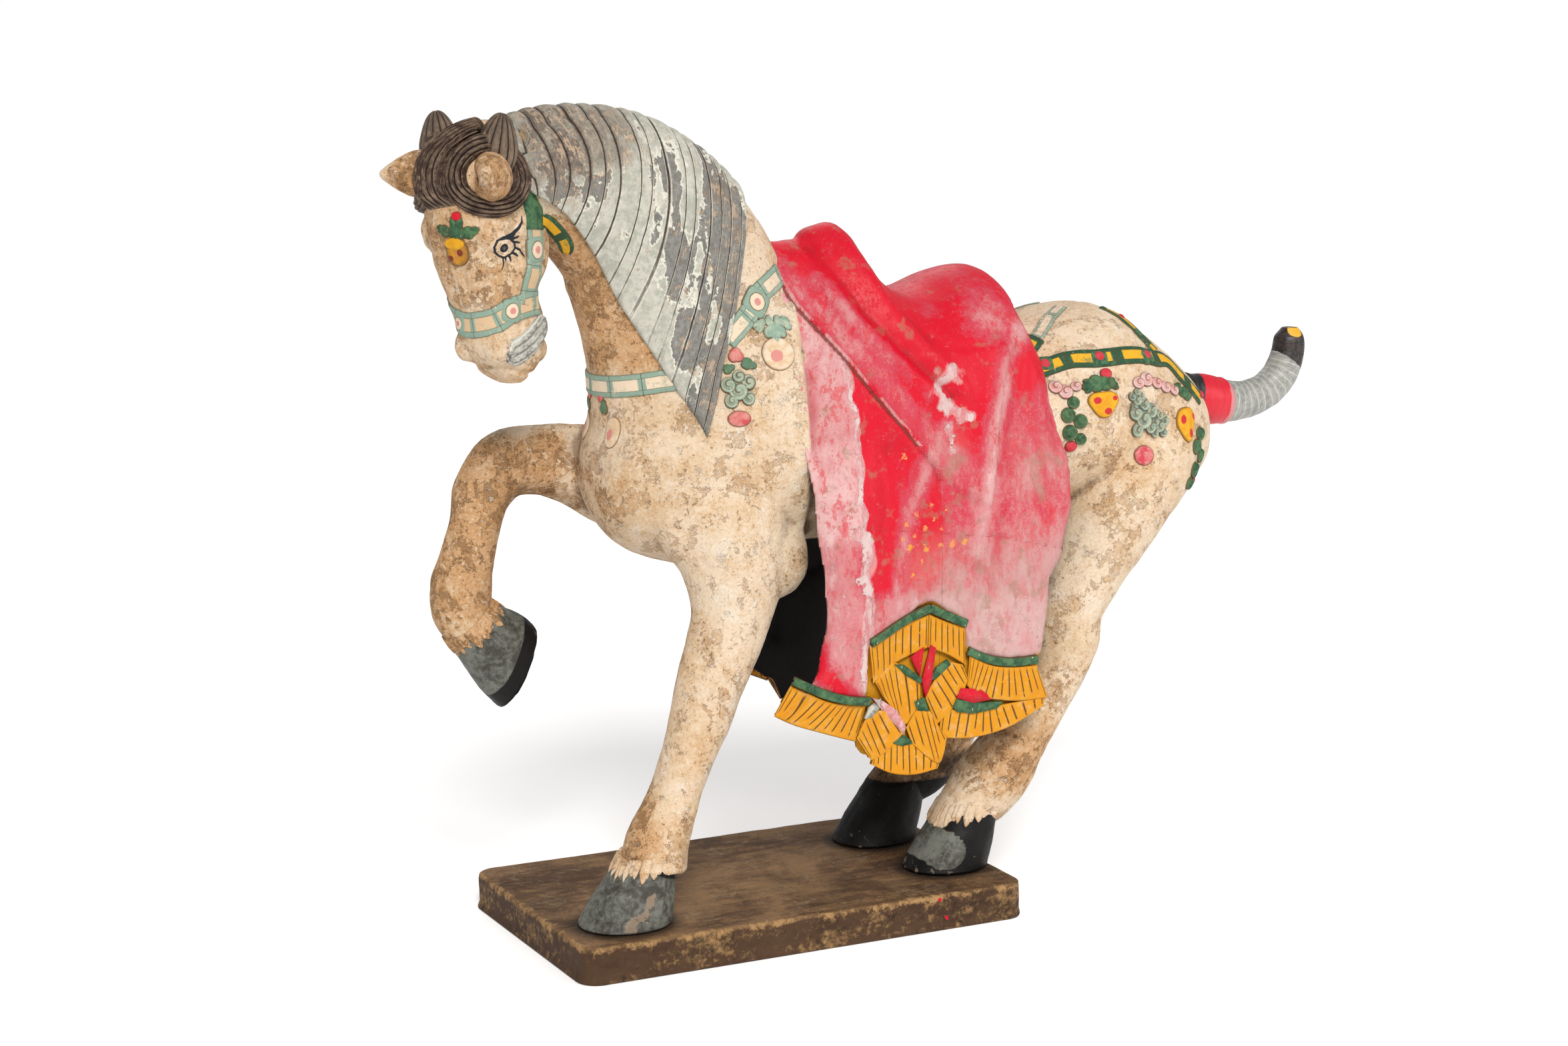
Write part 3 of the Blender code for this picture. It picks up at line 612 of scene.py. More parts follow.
class Value:
    """A number that varies over a surface, with the usual arithmetic."""

    def __init__(self, graph, socket):
        self.graph = graph
        self.socket = socket

    def _with(self, operation, first, second):
        made = self.graph.node("ShaderNodeMath", {"operation": operation}, {0: first, 1: second})
        return Value(self.graph, made.outputs[0])

    def __add__(self, other):
        return self._with("ADD", self, other)

    def __radd__(self, other):
        return self._with("ADD", other, self)

    def __sub__(self, other):
        return self._with("SUBTRACT", self, other)

    def __rsub__(self, other):
        return self._with("SUBTRACT", other, self)

    def __mul__(self, other):
        return self._with("MULTIPLY", self, other)

    def __rmul__(self, other):
        return self._with("MULTIPLY", other, self)

    def __truediv__(self, other):
        return self._with("DIVIDE", self, other)

    def __pow__(self, other):
        return self._with("POWER", self, other)

    def high(self, other):
        return self._with("MAXIMUM", self, other)

    def low(self, other):
        return self._with("MINIMUM", self, other)

    def part(self):
        """What is left of the number after its whole part."""
        return Value(
            self.graph, self.graph.node("ShaderNodeMath", {"operation": "FRACT"}, {0: self}).outputs[0])

    def bearing(self, other):
        """The share of a full turn that the point (other, self) stands at."""
        return self._with("ARCTAN2", self, other) * (0.5 / math.pi)

    def size(self):
        return Value(
            self.graph, self.graph.node("ShaderNodeMath", {"operation": "ABSOLUTE"}, {0: self}).outputs[0])

    def rise(self, low, high):
        """0 below low, 1 above high and a smooth rise between them."""
        made = self.graph.node(
            "ShaderNodeMapRange", {"interpolation_type": "SMOOTHSTEP"},
            {0: self, 1: low, 2: high, 3: 0.0, 4: 1.0})
        return Value(self.graph, made.outputs[0])


class Graph:
    """Adds nodes to one material and joins them."""

    def __init__(self, name, rough=0.75):
        self.material = bpy.data.materials.new(name)
        self.material.use_nodes = True
        self.tree = self.material.node_tree
        self.tree.nodes.clear()
        self.shader = self.node("ShaderNodeBsdfPrincipled", {},
            {"Roughness": rough, "Specular IOR Level": 0.25})
        output = self.node("ShaderNodeOutputMaterial")
        self.tree.links.new(self.shader.outputs[0], output.inputs[0])
        self.object = self.node("ShaderNodeTexCoord").outputs["Object"]

    def node(self, kind, settings=None, inputs=None):
        """One node: its settings are set first, then each socket is given a value or a link."""
        made = self.tree.nodes.new(kind)
        for key, value in (settings or {}).items():
            setattr(made, key, value)
        for key, value in (inputs or {}).items():
            socket = made.inputs[key]
            value = value.socket if isinstance(value, Value) else value
            if isinstance(value, bpy.types.NodeSocket):
                self.tree.links.new(value, socket)
            elif socket.type == "RGBA":
                socket.default_value = (*value[:3], 1.0)
            else:
                socket.default_value = value
        return made

    def stretched(self, factors, source=None):
        """Object coordinates, or another set, times a factor each way."""
        made = self.node("ShaderNodeVectorMath", {"operation": "MULTIPLY"},
            {0: source or self.object, 1: factors})
        return made.outputs[0]

    def noise(self, size, detail=3.0, rough=0.6, twist=0.0, at=None, unit=MM):
        """Cloudy noise from 0 to 1, its lumps about size millimetres across."""
        made = self.node("ShaderNodeTexNoise", {}, {
            "Vector": at or self.object, "Scale": 1 / (size * unit), "Detail": detail, "Roughness": rough,
            "Distortion": twist})
        return Value(self, made.outputs[0])

    def field(self, name):
        """A number that the mesh keeps at its points."""
        return Value(self, self.node("ShaderNodeAttribute", {"attribute_name": name}).outputs["Fac"])

    def map(self):
        """The piece's own map as two numbers and as a vector."""
        vector = self.node("ShaderNodeUVMap", {"uv_map": "UVMap"}).outputs[0]
        parts = self.node("ShaderNodeSeparateXYZ", {}, {0: vector})
        return Value(self, parts.outputs[0]), Value(self, parts.outputs[1]), vector

    def heights(self):
        """Object coordinates as three numbers in layout millimetres."""
        parts = self.node("ShaderNodeSeparateXYZ", {}, {0: self.object})
        x, y, z = (Value(self, socket) for socket in parts.outputs)
        return x * (1 / MM), y * (1 / MM), (z - FIGURE_BASE) * (1 / MM)

    def mix(self, share, first, second, kind="MIX"):
        """Two colours mixed by a share."""
        made = self.node("ShaderNodeMix", {"data_type": "RGBA", "blend_type": kind},
            {0: share, 6: first, 7: second})
        return made.outputs[2]

    def done(self, colour, height=None, depth=1.0, rough=None):
        """Feeds the shader its colour, its relief in millimetres and its roughness."""
        self.tree.links.new(colour, self.shader.inputs["Base Color"])
        if rough is not None:
            self.tree.links.new(rough.socket, self.shader.inputs["Roughness"])
        if height is not None:
            bump = self.node("ShaderNodeBump", {},
                {"Height": height, "Distance": depth * MM, "Strength": 1.0})
            self.tree.links.new(bump.outputs[0], self.shader.inputs["Normal"])
        return self.material


def slip_finish(name, looks):
    """Cream slip over clay: buff stains, crisp flaked patches, brown earth and painted shade in the hollows and
    on the underside of the raised foreleg, black on the belly and, as painted shade, on the far hind foot, and
    fine pitting.
    """
    g = Graph(name)
    tan, hollow, soot = g.field("tan"), g.field("hollow"), g.field("soot")
    broad, mid = g.noise(44, 5, 0.6), g.noise(15, 7, 0.68)
    small, grain = g.noise(4.6, 6, 0.74), g.noise(1.3, 3, 0.72)
    cloud = broad * 0.4 + mid * 0.33 + small * 0.27
    colour = g.mix((cloud + tan * 0.14).rise(0.43, 0.62), looks.slip, looks.buff)
    colour = g.mix((g.noise(27, 7, 0.66) * 0.6 + small * 0.4 - tan * 0.1).rise(0.52, 0.6) * 0.7, colour,
        looks.chalk)
    worn = (tan * 0.55 + (mid - 0.5) * 1.1 + (small - 0.5) * 0.9).rise(0.12, 0.62)
    colour = g.mix(worn, colour, looks.tan)
    value = g.noise(18, 9, 0.64) * 0.7 + small * 0.3 + tan * 0.035
    crust = value.rise(0.548, 0.560)
    heavy = g.field("tan").rise(-0.2, 0.9)
    patchy = 0.34 + heavy * 0.36
    colour = g.mix(crust * patchy, colour, g.mix(small.rise(0.42, 0.58), looks.ochre, looks.tan))
    colour = g.mix((value.rise(0.541, 0.550) - crust) * patchy * 0.9, colour, looks.soil_and_shade)
    sand = g.noise(1.9, 5, 0.75)
    colour = g.mix((sand * 0.7 + mid * 0.3).rise(0.50, 0.60) * 0.4, colour, looks.ochre)
    colour = g.mix((sand * 0.75 + small * 0.25).rise(0.46, 0.38) * 0.5, colour, looks.chalk)
    pits = (g.noise(1.0, 3, 0.7) * 0.7 + small * 0.3 + heavy * 0.02).rise(0.60, 0.66)
    colour = g.mix(pits * 0.6, colour, looks.soil_and_shade)
    bare = crust * (g.noise(7, 8, 0.72) * 0.6 + small * 0.4 + tan * 0.04).rise(0.535, 0.56)
    colour = g.mix(bare * patchy * 0.8, colour, looks.soil_and_shade)
    pale = (g.noise(9, 8, 0.7) * 0.65 + small * 0.35 - tan * 0.03).rise(0.57, 0.585)
    colour = g.mix(pale * 0.5, colour, looks.chalk)
    specks = (g.noise(2.2, 5, 0.78) * 0.6 + mid * 0.4 + tan * 0.02).rise(0.575, 0.62)
    colour = g.mix(specks * 0.6, colour, looks.soil_and_shade)
    colour = g.mix(grain.rise(0.36, 0.66) * 0.16, colour, looks.ochre)
    # Brown earth and painted shade: darker in the creases and on the shaded faces of the raised foreleg.
    dirt_and_shade = (hollow * 1.1 + (small - 0.5) * 0.7 + (grain - 0.5) * 0.3).rise(0.12, 0.75)
    colour = g.mix(dirt_and_shade * 0.75, colour, looks.soil_and_shade)
    # Black on the belly, and black as painted shade on the far hind foot.
    colour = g.mix((soot + (mid - 0.5) * 0.5 * soot + (small - 0.5) * 0.3 * soot).rise(0.35, 0.6), colour,
        looks.soot)
    colour = g.mix(g.field("ink").rise(0.35, 0.62), colour, looks.ink)
    height = (
        small * 0.5 + grain * 0.3 + sand * 0.35 - crust * 0.25 - pits * 0.3 + pale * 0.16 - specks * 0.2
        + mid * 0.3)
    return g.done(colour, height, 0.85, 0.6 + 0.3 * small)


def hair_finish(name, looks):
    """Grey-green paint on the combed mane: dark grooves, worn through to blue-grey and to clay."""
    g = Graph(name)
    u, _, vector = g.map()
    streak = g.noise(1.0, 3, 0.5, 0.3, g.stretched((0.7, 0.42, 1.0), vector), 1.0)
    mid, small = g.noise(13, 6, 0.7), g.noise(3.2, 5, 0.7)
    fine = g.noise(1.0, 3, 0.6, 0.0, g.stretched((10.0, 1.6, 1.0), vector), 1.0)
    wear, brown = g.field("wear"), g.field("brown")
    value = streak * 0.72 + mid * 0.13 + small * 0.15 + wear * 0.22
    dark = value.rise(0.600, 0.610)
    edge = value.rise(0.570, 0.585) - dark
    colour = g.mix((small * 0.5 + mid * 0.5).rise(0.4, 0.6), looks.mane, looks.mane_pale)
    colour = g.mix(edge * 0.8, colour, looks.mane_rim)
    colour = g.mix(dark * 0.94, colour, g.mix(small.rise(0.35, 0.65), looks.mane_dark, looks.mane_deep))
    wash = (brown * 0.62 + (mid - 0.5) * 1.2 + (fine - 0.5) * 0.6).rise(0.12, 0.6)
    colour = g.mix(wash * 0.75, colour,
        g.mix((small * 0.4 + fine * 0.6).rise(0.42, 0.6), looks.hair_grey, looks.umber_light))
    bare = g.noise(9, 7, 0.72) * 0.5 + fine * 0.25 + small * 0.25 + wear * 0.035 + brown * 0.035
    bare = bare.rise(0.565, 0.58)
    colour = g.mix(bare * 0.6, colour, looks.hair_tan)
    colour = g.mix((small * 0.6 + mid * 0.4).rise(0.55, 0.66) * 0.4, colour, looks.umber_light)
    away = (u.part() - 0.5).size() + (fine - 0.5) * 0.05
    groove = away.rise(0.445, 0.478)
    colour = g.mix((away.rise(0.39, 0.43) - groove) * (small * 0.5 + mid * 0.5).rise(0.42, 0.55) * 0.6,
        colour, looks.mane_rim)
    broken = (g.noise(1.0, 3, 0.6, 0.0, g.stretched((1.0, 0.7, 1.0), vector), 1.0)
        + g.field("deep") * 0.35).rise(0.5, 0.62)
    colour = g.mix(away.rise(0.33, 0.46) * brown.rise(0.15, 0.8) * 0.7, colour, looks.groove)
    colour = g.mix(groove * (broken * 0.55 + g.field("deep") * 0.4), colour, looks.groove)
    # Painted highlight: fine pale streaks down the locks.
    streak_highlight = (fine * 0.5 + g.noise(1.0, 2, 0.5, 0.0, g.stretched((9.0, 1.1, 1.0), vector), 1.0)
        * 0.5).rise(0.6, 0.68)
    colour = g.mix(streak_highlight * 0.35, colour, looks.mane_rim)
    height = small * 0.3 + fine * 0.3 - dark * 0.25 - groove * 0.5 - bare * 0.2
    return g.done(colour, height, 0.8, 0.55 + 0.3 * small)


def lock_finish(name, looks, main, light):
    """Dark brown hair in combed strands with rubbed ridges."""
    g = Graph(name)
    u, _, vector = g.map()
    small = g.noise(3.4, 5, 0.7)
    fine = g.noise(1.0, 3, 0.6, 0.0, g.stretched((11.0, 2.2, 1.0), vector), 1.0)
    rub = (g.noise(7, 5, 0.65) * 0.5 + fine * 0.5 - g.field("hollow") * 0.5).rise(0.46, 0.66)
    colour = g.mix(rub, main, light)
    colour = g.mix((small * 0.5 + fine * 0.5).rise(0.58, 0.68) * 0.6, colour, looks.buff)
    groove = (u.part() - 0.5).size().rise(0.39, 0.47)
    colour = g.mix(groove * 0.9, colour, looks.soot)
    # Painted shade: black in the hollows between and under the strands.
    colour = g.mix(g.field("hollow").rise(0.1, 0.5) * 0.8, colour, looks.soot)
    return g.done(colour, small * 0.2 + fine * 0.35 - groove * 0.5, 0.7, 0.5 + 0.3 * small)


def cloth_finish(name, looks):
    """Red paint on the saddle cloth, rubbed to pink and chalk, with lost patches and earth stains."""
    g = Graph(name)
    worn, lost, gold = g.field("worn"), g.field("lost"), g.field("gold")
    line, hollow, inner = g.field("line"), g.field("hollow"), g.field("inner")
    down = g.stretched((1.0, 1.0, 0.42))
    broad, mid = g.noise(26, 4, 0.6, 0.3, down), g.noise(9, 7, 0.7, 0.2, down)
    small, grain = g.noise(3.2, 6, 0.75), g.noise(0.9, 3, 0.7)
    rub = worn * 1.2 + (mid - 0.5) * 1.3 + (broad - 0.5) * 0.8 + (small - 0.5) * 1.1
    rub = rub + (grain - 0.5) * 0.4 - hollow * 0.3
    colour = g.mix(rub.rise(0.12, 0.62), looks.red, looks.rose)
    colour = g.mix(rub.rise(0.6, 1.15), colour, looks.blush)
    colour = g.mix((rub - 1.0).rise(0.1, 0.6) * 0.8, colour, looks.faded)
    deep = (g.noise(7, 7, 0.74, 0.0, down) * 0.6 + small * 0.4 - worn * 0.012).rise(0.505, 0.56)
    colour = g.mix(deep * (1 - lost) * worn.rise(0.1, 0.5) * 0.7, colour, looks.red)
    haze = (small * 0.6 + grain * 0.4 + worn * 0.07).rise(0.575, 0.64)
    colour = g.mix(haze * 0.4, colour, looks.blush)
    dust = g.field("dust")
    # Greyer pink where the field is high.
    colour = g.mix(dust * (mid * 0.8 + small * 0.4).rise(0.3, 0.8) * 0.75, colour, looks.dust)
    stain = (g.noise(11, 4, 0.6) * 0.75 + small * 0.25 + dust * 0.03).rise(0.555, 0.64)
    colour = g.mix(stain * 0.42, colour, looks.moss)
    flake = (lost + (g.noise(6, 7, 0.72) - 0.5) * 1.9 + (small - 0.5) * 0.6).rise(0.60, 0.63)
    colour = g.mix(((lost + (mid - 0.5) * 1.6).rise(0.35, 0.6) - flake) * 0.5, colour, looks.faded)
    colour = g.mix(flake * 0.9, colour, g.mix(mid.rise(0.4, 0.6), looks.shell, looks.blush))
    specks = (gold + (small - 0.5) * 2.6 + (grain - 0.5) * 0.8).rise(0.60, 0.68)
    colour = g.mix(specks * 0.85, colour, g.mix(mid.rise(0.48, 0.62), looks.peach_deep, looks.gold))
    colour = g.mix(g.field("foot"), colour, looks.amber)
    gap = g.field("gap") + (small - 0.5) * 1.2
    cut = gap.size().rise(0.95, 0.45)
    # Painted highlight: a pale line along one side of the cover's edge.
    colour = g.mix((gap - 1.4).size().rise(1.0, 0.5) * mid.rise(0.44, 0.56) * 0.5, colour, looks.faded)
    colour = g.mix((line + (small - 0.5) * 0.3).rise(0.35, 0.75) * 0.8, colour, looks.seam)
    colour = g.mix(cut * 0.8, colour, looks.seam)
    # Painted shade: deeper red in the folds.
    colour = g.mix(hollow.rise(0.12, 0.7) * 0.6, colour, looks.wine)
    colour = g.mix(inner, colour, looks.soot)
    height = flake * 0.35 - deep * 0.12 + small * 0.2 + grain * 0.1 - line * 0.3 - cut * 0.5
    return g.done(colour, height, 0.6, 0.36 + 0.26 * rub.rise(0.0, 0.9) + 0.12 * small)


def fringe_finish(name, looks):
    """Orange fringe with incised dark strokes down it, rubbed and soiled."""
    g = Graph(name)
    u, v, vector = g.map()
    sway = (g.noise(1.0, 2, 0.5, 0.0, g.stretched((0.9, 0.25, 1.0), vector), 1.0) - 0.5) * 0.22
    cell = (u + sway).part()
    pick = g.node("ShaderNodeTexWhiteNoise", {"noise_dimensions": "1D"}, {"W": (u + sway) - cell})
    chance = Value(g, pick.outputs["Value"])
    ends = v.rise(0.0, 0.22) * (v - 0.30 * chance).rise(0.74, 0.62)
    broken = g.noise(1.0, 3, 0.7, 0.0, g.stretched((1.0, 3.0, 1.0), vector), 1.0).rise(0.33, 0.42)
    stroke = (cell - 0.5).size().rise(0.1, 0.045) * ends * broken
    small, mid = g.noise(3.0, 5, 0.7), g.noise(9, 4, 0.6)
    colour = g.mix(mid.rise(0.35, 0.65), looks.orange, looks.amber)
    colour = g.mix((small * 0.6 + mid * 0.4).rise(0.52, 0.62) * 0.7, colour, looks.peach)
    colour = g.mix((small * 0.7 + mid * 0.3).rise(0.44, 0.36) * 0.5, colour, looks.slab_gold)
    colour = g.mix((g.noise(5, 5, 0.7, 0.6) * 0.7 + small * 0.3).rise(0.58, 0.68) * 0.6, colour, looks.olive)
    colour = g.mix(g.field("rim").rise(0.55, 1.0) * 0.8, colour, looks.soil_and_shade)
    colour = g.mix(stroke * 0.88, colour, looks.groove)
    return g.done(colour, small * 0.2 - stroke * 0.75, 0.55, 0.45 + 0.3 * small)


def enamel_finish(name, looks, main, second, spots=None, chip=0.0, contour=0.85, curl=0.0):
    """Painted low relief: two tones, chipped to the slip, a thin dark contour and perhaps a curl."""
    g = Graph(name)
    small, mid, grain = g.noise(2.0, 5, 0.7), g.noise(5, 4, 0.65, 0.5), g.noise(0.8, 2, 0.6)
    colour = g.mix(mid.rise(0.36, 0.64), main, second)
    if spots is not None:
        u, v, vector = g.map()
        for x, y, size in spots[1]:
            gone = ((u - x) * (u - x) + (v - y) * (v - y)) ** 0.5
            colour = g.mix((gone + (small - 0.5) * 0.08).rise(size, size * 0.8), colour, spots[0])
    if curl:
        u, v, vector = g.map()
        right, up = u - 0.5, v - 0.5
        gone = (right * right + up * up) ** 0.5
        turn = (gone * 2 * curl + up.bearing(right) + (small - 0.5) * 0.15).part()
        away = (turn - 0.5).size()
        colour = g.mix(away.rise(0.26, 0.08) * 0.8, colour, second)
        colour = g.mix(away.rise(0.33, 0.45) * gone.rise(0.03, 0.12) * 0.8, colour, looks.soil_and_shade)
    chips = (g.noise(3.6, 6, 0.75, 1.0) * 0.7 + small * 0.3 + chip).rise(0.60, 0.62)
    colour = g.mix(chips * 0.9, colour, looks.slip)
    colour = g.mix(g.field("rim").rise(contour, 1.0) * 0.75, colour, looks.soil_and_shade)
    # Brown earth and painted shade in the hollows of the relief.
    colour = g.mix(g.field("hollow").rise(0.04, 0.22) * 0.6, colour, looks.soil_and_shade)
    return g.done(colour, small * 0.3 + grain * 0.1 - chips * 0.3, 0.4, 0.5 + 0.3 * small)


def swirl_finish(name, looks):
    """Grey-blue combed swirls with pale crests and dark furrows."""
    g = Graph(name)
    u, v, vector = g.map()
    small, mid = g.noise(1.6, 5, 0.7), g.noise(6, 4, 0.65, 0.5)
    away = ((v * 4 + (mid - 0.5) * 0.7).part() - 0.5).size()
    colour = g.mix((mid * 0.5 + small * 0.5).rise(0.4, 0.6), looks.mane_dark, looks.mane_pale)
    colour = g.mix(away.rise(0.16, 0.05) * 0.8, colour, looks.mane_rim)
    colour = g.mix(away.rise(0.36, 0.46) * 0.8, colour, looks.mane_deep)
    colour = g.mix((small * 0.7 + mid * 0.3).rise(0.56, 0.62) * 0.6, colour, looks.hair)
    return g.done(colour, small * 0.4 - away * 0.6, 0.6, 0.5 + 0.3 * small)


def strap_finish(name, looks, edge, middle, accent, period, chip=0.0):
    """A painted strap: a coloured border and crossbars round plain plaques."""
    g = Graph(name)
    u, v, vector = g.map()
    small, mid = g.noise(1.8, 5, 0.7), g.noise(6, 4, 0.65, 0.5)
    across = (v - 0.5).size()
    bar = ((u / period).part() - 0.5).size()
    rim = (across + (small - 0.5) * 0.06).rise(0.23, 0.27).high((bar + (small - 0.5) * 0.03).rise(0.37, 0.40))
    colour = g.mix(rim, middle, edge)
    colour = g.mix(((mid * 0.6 + small * 0.4).rise(0.52, 0.6)) * 0.6, colour, accent)
    join = (bar.rise(0.487, 0.496)).high((across - 0.25).size().rise(0.018, 0.006) * 0.55)
    colour = g.mix(join * 0.8, colour, looks.soil_and_shade)
    chips = (g.noise(3.6, 6, 0.75, 1.0) * 0.7 + small * 0.3 + chip).rise(0.585, 0.605)
    colour = g.mix(chips * 0.85, colour, looks.slip)
    colour = g.mix(across.rise(0.44, 0.5) * 0.85, colour, looks.soil_and_shade)
    return g.done(colour, small * 0.3 - join * 0.7 - chips * 0.25 + rim * 0.3, 0.5, 0.55 + 0.25 * small)


def medal_finish(name, looks, ground, ring, heart):
    """A painted boss: a square ground, a pale ring and a coloured heart."""
    g = Graph(name)
    u, v, vector = g.map()
    small = g.noise(1.8, 5, 0.7)
    gone = ((u - 0.5) * (u - 0.5) + (v - 0.5) * (v - 0.5)) ** 0.5 + (small - 0.5) * 0.05
    colour = g.mix(gone.rise(0.34, 0.32), ground, looks.soil_and_shade)
    colour = g.mix(gone.rise(0.31, 0.29), colour, ring)
    colour = g.mix(gone.rise(0.15, 0.12), colour, heart)
    chips = (g.noise(3.2, 6, 0.75, 1.0) * 0.7 + small * 0.3).rise(0.60, 0.62)
    colour = g.mix(chips * 0.8, colour, looks.slip)
    colour = g.mix(g.field("rim").rise(0.86, 1.0) * 0.8, colour, looks.soil_and_shade)
    return g.done(colour, small * 0.25 + gone.rise(0.30, 0.26) * 0.4, 0.5, 0.55 + 0.25 * small)


def hoof_finish(name, looks):
    """Blue-grey hooves, almost black where the paint is thick, black as painted shade in the hollows and all
    over the far hind hoof, with chalky rubs.
    """
    g = Graph(name)
    mid, small = g.noise(12, 5, 0.66, 0.8), g.noise(3.2, 5, 0.7)
    rings = g.noise(3.4, 3, 0.6, 0.0, g.stretched((0.2, 0.2, 1.0)))
    dark = g.field("soot")
    colour = g.mix((mid * 0.6 + small * 0.4).rise(0.4, 0.6), looks.hoof, looks.hoof_light)
    colour = g.mix((dark + (mid - 0.5) * 0.8 + (small - 0.5) * 0.4).rise(0.42, 0.56), colour, looks.soot)
    scuff = (g.noise(7, 7, 0.72) * 0.7 + small * 0.3 + g.field("scuff") * 0.16).rise(0.60, 0.63)
    colour = g.mix(scuff * 0.7, colour, looks.umber_light)
    # Painted shade: black in the hollows.
    colour = g.mix(g.field("hollow").rise(0.1, 0.6) * 0.7, colour, looks.soot)
    return g.done(colour, small * 0.3 + rings * 0.3, 0.6, 0.42 + 0.35 * small)


def tail_finish(name, looks):
    """Tail: dark root, red binding with pale cords, ringed grey hair, and a dark tip with a yellow fleck."""
    g = Graph(name)
    v = g.map()[1]
    mid, small = g.noise(8, 5, 0.65, 0.8), g.noise(2.6, 5, 0.7)
    along = v + (small - 0.5) * 1.6
    colour = g.mix((mid * 0.5 + small * 0.5).rise(0.4, 0.6), looks.tail, looks.tail_pale)
    colour = g.mix((mid * 0.6 + small * 0.4).rise(0.54, 0.64) * 0.6, colour, looks.mane_dark)
    coil = (v * 0.2 + (mid - 0.5) * 0.5).part()
    ring = (coil - 0.5).size().rise(0.40, 0.48)
    colour = g.mix(ring * 0.25, colour, looks.mane_dark)
    colour = g.mix((coil - 0.5).size().rise(0.06, 0.02) * 0.6, colour, looks.mane_rim)
    colour = g.mix(along.rise(34.8, 33.8), colour, looks.blush)
    colour = g.mix((along + (mid - 0.5) * 6).rise(31.5, 30.5), colour, looks.red)
    colour = g.mix((mid * 0.6 + small * 0.4 - 0.004 * v).rise(0.42, 0.56) * along.rise(31, 28) * 0.35,
        colour, looks.wine)
    colour = g.mix(along.rise(11.8, 10.6), colour, looks.soot)
    tip = g.field("tip") + (mid - 0.5) * 0.5
    colour = g.mix(tip.rise(0.45, 0.55), colour, g.mix(small.rise(0.45, 0.6), looks.soot, looks.hair))
    colour = g.mix((g.field("fleck") + (small - 0.5) * 0.6).rise(0.4, 0.6), colour, looks.gold)
    g.shader.inputs["Specular IOR Level"].default_value = 0.55
    return g.done(colour, small * 0.2 - ring * 0.25, 0.6, 0.32 + 0.3 * small)


def plinth_finish(name, looks):
    """Brown clay slab: weathered top, golden top edges of rubbed clay and painted highlight, sides darker than
    the top in deep brown clay with black patches and painted shade, a painted shadow round the hooves, and two
    drips of red.
    """
    g = Graph(name)
    z = g.heights()[2]
    broad, mid = g.noise(60, 4, 0.6, 0.6), g.noise(16, 6, 0.7, 1.0)
    small, grain = g.noise(4, 6, 0.75, 0.5), g.noise(1.2, 3, 0.7)
    side = z.rise(-0.6, -3.0)
    along = g.noise(16, 6, 0.7, 0.0, g.stretched((0.35, 0.35, 1.0)))
    brushed = g.noise(9, 7, 0.72, 0.6, g.stretched((0.3, 1.3, 1.0)))
    colour = g.mix((broad * 0.5 + mid * 0.5).rise(0.4, 0.6), looks.slab, looks.slab_dark)
    colour = g.mix((mid * 0.55 + small * 0.45).rise(0.5, 0.62) * 0.6, colour, looks.slab_pale)
    colour = g.mix((broad * 0.3 + brushed * 0.45 + small * 0.25).rise(0.49, 0.58) * 0.6, colour,
        looks.slab_deep)
    colour = g.mix((brushed * 0.6 + grain * 0.4).rise(0.46, 0.38) * 0.5, colour, looks.slab_gold)
    # The sides: deep brown clay, made darker as painted shade.
    colour = g.mix(side * 0.85, colour, looks.slab_deep)
    golden = (along * 0.45 + small * 0.35 + mid * 0.2).rise(0.49, 0.62)
    colour = g.mix(side * golden * 0.8, colour, looks.slab_gold)
    colour = g.mix(side * (along * 0.5 + g.noise(5, 6, 0.75) * 0.5).rise(0.5, 0.62) * 0.7, colour, looks.soot)
    # Golden top edges: rubbed clay and a painted highlight.
    rubbed = (g.field("rim") * 0.8 + (mid - 0.5) * 1.6 + (small - 0.5) * 1.4).rise(0.62, 1.0)
    colour = g.mix(rubbed * 0.75, colour, looks.slab_gold)
    colour = g.mix((g.noise(2.2, 4, 0.7) * 0.7 + mid * 0.3).rise(0.60, 0.68) * 0.6, colour, looks.soot)
    colour = g.mix(g.field("shade") * 0.75, colour, looks.soot)
    colour = g.mix(g.field("drip").rise(0.4, 0.6), colour, looks.red)
    height = small * 0.7 + mid * 0.5 + grain * 0.35 + brushed * 0.5
    return g.done(colour, height, 1.0, 0.6 + 0.3 * small)


def material(name, looks, maker, *args, **kwargs):
    """A named finish, made once."""
    if name not in MADE:
        MADE[name] = maker(name, looks, *args, **kwargs)
    return MADE[name]


# The horse's clay.

def head_axes():
    """The way the face looks and the head's left, both level."""
    forward = Vector((-math.cos(HEAD_YAW), -math.sin(HEAD_YAW), 0))
    return forward, Vector((-forward.y, forward.x, 0))


def head_point(height, lateral, ahead):
    """A point of the layout, placed from the head's axis."""
    forward, left = head_axes()
    x, y = lookup([row[:2] for row in HEAD], height), lookup([(row[0], row[2]) for row in HEAD], height)
    return Vector((x, y, height)) + left * lateral + forward * ahead


def head_local(points):
    """Layout points as lateral, ahead and height of the head."""
    rows = np.array(sorted(HEAD))
    forward, left = (np.array(v) for v in head_axes())
    away = points.copy()
    away[:, 0] -= np.interp(points[:, 2], rows[:, 0], rows[:, 1])
    away[:, 1] -= np.interp(points[:, 2], rows[:, 0], rows[:, 2])
    return np.stack([away @ left, away @ forward, points[:, 2]], axis=1)


def egg(centre, radii, turn=None, segments=28):
    """A swelling with its own three radii."""
    bm = bmesh.new()
    bm.loops.layers.uv.new("UVMap")
    bmesh.ops.create_uvsphere(bm, u_segments=segments, v_segments=segments // 2, radius=1.0)
    bmesh.ops.scale(bm, vec=Vector(radii) * MM, verts=bm.verts)
    bmesh.ops.rotate(bm, cent=Vector(), matrix=turn or Matrix.Identity(3), verts=bm.verts)
    bmesh.ops.translate(bm, vec=figure(*centre), verts=bm.verts)
    return bm


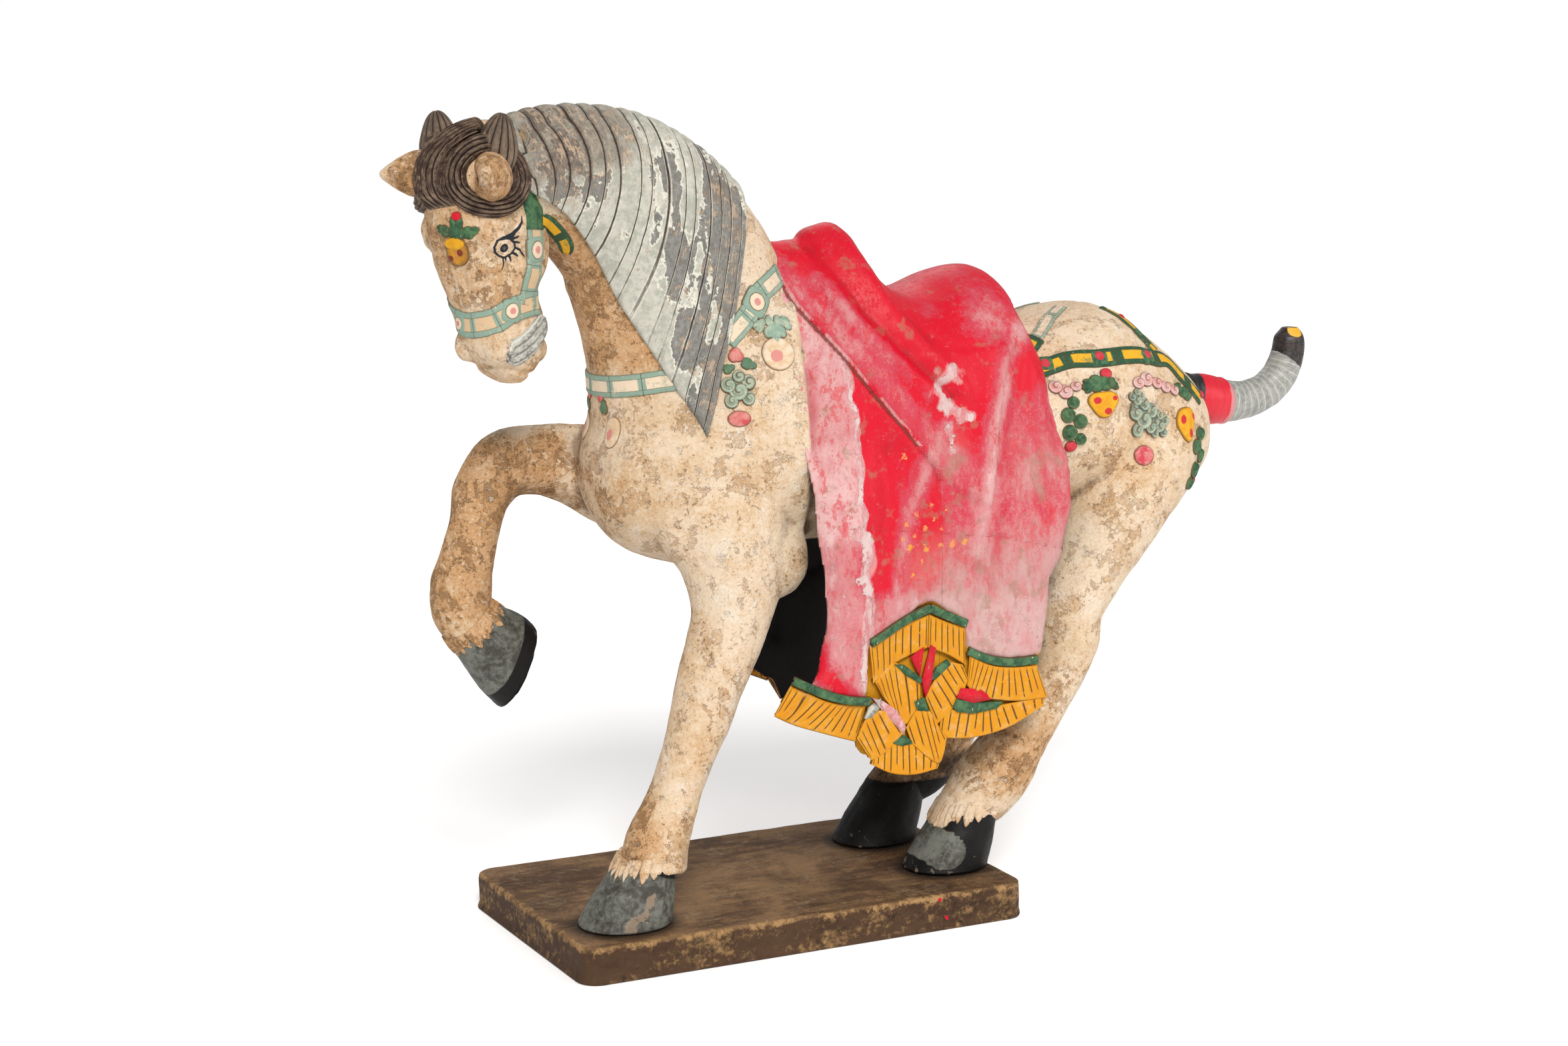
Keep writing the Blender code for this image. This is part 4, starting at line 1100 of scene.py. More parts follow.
def torso():
    rings = []
    for x, top, bottom, half in between(TORSO, 6):
        middle = bottom + 0.46 * (top - bottom)
        rings.append(ring_points(
            figure(x, 0, middle), Vector((0, 1, 0)), Vector((0, 0, 1)), half * MM, (top - middle) * MM,
            (middle - bottom) * MM, power=2.15))
    return skin(rings)


def far_limb(rows):
    """The far copy of a near limb: mirrored, its foot moved along x."""
    low = min(row[2] for row in rows)
    return [
        (row[0] + FAR_HIND_SHIFT
        * max(0.0, min(1.0, (FAR_HIND_SHIFT_TOP - row[2]) / (FAR_HIND_SHIFT_TOP - low))),
         -row[1], *row[2:])
        for row in rows
    ]


# Grooves in the body's clay on the near side: their lines in the layout, their width and their depth.
BODY_GROOVES = (
    (((-78, -30, 262), (-70, -42, 240), (-62, -48, 215), (-50, -50, 196)), 5.0, 0.9),
    (((-16, -62, 290), (-6, -64, 262), (-5, -62, 236), (-10, -58, 214), (-14, -52, 196)), 2.2, 0.7),
    (((182, -60, 236), (186, -60, 214), (184, -52, 196)), 6.0, 0.8),
    (((205, -50, 160), (203, -52, 140), (198, -50, 120)), 4.5, 0.7),
    (((186, -50, 112), (176, -48, 96), (164, -46, 78)), 3.5, 0.6),
    (((-52, -58, 118), (-58, -60, 96), (-66, -60, 74), (-72, -60, 60)), 4.0, 0.6),
)


# What the cloth hides of the body, as (x, z).
UNDER_CLOTH = (
    (22, 390), (22, 341), (14, 326), (9, 306), (10, 262), (13, 215), (18, 177), (18, 120), (150, 120),
    (158, 187),
    (163, 213), (163, 233), (154, 262), (146, 283), (142, 302), (146, 318), (140, 380),
)


def make_body(looks):
    """The body, neck and four legs in one skin, cut in two under the saddle cloth."""
    hind = NEAR_HIND_LEG + HIND_FOOT
    parts = [torso(), tube(NECK, power=2.1), tube(NEAR_FORELEG), tube(RAISED_FORELEG), tube(hind)]
    parts.append(egg((-2, -39, 193), (20, 15, 25)))
    parts.append(tube(far_limb(hind)))
    mesh = one_skin(parts, 1.72, 3)
    at = layout(points_of(mesh))
    height = lumps(at, 21, 1) * 0.5 + lumps(at, 8, 2) * 0.28 + lumps(at, 3.6, 3) * 0.13
    for line, width, depth in BODY_GROOVES:
        height -= depth * bell(from_line(at, line), width)
        mirrored = [(x, -y, z) for x, y, z in line]
        if line[0][0] > 100:
            height -= depth * bell(from_line(at, mirrored), width)
    slid = at[:, 0] - np.where(
        at[:, 1] > 0, FAR_FLAP_SHIFT * np.clip((FLAP_FREE - at[:, 2]) / FAR_FLAP_FADE, 0, 1), 0)
    height -= 5.0 * step(from_area(np.stack([slid, at[:, 2]], axis=1), UNDER_CLOTH), 3.0, -1.5)
    push(mesh, height)
    hollow = hollows(mesh)
    x, y, z = at.T
    tan = 0.95 * step(z, 288, 304) * step(x, -52, -66) * step(y, 40, 20)
    tan = np.maximum(tan, 0.9 * step(x, -88, -104) * step(z, 262, 250) * step(z, 146, 160))
    tan = np.maximum(tan, 0.7 * step(z, 252, 236) * step(x, -74, -90))
    tan += 0.35 * bell(z - 60, 22) * (x > 80) + 0.3 * bell(z - 55, 18) * (x < 0)
    tan += 0.32 * bell(z - 118, 20) * (x > 120) + 0.25 * bell(np.hypot(x + 30, z - 235), 28)
    tan -= 0.9 * bell(from_line(at, ((-140, -33, 391), (-127, -35, 384), (-114, -37, 376))), 5) * (y < 0)
    tan += 0.4 * bell(np.hypot(x - 215, z - 235), 34) - 0.45 * bell(np.hypot(x - 205, z - 268), 20)
    tan -= 0.4 * bell(np.hypot(x + 75, z - 205), 26) + 0.35 * bell(from_line(at, BODY_GROOVES[1][0]), 12)
    # Painted shade: the far hind leg, behind the near one and under the cloth, is made tan below the hock.
    tan = np.maximum(tan, 0.9 * step(y, 6, 14) * step(z, 112, 96) * (x > 60))
    tan += 0.8 * bell(np.hypot(x - 148, z - 66), 24) * (y < 0) + 0.45 * bell(
        from_line(at, ((-40, -55, 135), (-58, -58, 92))), 9)
    # Black on the far hind foot as painted shade, and black on the belly between the legs under the cloth.
    soot = step(y, 6, 14) * step(z, 40, 33) * (x > 60)
    soot += step(y, -34, -20) * step(y, 42, 30) * step(z, 198, 186) * step(z, 96, 110) * (x > -20) * (x < 120)
    soot = np.maximum(soot, 0.9 * (x > 60) * step(z, 38, 30) * step(y, -8, -2))
    soot = np.maximum(soot, 0.5 * (x > 60) * step(z, 66, 48) * step(y, -8, 2))
    normals = normals_of(mesh)
    # Painted shade: the underside and the rear-facing faces of the raised foreleg, and a spot where it meets
    # the chest, are darkened like the creases.
    raised = step(x, -74, -90) * step(z, 140, 156) * step(z, 262, 254)
    shade = 0.42 * step(normals[:, 2], -0.1, -0.7) * (z > 205)
    shade = shade + 0.3 * step(normals[:, 0], 0.3, 0.9) * (z < 214)
    hollow = hollow + raised * (shade + 0.4 * bell(np.hypot(x + 96, z - 250), 12))
    # Painted shade along the throat, added to the same field.
    throat_groove = bell(from_line(at, ((-112, -34, 360), (-92, -34, 322), (-80, -34, 300))), 8)
    hollow = hollow + 0.3 * throat_groove * (y < 0)
    give(mesh, "hollow", hollow)
    give(mesh, "tan", np.clip(tan, -0.5, 1))
    give(mesh, "soot", np.clip(soot, 0, 1))
    give(mesh, "ink", np.zeros(len(at)))
    finish = material("slip", looks, slip_finish)
    for name, keeps_front in (("body_fore", True), ("body_rear", False)):
        bm = bmesh.new()
        bm.from_mesh(mesh)
        bmesh.ops.bisect_plane(
            bm, geom=bm.verts[:] + bm.edges[:] + bm.faces[:], plane_co=figure(82, 0, 0),
            plane_no=Vector((1, 0, 0)),
            clear_outer=keeps_front, clear_inner=not keeps_front)
        rim = [edge for edge in bm.edges if edge.is_boundary]
        bmesh.ops.holes_fill(bm, edges=rim)
        for edge in rim:
            edge.smooth = False
        bmesh.ops.recalc_face_normals(bm, faces=bm.faces)
        piece(bm, name, finish, stands_for="horse")
    bpy.data.meshes.remove(mesh)


# The painted eye: strokes as lines of (ahead, height, half-width), in the head's own layout.
EYE_STROKES = (
    ((10.8, 373.3, 0.5), (14.4, 371.6, 0.55), (15.2, 368.3, 0.5), (13.9, 365.6, 0.5), (12.0, 363.7, 0.45),
     (9.4, 362.8, 0.45), (5.9, 364.4, 0.5), (3.2, 367.2, 0.55), (3.4, 370.0, 0.7), (6.0, 372.6, 0.9),
     (10.8, 373.0, 0.7)),
    ((12.5, 372.4, 0.7), (8.5, 373.2, 1.0), (5.2, 373.6, 1.2), (3.0, 374.4, 1.1), (-0.6, 376.9, 0.9),
     (-3.2, 379.9, 0.6), (-4.0, 383.0, 0.3)),
    ((4.0, 372.2, 0.7), (0.8, 372.6, 0.5), (-1.0, 373.2, 0.25)),
    ((3.6, 370.4, 0.7), (0.6, 370.0, 0.5), (-0.8, 369.8, 0.2)),
    ((3.4, 367.6, 0.6), (-0.6, 366.0, 0.6), (-3.4, 363.6, 0.7), (-4.4, 362.2, 0.3)),
    ((5.2, 365.0, 0.6), (2.8, 364.2, 0.7), (0.8, 363.0, 0.4)),
    ((7.2, 363.9, 0.6), (6.0, 362.4, 0.6), (5.2, 360.6, 0.35)),
    ((8.8, 363.0, 0.5), (8.3, 361.2, 0.35)),
    ((10.2, 363.0, 0.35), (9.4, 360.2, 0.35), (9.6, 358.4, 0.3), (10.6, 356.4, 0.15)),
)
EYE_PUPIL = (9.8, 367.8, 2.3, 1.2)
EYE_CENTRE = (6.0, 369.0)


def eye_ink(local):
    """How much ink the painted eye has at points of the head's layout, on both sides."""
    flat = local[:, 1:]
    ink = np.zeros(len(local))
    for stroke in EYE_STROKES:
        for (a0, z0, w0), (a1, z1, w1) in zip(stroke, stroke[1:]):
            start, way = np.array((a0, z0)), np.array((a1 - a0, z1 - z0))
            t = np.clip(((flat - start) @ way) / (way @ way), 0, 1)
            away = np.linalg.norm(flat - start - t[:, None] * way, axis=1)
            ink = np.maximum(ink, step(away - (w0 + (w1 - w0) * t), 0.28, -0.22))
    ahead, height, outer, inner = EYE_PUPIL
    away = np.linalg.norm(flat - (ahead, height), axis=1)
    ink = np.maximum(
        ink, step(away, outer + 0.2, outer - 0.2) * (1 - 0.45 * step(away, inner + 0.3, inner - 0.3)))
    return ink * (np.abs(local[:, 0]) > 12)


def make_head(looks):
    """The skull with brows, cheeks, nostrils, lips and chin, and the painted eyes."""
    forward, left = head_axes()
    turn = Matrix((left, forward, Vector((0, 0, 1)))).transposed()
    rings = []
    for z, x, y, face, jaw, half in between(HEAD, 6):
        rings.append(ring_points(
            figure(x, y, z), left, forward, half * MM, face * MM, jaw * MM, power=2.2, sides=64))
    parts = [skin(rings)]
    for side in (1, -1):
        parts.append(egg(head_point(374, side * 18, 10), (9, 11, 12), turn))
        parts.append(egg(head_point(316, side * 10, 11), (7.5, 9, 10), turn))
    parts.append(egg(head_point(311, 0, -24), (9, 8, 8), turn))
    mesh = one_skin(parts, 1.1, 3)
    bm = bmesh.new()
    bm.from_mesh(mesh)
    local = head_local(layout([v.co for v in bm.verts]))
    close = (np.abs(local[:, 1] - EYE_CENTRE[0]) < 13) & (np.abs(local[:, 2] - EYE_CENTRE[1]) < 15)
    close &= np.abs(local[:, 0]) > 14
    edges = [edge for edge in bm.edges if close[edge.verts[0].index] and close[edge.verts[1].index]]
    bmesh.ops.subdivide_edges(bm, edges=edges, cuts=3, use_grid_fill=True)
    bm.to_mesh(mesh)
    bm.free()
    at = layout(points_of(mesh))
    local = head_local(at)
    side, ahead, z = local.T
    height = lumps(at, 12, 4) * 0.3 + lumps(at, 5, 5) * 0.16
    eye = np.hypot((ahead - 7) / 1.25, z - 368)
    height += (0.9 * bell(eye, 5.0) - 0.9 * bell(eye - 8.5, 2.4)) * (np.abs(side) > 12)
    mouth = np.abs(z - (303.5 + 0.25 * (ahead - 8)))
    height -= 1.3 * bell(mouth, 1.4) * step(ahead, -16, -8) * step(ahead, 24, 14)
    nostril = np.hypot((np.abs(side) - 11) / 1.0, (z - 318) / 1.2) + 20 * (ahead < 6)
    height -= 2.0 * bell(nostril, 2.6)
    height += 0.8 * bell(np.hypot(ahead + 18, z - 368) - 17, 3.5) * (np.abs(side) > 10)
    height -= 0.8 * bell(np.abs(side) - 5, 2.2) * step(ahead, 10, 16) * step(z, 330, 345) * step(z, 378, 366)
    push(mesh, height)
    give(mesh, "hollow", hollows(mesh))
    tan = 0.42 + 0.3 * bell(np.hypot(ahead - 22, z - 372), 12) + 0.25 * bell(z - 350, 12) - 0.6 * bell(
        eye, 11)
    tan -= 0.5 * bell(z - 312, 8) * step(ahead, 2, 10)
    give(mesh, "tan", np.clip(tan, -0.3, 1))
    give(mesh, "soot", np.zeros(len(at)))
    give(mesh, "ink", eye_ink(local))
    settled(mesh, "head", material("slip", looks, slip_finish), stands_for="horse")


def make_ears(looks):
    """Two ears at the sides of the forehead, pricked forwards, each with a scooped front."""
    parts = []
    stations = ((0, 0.9), (0.12, 1.0), (0.3, 1.02), (0.5, 0.9), (0.68, 0.7), (0.84, 0.44), (0.95, 0.24),
        (1, 0.1))
    for side in (1, -1):
        root = head_point(403, side * 17, 5)
        tip = head_point(404, side * 35.4, 33.6)
        rows = [tuple(root.lerp(tip, t)) + (13 * share * 0.8, 13 * share) for t, share in stations]
        parts.append(tube(rows, across=Vector((0, 0, 1)), steps=5, sides=48))
    mesh = one_skin(parts, 0.9, 2)
    at = layout(points_of(mesh))
    local = head_local(at)
    side, ahead, z = local.T
    way = np.array((0.54, 0.84))
    along = (np.abs(side) - 17) * way[0] + (ahead - 5) * way[1]
    across = -(np.abs(side) - 17) * way[1] + (ahead - 5) * way[0]
    scoop = bell(np.hypot((along - 17) / 11.0, (z - 402.5) / 6.5), 1.0) * step(across, -1, 3)
    height = -4.6 * scoop + lumps(at, 4, 7) * 0.3
    height = height + 0.9 * bell(np.hypot(along - 13, z - 398) - 4.0, 1.6) * (across > 1)
    push(mesh, height)
    # Painted shade: darker inside the scoop of each ear.
    give(mesh, "hollow", hollows(mesh) + 0.9 * scoop * bell(np.hypot(along - 14, z - 399), 6))
    give(mesh, "tan", 0.9 - 0.7 * step(along, 24, 33) + 0.2 * scoop)
    give(mesh, "soot", np.zeros(len(at)))
    give(mesh, "ink", np.zeros(len(at)))
    settled(mesh, "ears", material("slip", looks, slip_finish), stands_for="horse")


def make_forelock(looks):
    """Dark strands that part on the forehead, curl round each ear and run up to the tufts."""
    skull = surface("head")
    forward, left = head_axes()
    parts = []
    strands = 5

    def curl(side):
        def place(u, v):
            turn = math.radians(70 + 360 * v)
            share = 0.47 + 0.53 * u
            bearing = math.radians(60) + math.radians(57) * share * math.cos(turn)
            height = 404.0 + 21.5 * share * math.sin(turn)
            way = forward * math.cos(bearing) + left * side * math.sin(bearing)
            hit, normal = skull.toward(figure(*head_point(height, 0, 0)) + way * 0.2, -way)
            edge = min(1.0, 6 * min(u, 1 - u))
            rise = 0.8 + 2.4 * math.sin(math.pi * u) + 1.7 * abs(math.sin(math.pi * u * strands)) ** 0.6
            return hit + normal.normalized() * (rise * edge - 0.6 * (1 - edge)) * MM
        return sheet(48, 110, place, 3.0, lambda u, v: (u * strands, v * 14), lambda at: skull.near(at)[1])

    def sweep(u, v):
        turn = math.radians(86 + 139 * v)
        bearing = math.radians(60) + math.radians(57) * (0.98 + 1.02 * u) * math.cos(turn)
        height = 404.0 + (21.5 + 4.9 * u) * math.sin(turn)
        way = forward * math.cos(bearing) + left * math.sin(bearing)
        hit, normal = skull.toward(figure(*head_point(height, 0, 0)) + way * 0.2, -way)
        edge = min(1.0, 7 * min(u, 1 - u), 9 * (1 - v), 9 * v)
        rise = 3.0 + 1.9 * abs(math.sin(math.pi * u * 6)) ** 0.6 + 0.8 * math.sin(math.pi * v)
        return hit + normal.normalized() * (rise * edge - 0.6 * (1 - edge)) * MM

    parts += [curl(1), curl(-1)]
    parts.append(sheet(72, 60, sweep, 3.0, lambda u, v: (u * 6, v * 8), lambda at: skull.near(at)[1]))
    bm = merged(parts)
    finish = material("hair_dark", looks, lock_finish, looks.hair, looks.hair_light)
    made = piece(bm, "forelock", finish, stands_for="horse")
    give(made.data, "hollow", hollows(made.data, 1, 3))


def make_tufts(looks):
    """Two upright horns of hair above the ears, combed into ridges."""
    parts = []
    stations = ((-0.35, 0.7), (0, 1), (0.3, 1.02), (0.6, 0.8), (0.82, 0.56), (0.95, 0.32), (1, 0.12))
    for side in (1, -1):
        root = head_point(412, side * 18, 5)
        tip = head_point(434.9, side * 23, 6)
        rows = [tuple(root + (tip - root) * t) + (12 * share * 0.66, 12 * share) for t, share in stations]
        bm = tube(rows, across=head_axes()[1], steps=6, sides=56)
        layer = bm.loops.layers.uv.active
        for face in bm.faces:
            for loop in face.loops:
                loop[layer].uv = (loop[layer].uv[0] * 14, loop[layer].uv[1] / 6)
        centre = {}
        for vert in bm.verts:
            around = vert.link_loops[0][layer].uv[0]
            centre[vert] = 0.55 * abs(math.sin(math.pi * around)) ** 0.6
        for vert, out in centre.items():
            vert.co += vert.normal * out * MM
        parts.append(bm)
    bm = merged(parts)
    finish = material("hair_tuft", looks, lock_finish, looks.hair_grey, looks.hair_light)
    made = piece(bm, "hair_tufts", finish, stands_for="horse")
    give(made.data, "hollow", hollows(made.data, 1, 3))


CREST_TURN = 0.13
CREST_REACH = 15.0
MANE_CELLS = 10


def neck_middle(x):
    """The y of the neck's middle at x."""
    rows = np.array(NECK)[::-1]
    return float(np.interp(x, rows[:, 0], rows[:, 1]))


def lock_number(u, v, locks):
    """Which lock a share across and down belongs to, with uneven widths and a slight sway."""
    return locks * u + 0.2 * math.sin(2.3 * locks * u + 1.0) * math.sin(math.pi * u) + 0.15 * math.sin(
        5 * v + 3 * u)


def make_mane(looks, settings):
    """The combed fall of the mane on each side, from over the crest to a pointed tip."""
    below = surface("body_fore", "head")
    locks = settings.mane_locks
    finish = material("hair_mane", looks, hair_finish)
    columns, rows = locks * MANE_CELLS, 90
    coarse = MANE_CELLS // 2
    for side, name in ((NEAR, "mane_near"), (FAR, "mane_far")):
        held = {}
        for i in range(0, columns + 1, coarse):
            crest, foot = share_of(MANE_CREST, i / columns), share_of(MANE_EDGE, i / columns)
            back = float(np.interp(i / columns, (0, 0.06, 0.2, 0.6, 1), (-4, 0, 7, 6, 2.5)))
            middle = neck_middle(crest[0])
            shoulder = below.toward(figure(crest[0], middle + side * CREST_REACH, 500), Vector((0, 0, -1)))[0]
            top = layout([shoulder])[0][2]
            for k in range(rows + 1):
                v = k / rows
                if v < CREST_TURN:
                    y = middle + side * ((CREST_REACH + 2) * v / CREST_TURN - 2)
                    held[i, k] = below.toward(figure(crest[0], y, 500), Vector((0, 0, -1)))
                    continue
                t = (v - CREST_TURN) / (1 - CREST_TURN)
                swept = back * math.sin(math.pi * t ** 0.8) * (1 - 0.2 * t)
                x, z = crest[0] + (foot[0] - crest[0]) * t + swept, top + (foot[1] - top) * t ** 1.03
                held[i, k] = below.aside(x, z, side)
        smooth = {}
        for i, k in held:
            around = [(i - coarse, k), (i + coarse, k), (i, k - 1), (i, k + 1)]
            near = [held[key] for key in around if key in held]
            point = sum((p for p, n in near), held[i, k][0] * 2) / (len(near) + 2)
            normal = sum((n.normalized() for p, n in near), held[i, k][1].normalized() * 2).normalized()
            smooth[i, k] = (point, normal) if 0 < k < rows else (held[i, k][0], normal)

        def place(u, v):
            i, k = u * columns, round(v * rows)
            low = min(int(i // coarse) * coarse, columns - coarse)
            (p0, n0), (p1, n1) = smooth[low, k], smooth[low + coarse, k]
            part = (i - low) / coarse
            point, normal = p0.lerp(p1, part), n0.lerp(n1, part).normalized()
            rim = max(0.0, min(u * locks / 0.4, (1 - u) * locks / 0.4, (1 - v) / 0.014, 1.0))
            ridge = abs(math.sin(math.pi * lock_number(u, v, locks))) ** 0.5 - 0.6
            fade = 1 - 0.55 * step(v, 0.5, 0.85) * step(u, 0.75, 0.45)
            rise = settings.mane_rise / MM + settings.groove_depth / MM * ridge * float(fade)
            return point + normal * (rise * eased(rim) - 0.9 * (1 - rim)) * MM

        def spot(u, v):
            return (lock_number(u, v, locks), v * 9)

        bm = sheet(columns, rows, place, 2.2, spot, lambda at: Vector((0, side, 0.8)))
        made = piece(bm, name, finish, stands_for="horse")
        at = layout(points_of(made.data))
        x, y, z = at.T
        flat = at[:, [0, 2]]
        rear = from_line(flat, ((-26, 392), (-24, 368), (-30, 335), (-42, 300), (-50, 270)))
        middle_run = from_line(flat, ((-62, 405), (-56, 375), (-56, 340), (-60, 312)))
        front = from_line(flat, ((-128, 428), (-124, 405), (-112, 385)))
        wear = 1.0 * bell(rear, 15) + 0.75 * bell(middle_run, 8) + 0.7 * bell(front, 18)
        wear -= 0.5 * bell(from_line(flat, ((-104, 375), (-88, 345), (-70, 305), (-58, 280))), 12)
        brown = 1.1 * bell(np.hypot(x + 128, z - 420), 30) + 0.65 * bell(np.hypot(x + 92, z - 424), 22)
        brown += 0.5 * bell(np.hypot(x + 30, z - 400), 12) + 0.35 * bell(rear, 7)
        give(made.data, "wear", wear)
        give(made.data, "brown", brown)
        give(made.data, "deep", 1.0 - 0.9 * step(z, 372, 330) * step(x, -50, -66))
        give(made.data, "hollow", hollows(made.data, 1, 3))


# Saddle cloth.

COVER_EDGE = ((4, 348), (12, 328), (22, 314), (33, 298), (45, 282), (60, 263), (80, 240), (84, 232))
COVER_REAR = ((142, 305), (134, 296), (129, 287), (124, 273), (122, 255), (120, 237), (116, 215))
CLOTH_SEAM = ((13, 208), (17, 212), (35, 209), (79, 203), (120, 198), (168, 186))
STRIP_EDGE = ((324, 24), (306, 31), (279, 34), (250, 35), (222, 34), (189, 35), (152, 37))
# Folds of the cloth on one side: their lines as (x, z), width and height in millimetres.
CLOTH_FOLDS = (
    (((24, 352), (40, 322), (62, 298), (84, 276)), 5.5, 2.0),
    (((33, 356), (50, 322), (70, 300), (92, 278)), 4.5, -1.8),
    (((50, 364), (60, 334), (78, 306), (100, 280)), 5.5, 1.9),
    (((62, 356), (70, 330), (86, 308)), 4.5, -1.2),
    (((128, 300), (118, 270), (112, 240), (106, 205), (100, 170)), 6.5, 1.5),
    (((142, 296), (132, 270), (127, 240), (122, 205), (116, 170)), 5.0, -1.4),
    (((62, 262), (74, 236), (80, 215), (78, 190), (72, 172)), 7.0, 1.4),
    (((52, 250), (52, 220), (48, 190), (44, 160)), 6.5, -1.5),
    (((28, 300), (24, 250), (24, 200), (30, 150)), 8.0, 0.9),
)


# Orange flecks on the near flap and its fellow: x, z, size.
GOLD_FLECKS = (
    (62, 246, 2.6), (64, 209, 2.4), (70, 214, 2.2), (74, 206, 2.0), (79, 211, 1.8), (68, 202, 1.6),
    (84, 205, 1.8),
    (66, 196, 2.6), (75, 195, 2.6), (83, 196, 2.4), (91, 196, 2.6), (98, 197, 2.2), (72, 188, 1.8),
    (67, 181, 2.0),
    (78, 219, 1.5), (87, 215, 1.4), (61, 201, 1.4),
)


# Where the cloth's paint is rubbed, along lines of (x, z) and at spots of x and z: how much and how far.
RUBBED_FOLDS = (
    (((146, 310), (132, 292), (120, 262), (114, 225), (106, 190)), 1.1, 9),
    (((88, 262), (76, 240), (66, 214), (60, 190), (54, 160)), 0.9, 7.0),
    (((10, 350), (26, 322), (44, 300), (64, 276), (84, 252)), 0.8, 9),
    (((28, 338), (48, 306), (76, 280)), 0.72, 7),
)
RUBBED_SPOTS = ((128, 316, 0.85, 17), (92, 322, 0.6, 9))
# Where its paint is lost, along lines of (x, z): how much, how far, and whether the edge is torn.
LOST_PAINT = (
    (((94, 290), (88, 288), (84, 282)), 1.0, 5.2, True),
    (((85, 282), (87, 273), (94, 269), (103, 266)), 1.0, 4.4, True),
    (((90, 262), (92, 248)), 0.62, 4.5, False),
    (((30, 208), (36, 204), (38, 192), (33, 182)), 0.9, 5, False),
    (((36, 178), (38, 165), (36, 150), (34, 132), (36, 118)), 0.8, 4.6, False),
    (((14, 205), (20, 175), (16, 150)), 0.45, 4, False),
)


def cloth_fold(u, v):
    """How far the hanging cloth swells outwards at a share u of its length and v of its drop."""
    deep = min(1.0, v / 0.35)
    rolls = 4.0 * math.exp(-((u - 0.16) / 0.11) ** 2) - 2.2 * math.exp(-((u - 0.36) / 0.08) ** 2)
    return deep * (rolls + 3.0 * math.exp(-((u - 0.78) / 0.16) ** 2))


def far_slide(x, z):
    """How much further back the far flap hangs at (x, z)."""
    front, rear = lookup(FLAP_FRONT, z), lookup(FLAP_REAR, z)
    share = min(max((x - front) / (rear - front), 0.0), 1.0)
    return FAR_FLAP_SHIFT * min(1.0, max(0.0, (FLAP_FREE - z) / FAR_FLAP_FADE)) * (1 - share)


def flap_reach(x, z, seated):
    """How far out a flap's face lies at (x, z)."""
    front, rear = lookup(FLAP_FRONT, z), lookup(FLAP_REAR, z)
    u = (x - front) / (rear - front)
    v = (FLAP_TOP - z) / (FLAP_TOP - lookup(FLAP_FOOT, x))
    free = eased(min(1.0, max(0.0, (FLAP_LEAVES - z) / (FLAP_LEAVES - FLAP_FREE))))
    reach = seated + (lookup(FLAP_REACH, z) - seated) * free + cloth_fold(u, v) * free
    edge = min(u, 1 - u) * (rear - front)
    return reach - 4.5 * free * max(0.0, 1 - max(edge, 0) / 9.0) ** 2


def saddle():
    rings = []
    for x, top, half, power in between(SADDLE, 8):
        rings.append(ring_points(
            figure(x, 0, SADDLE_FOOT), Vector((0, 1, 0)), Vector((0, 0, 1)), half * MM,
            (top - SADDLE_FOOT) * MM,
            (SADDLE_FOOT - SADDLE_UNDERSIDE) * MM, power=power, sides=72))
    return skin(rings)


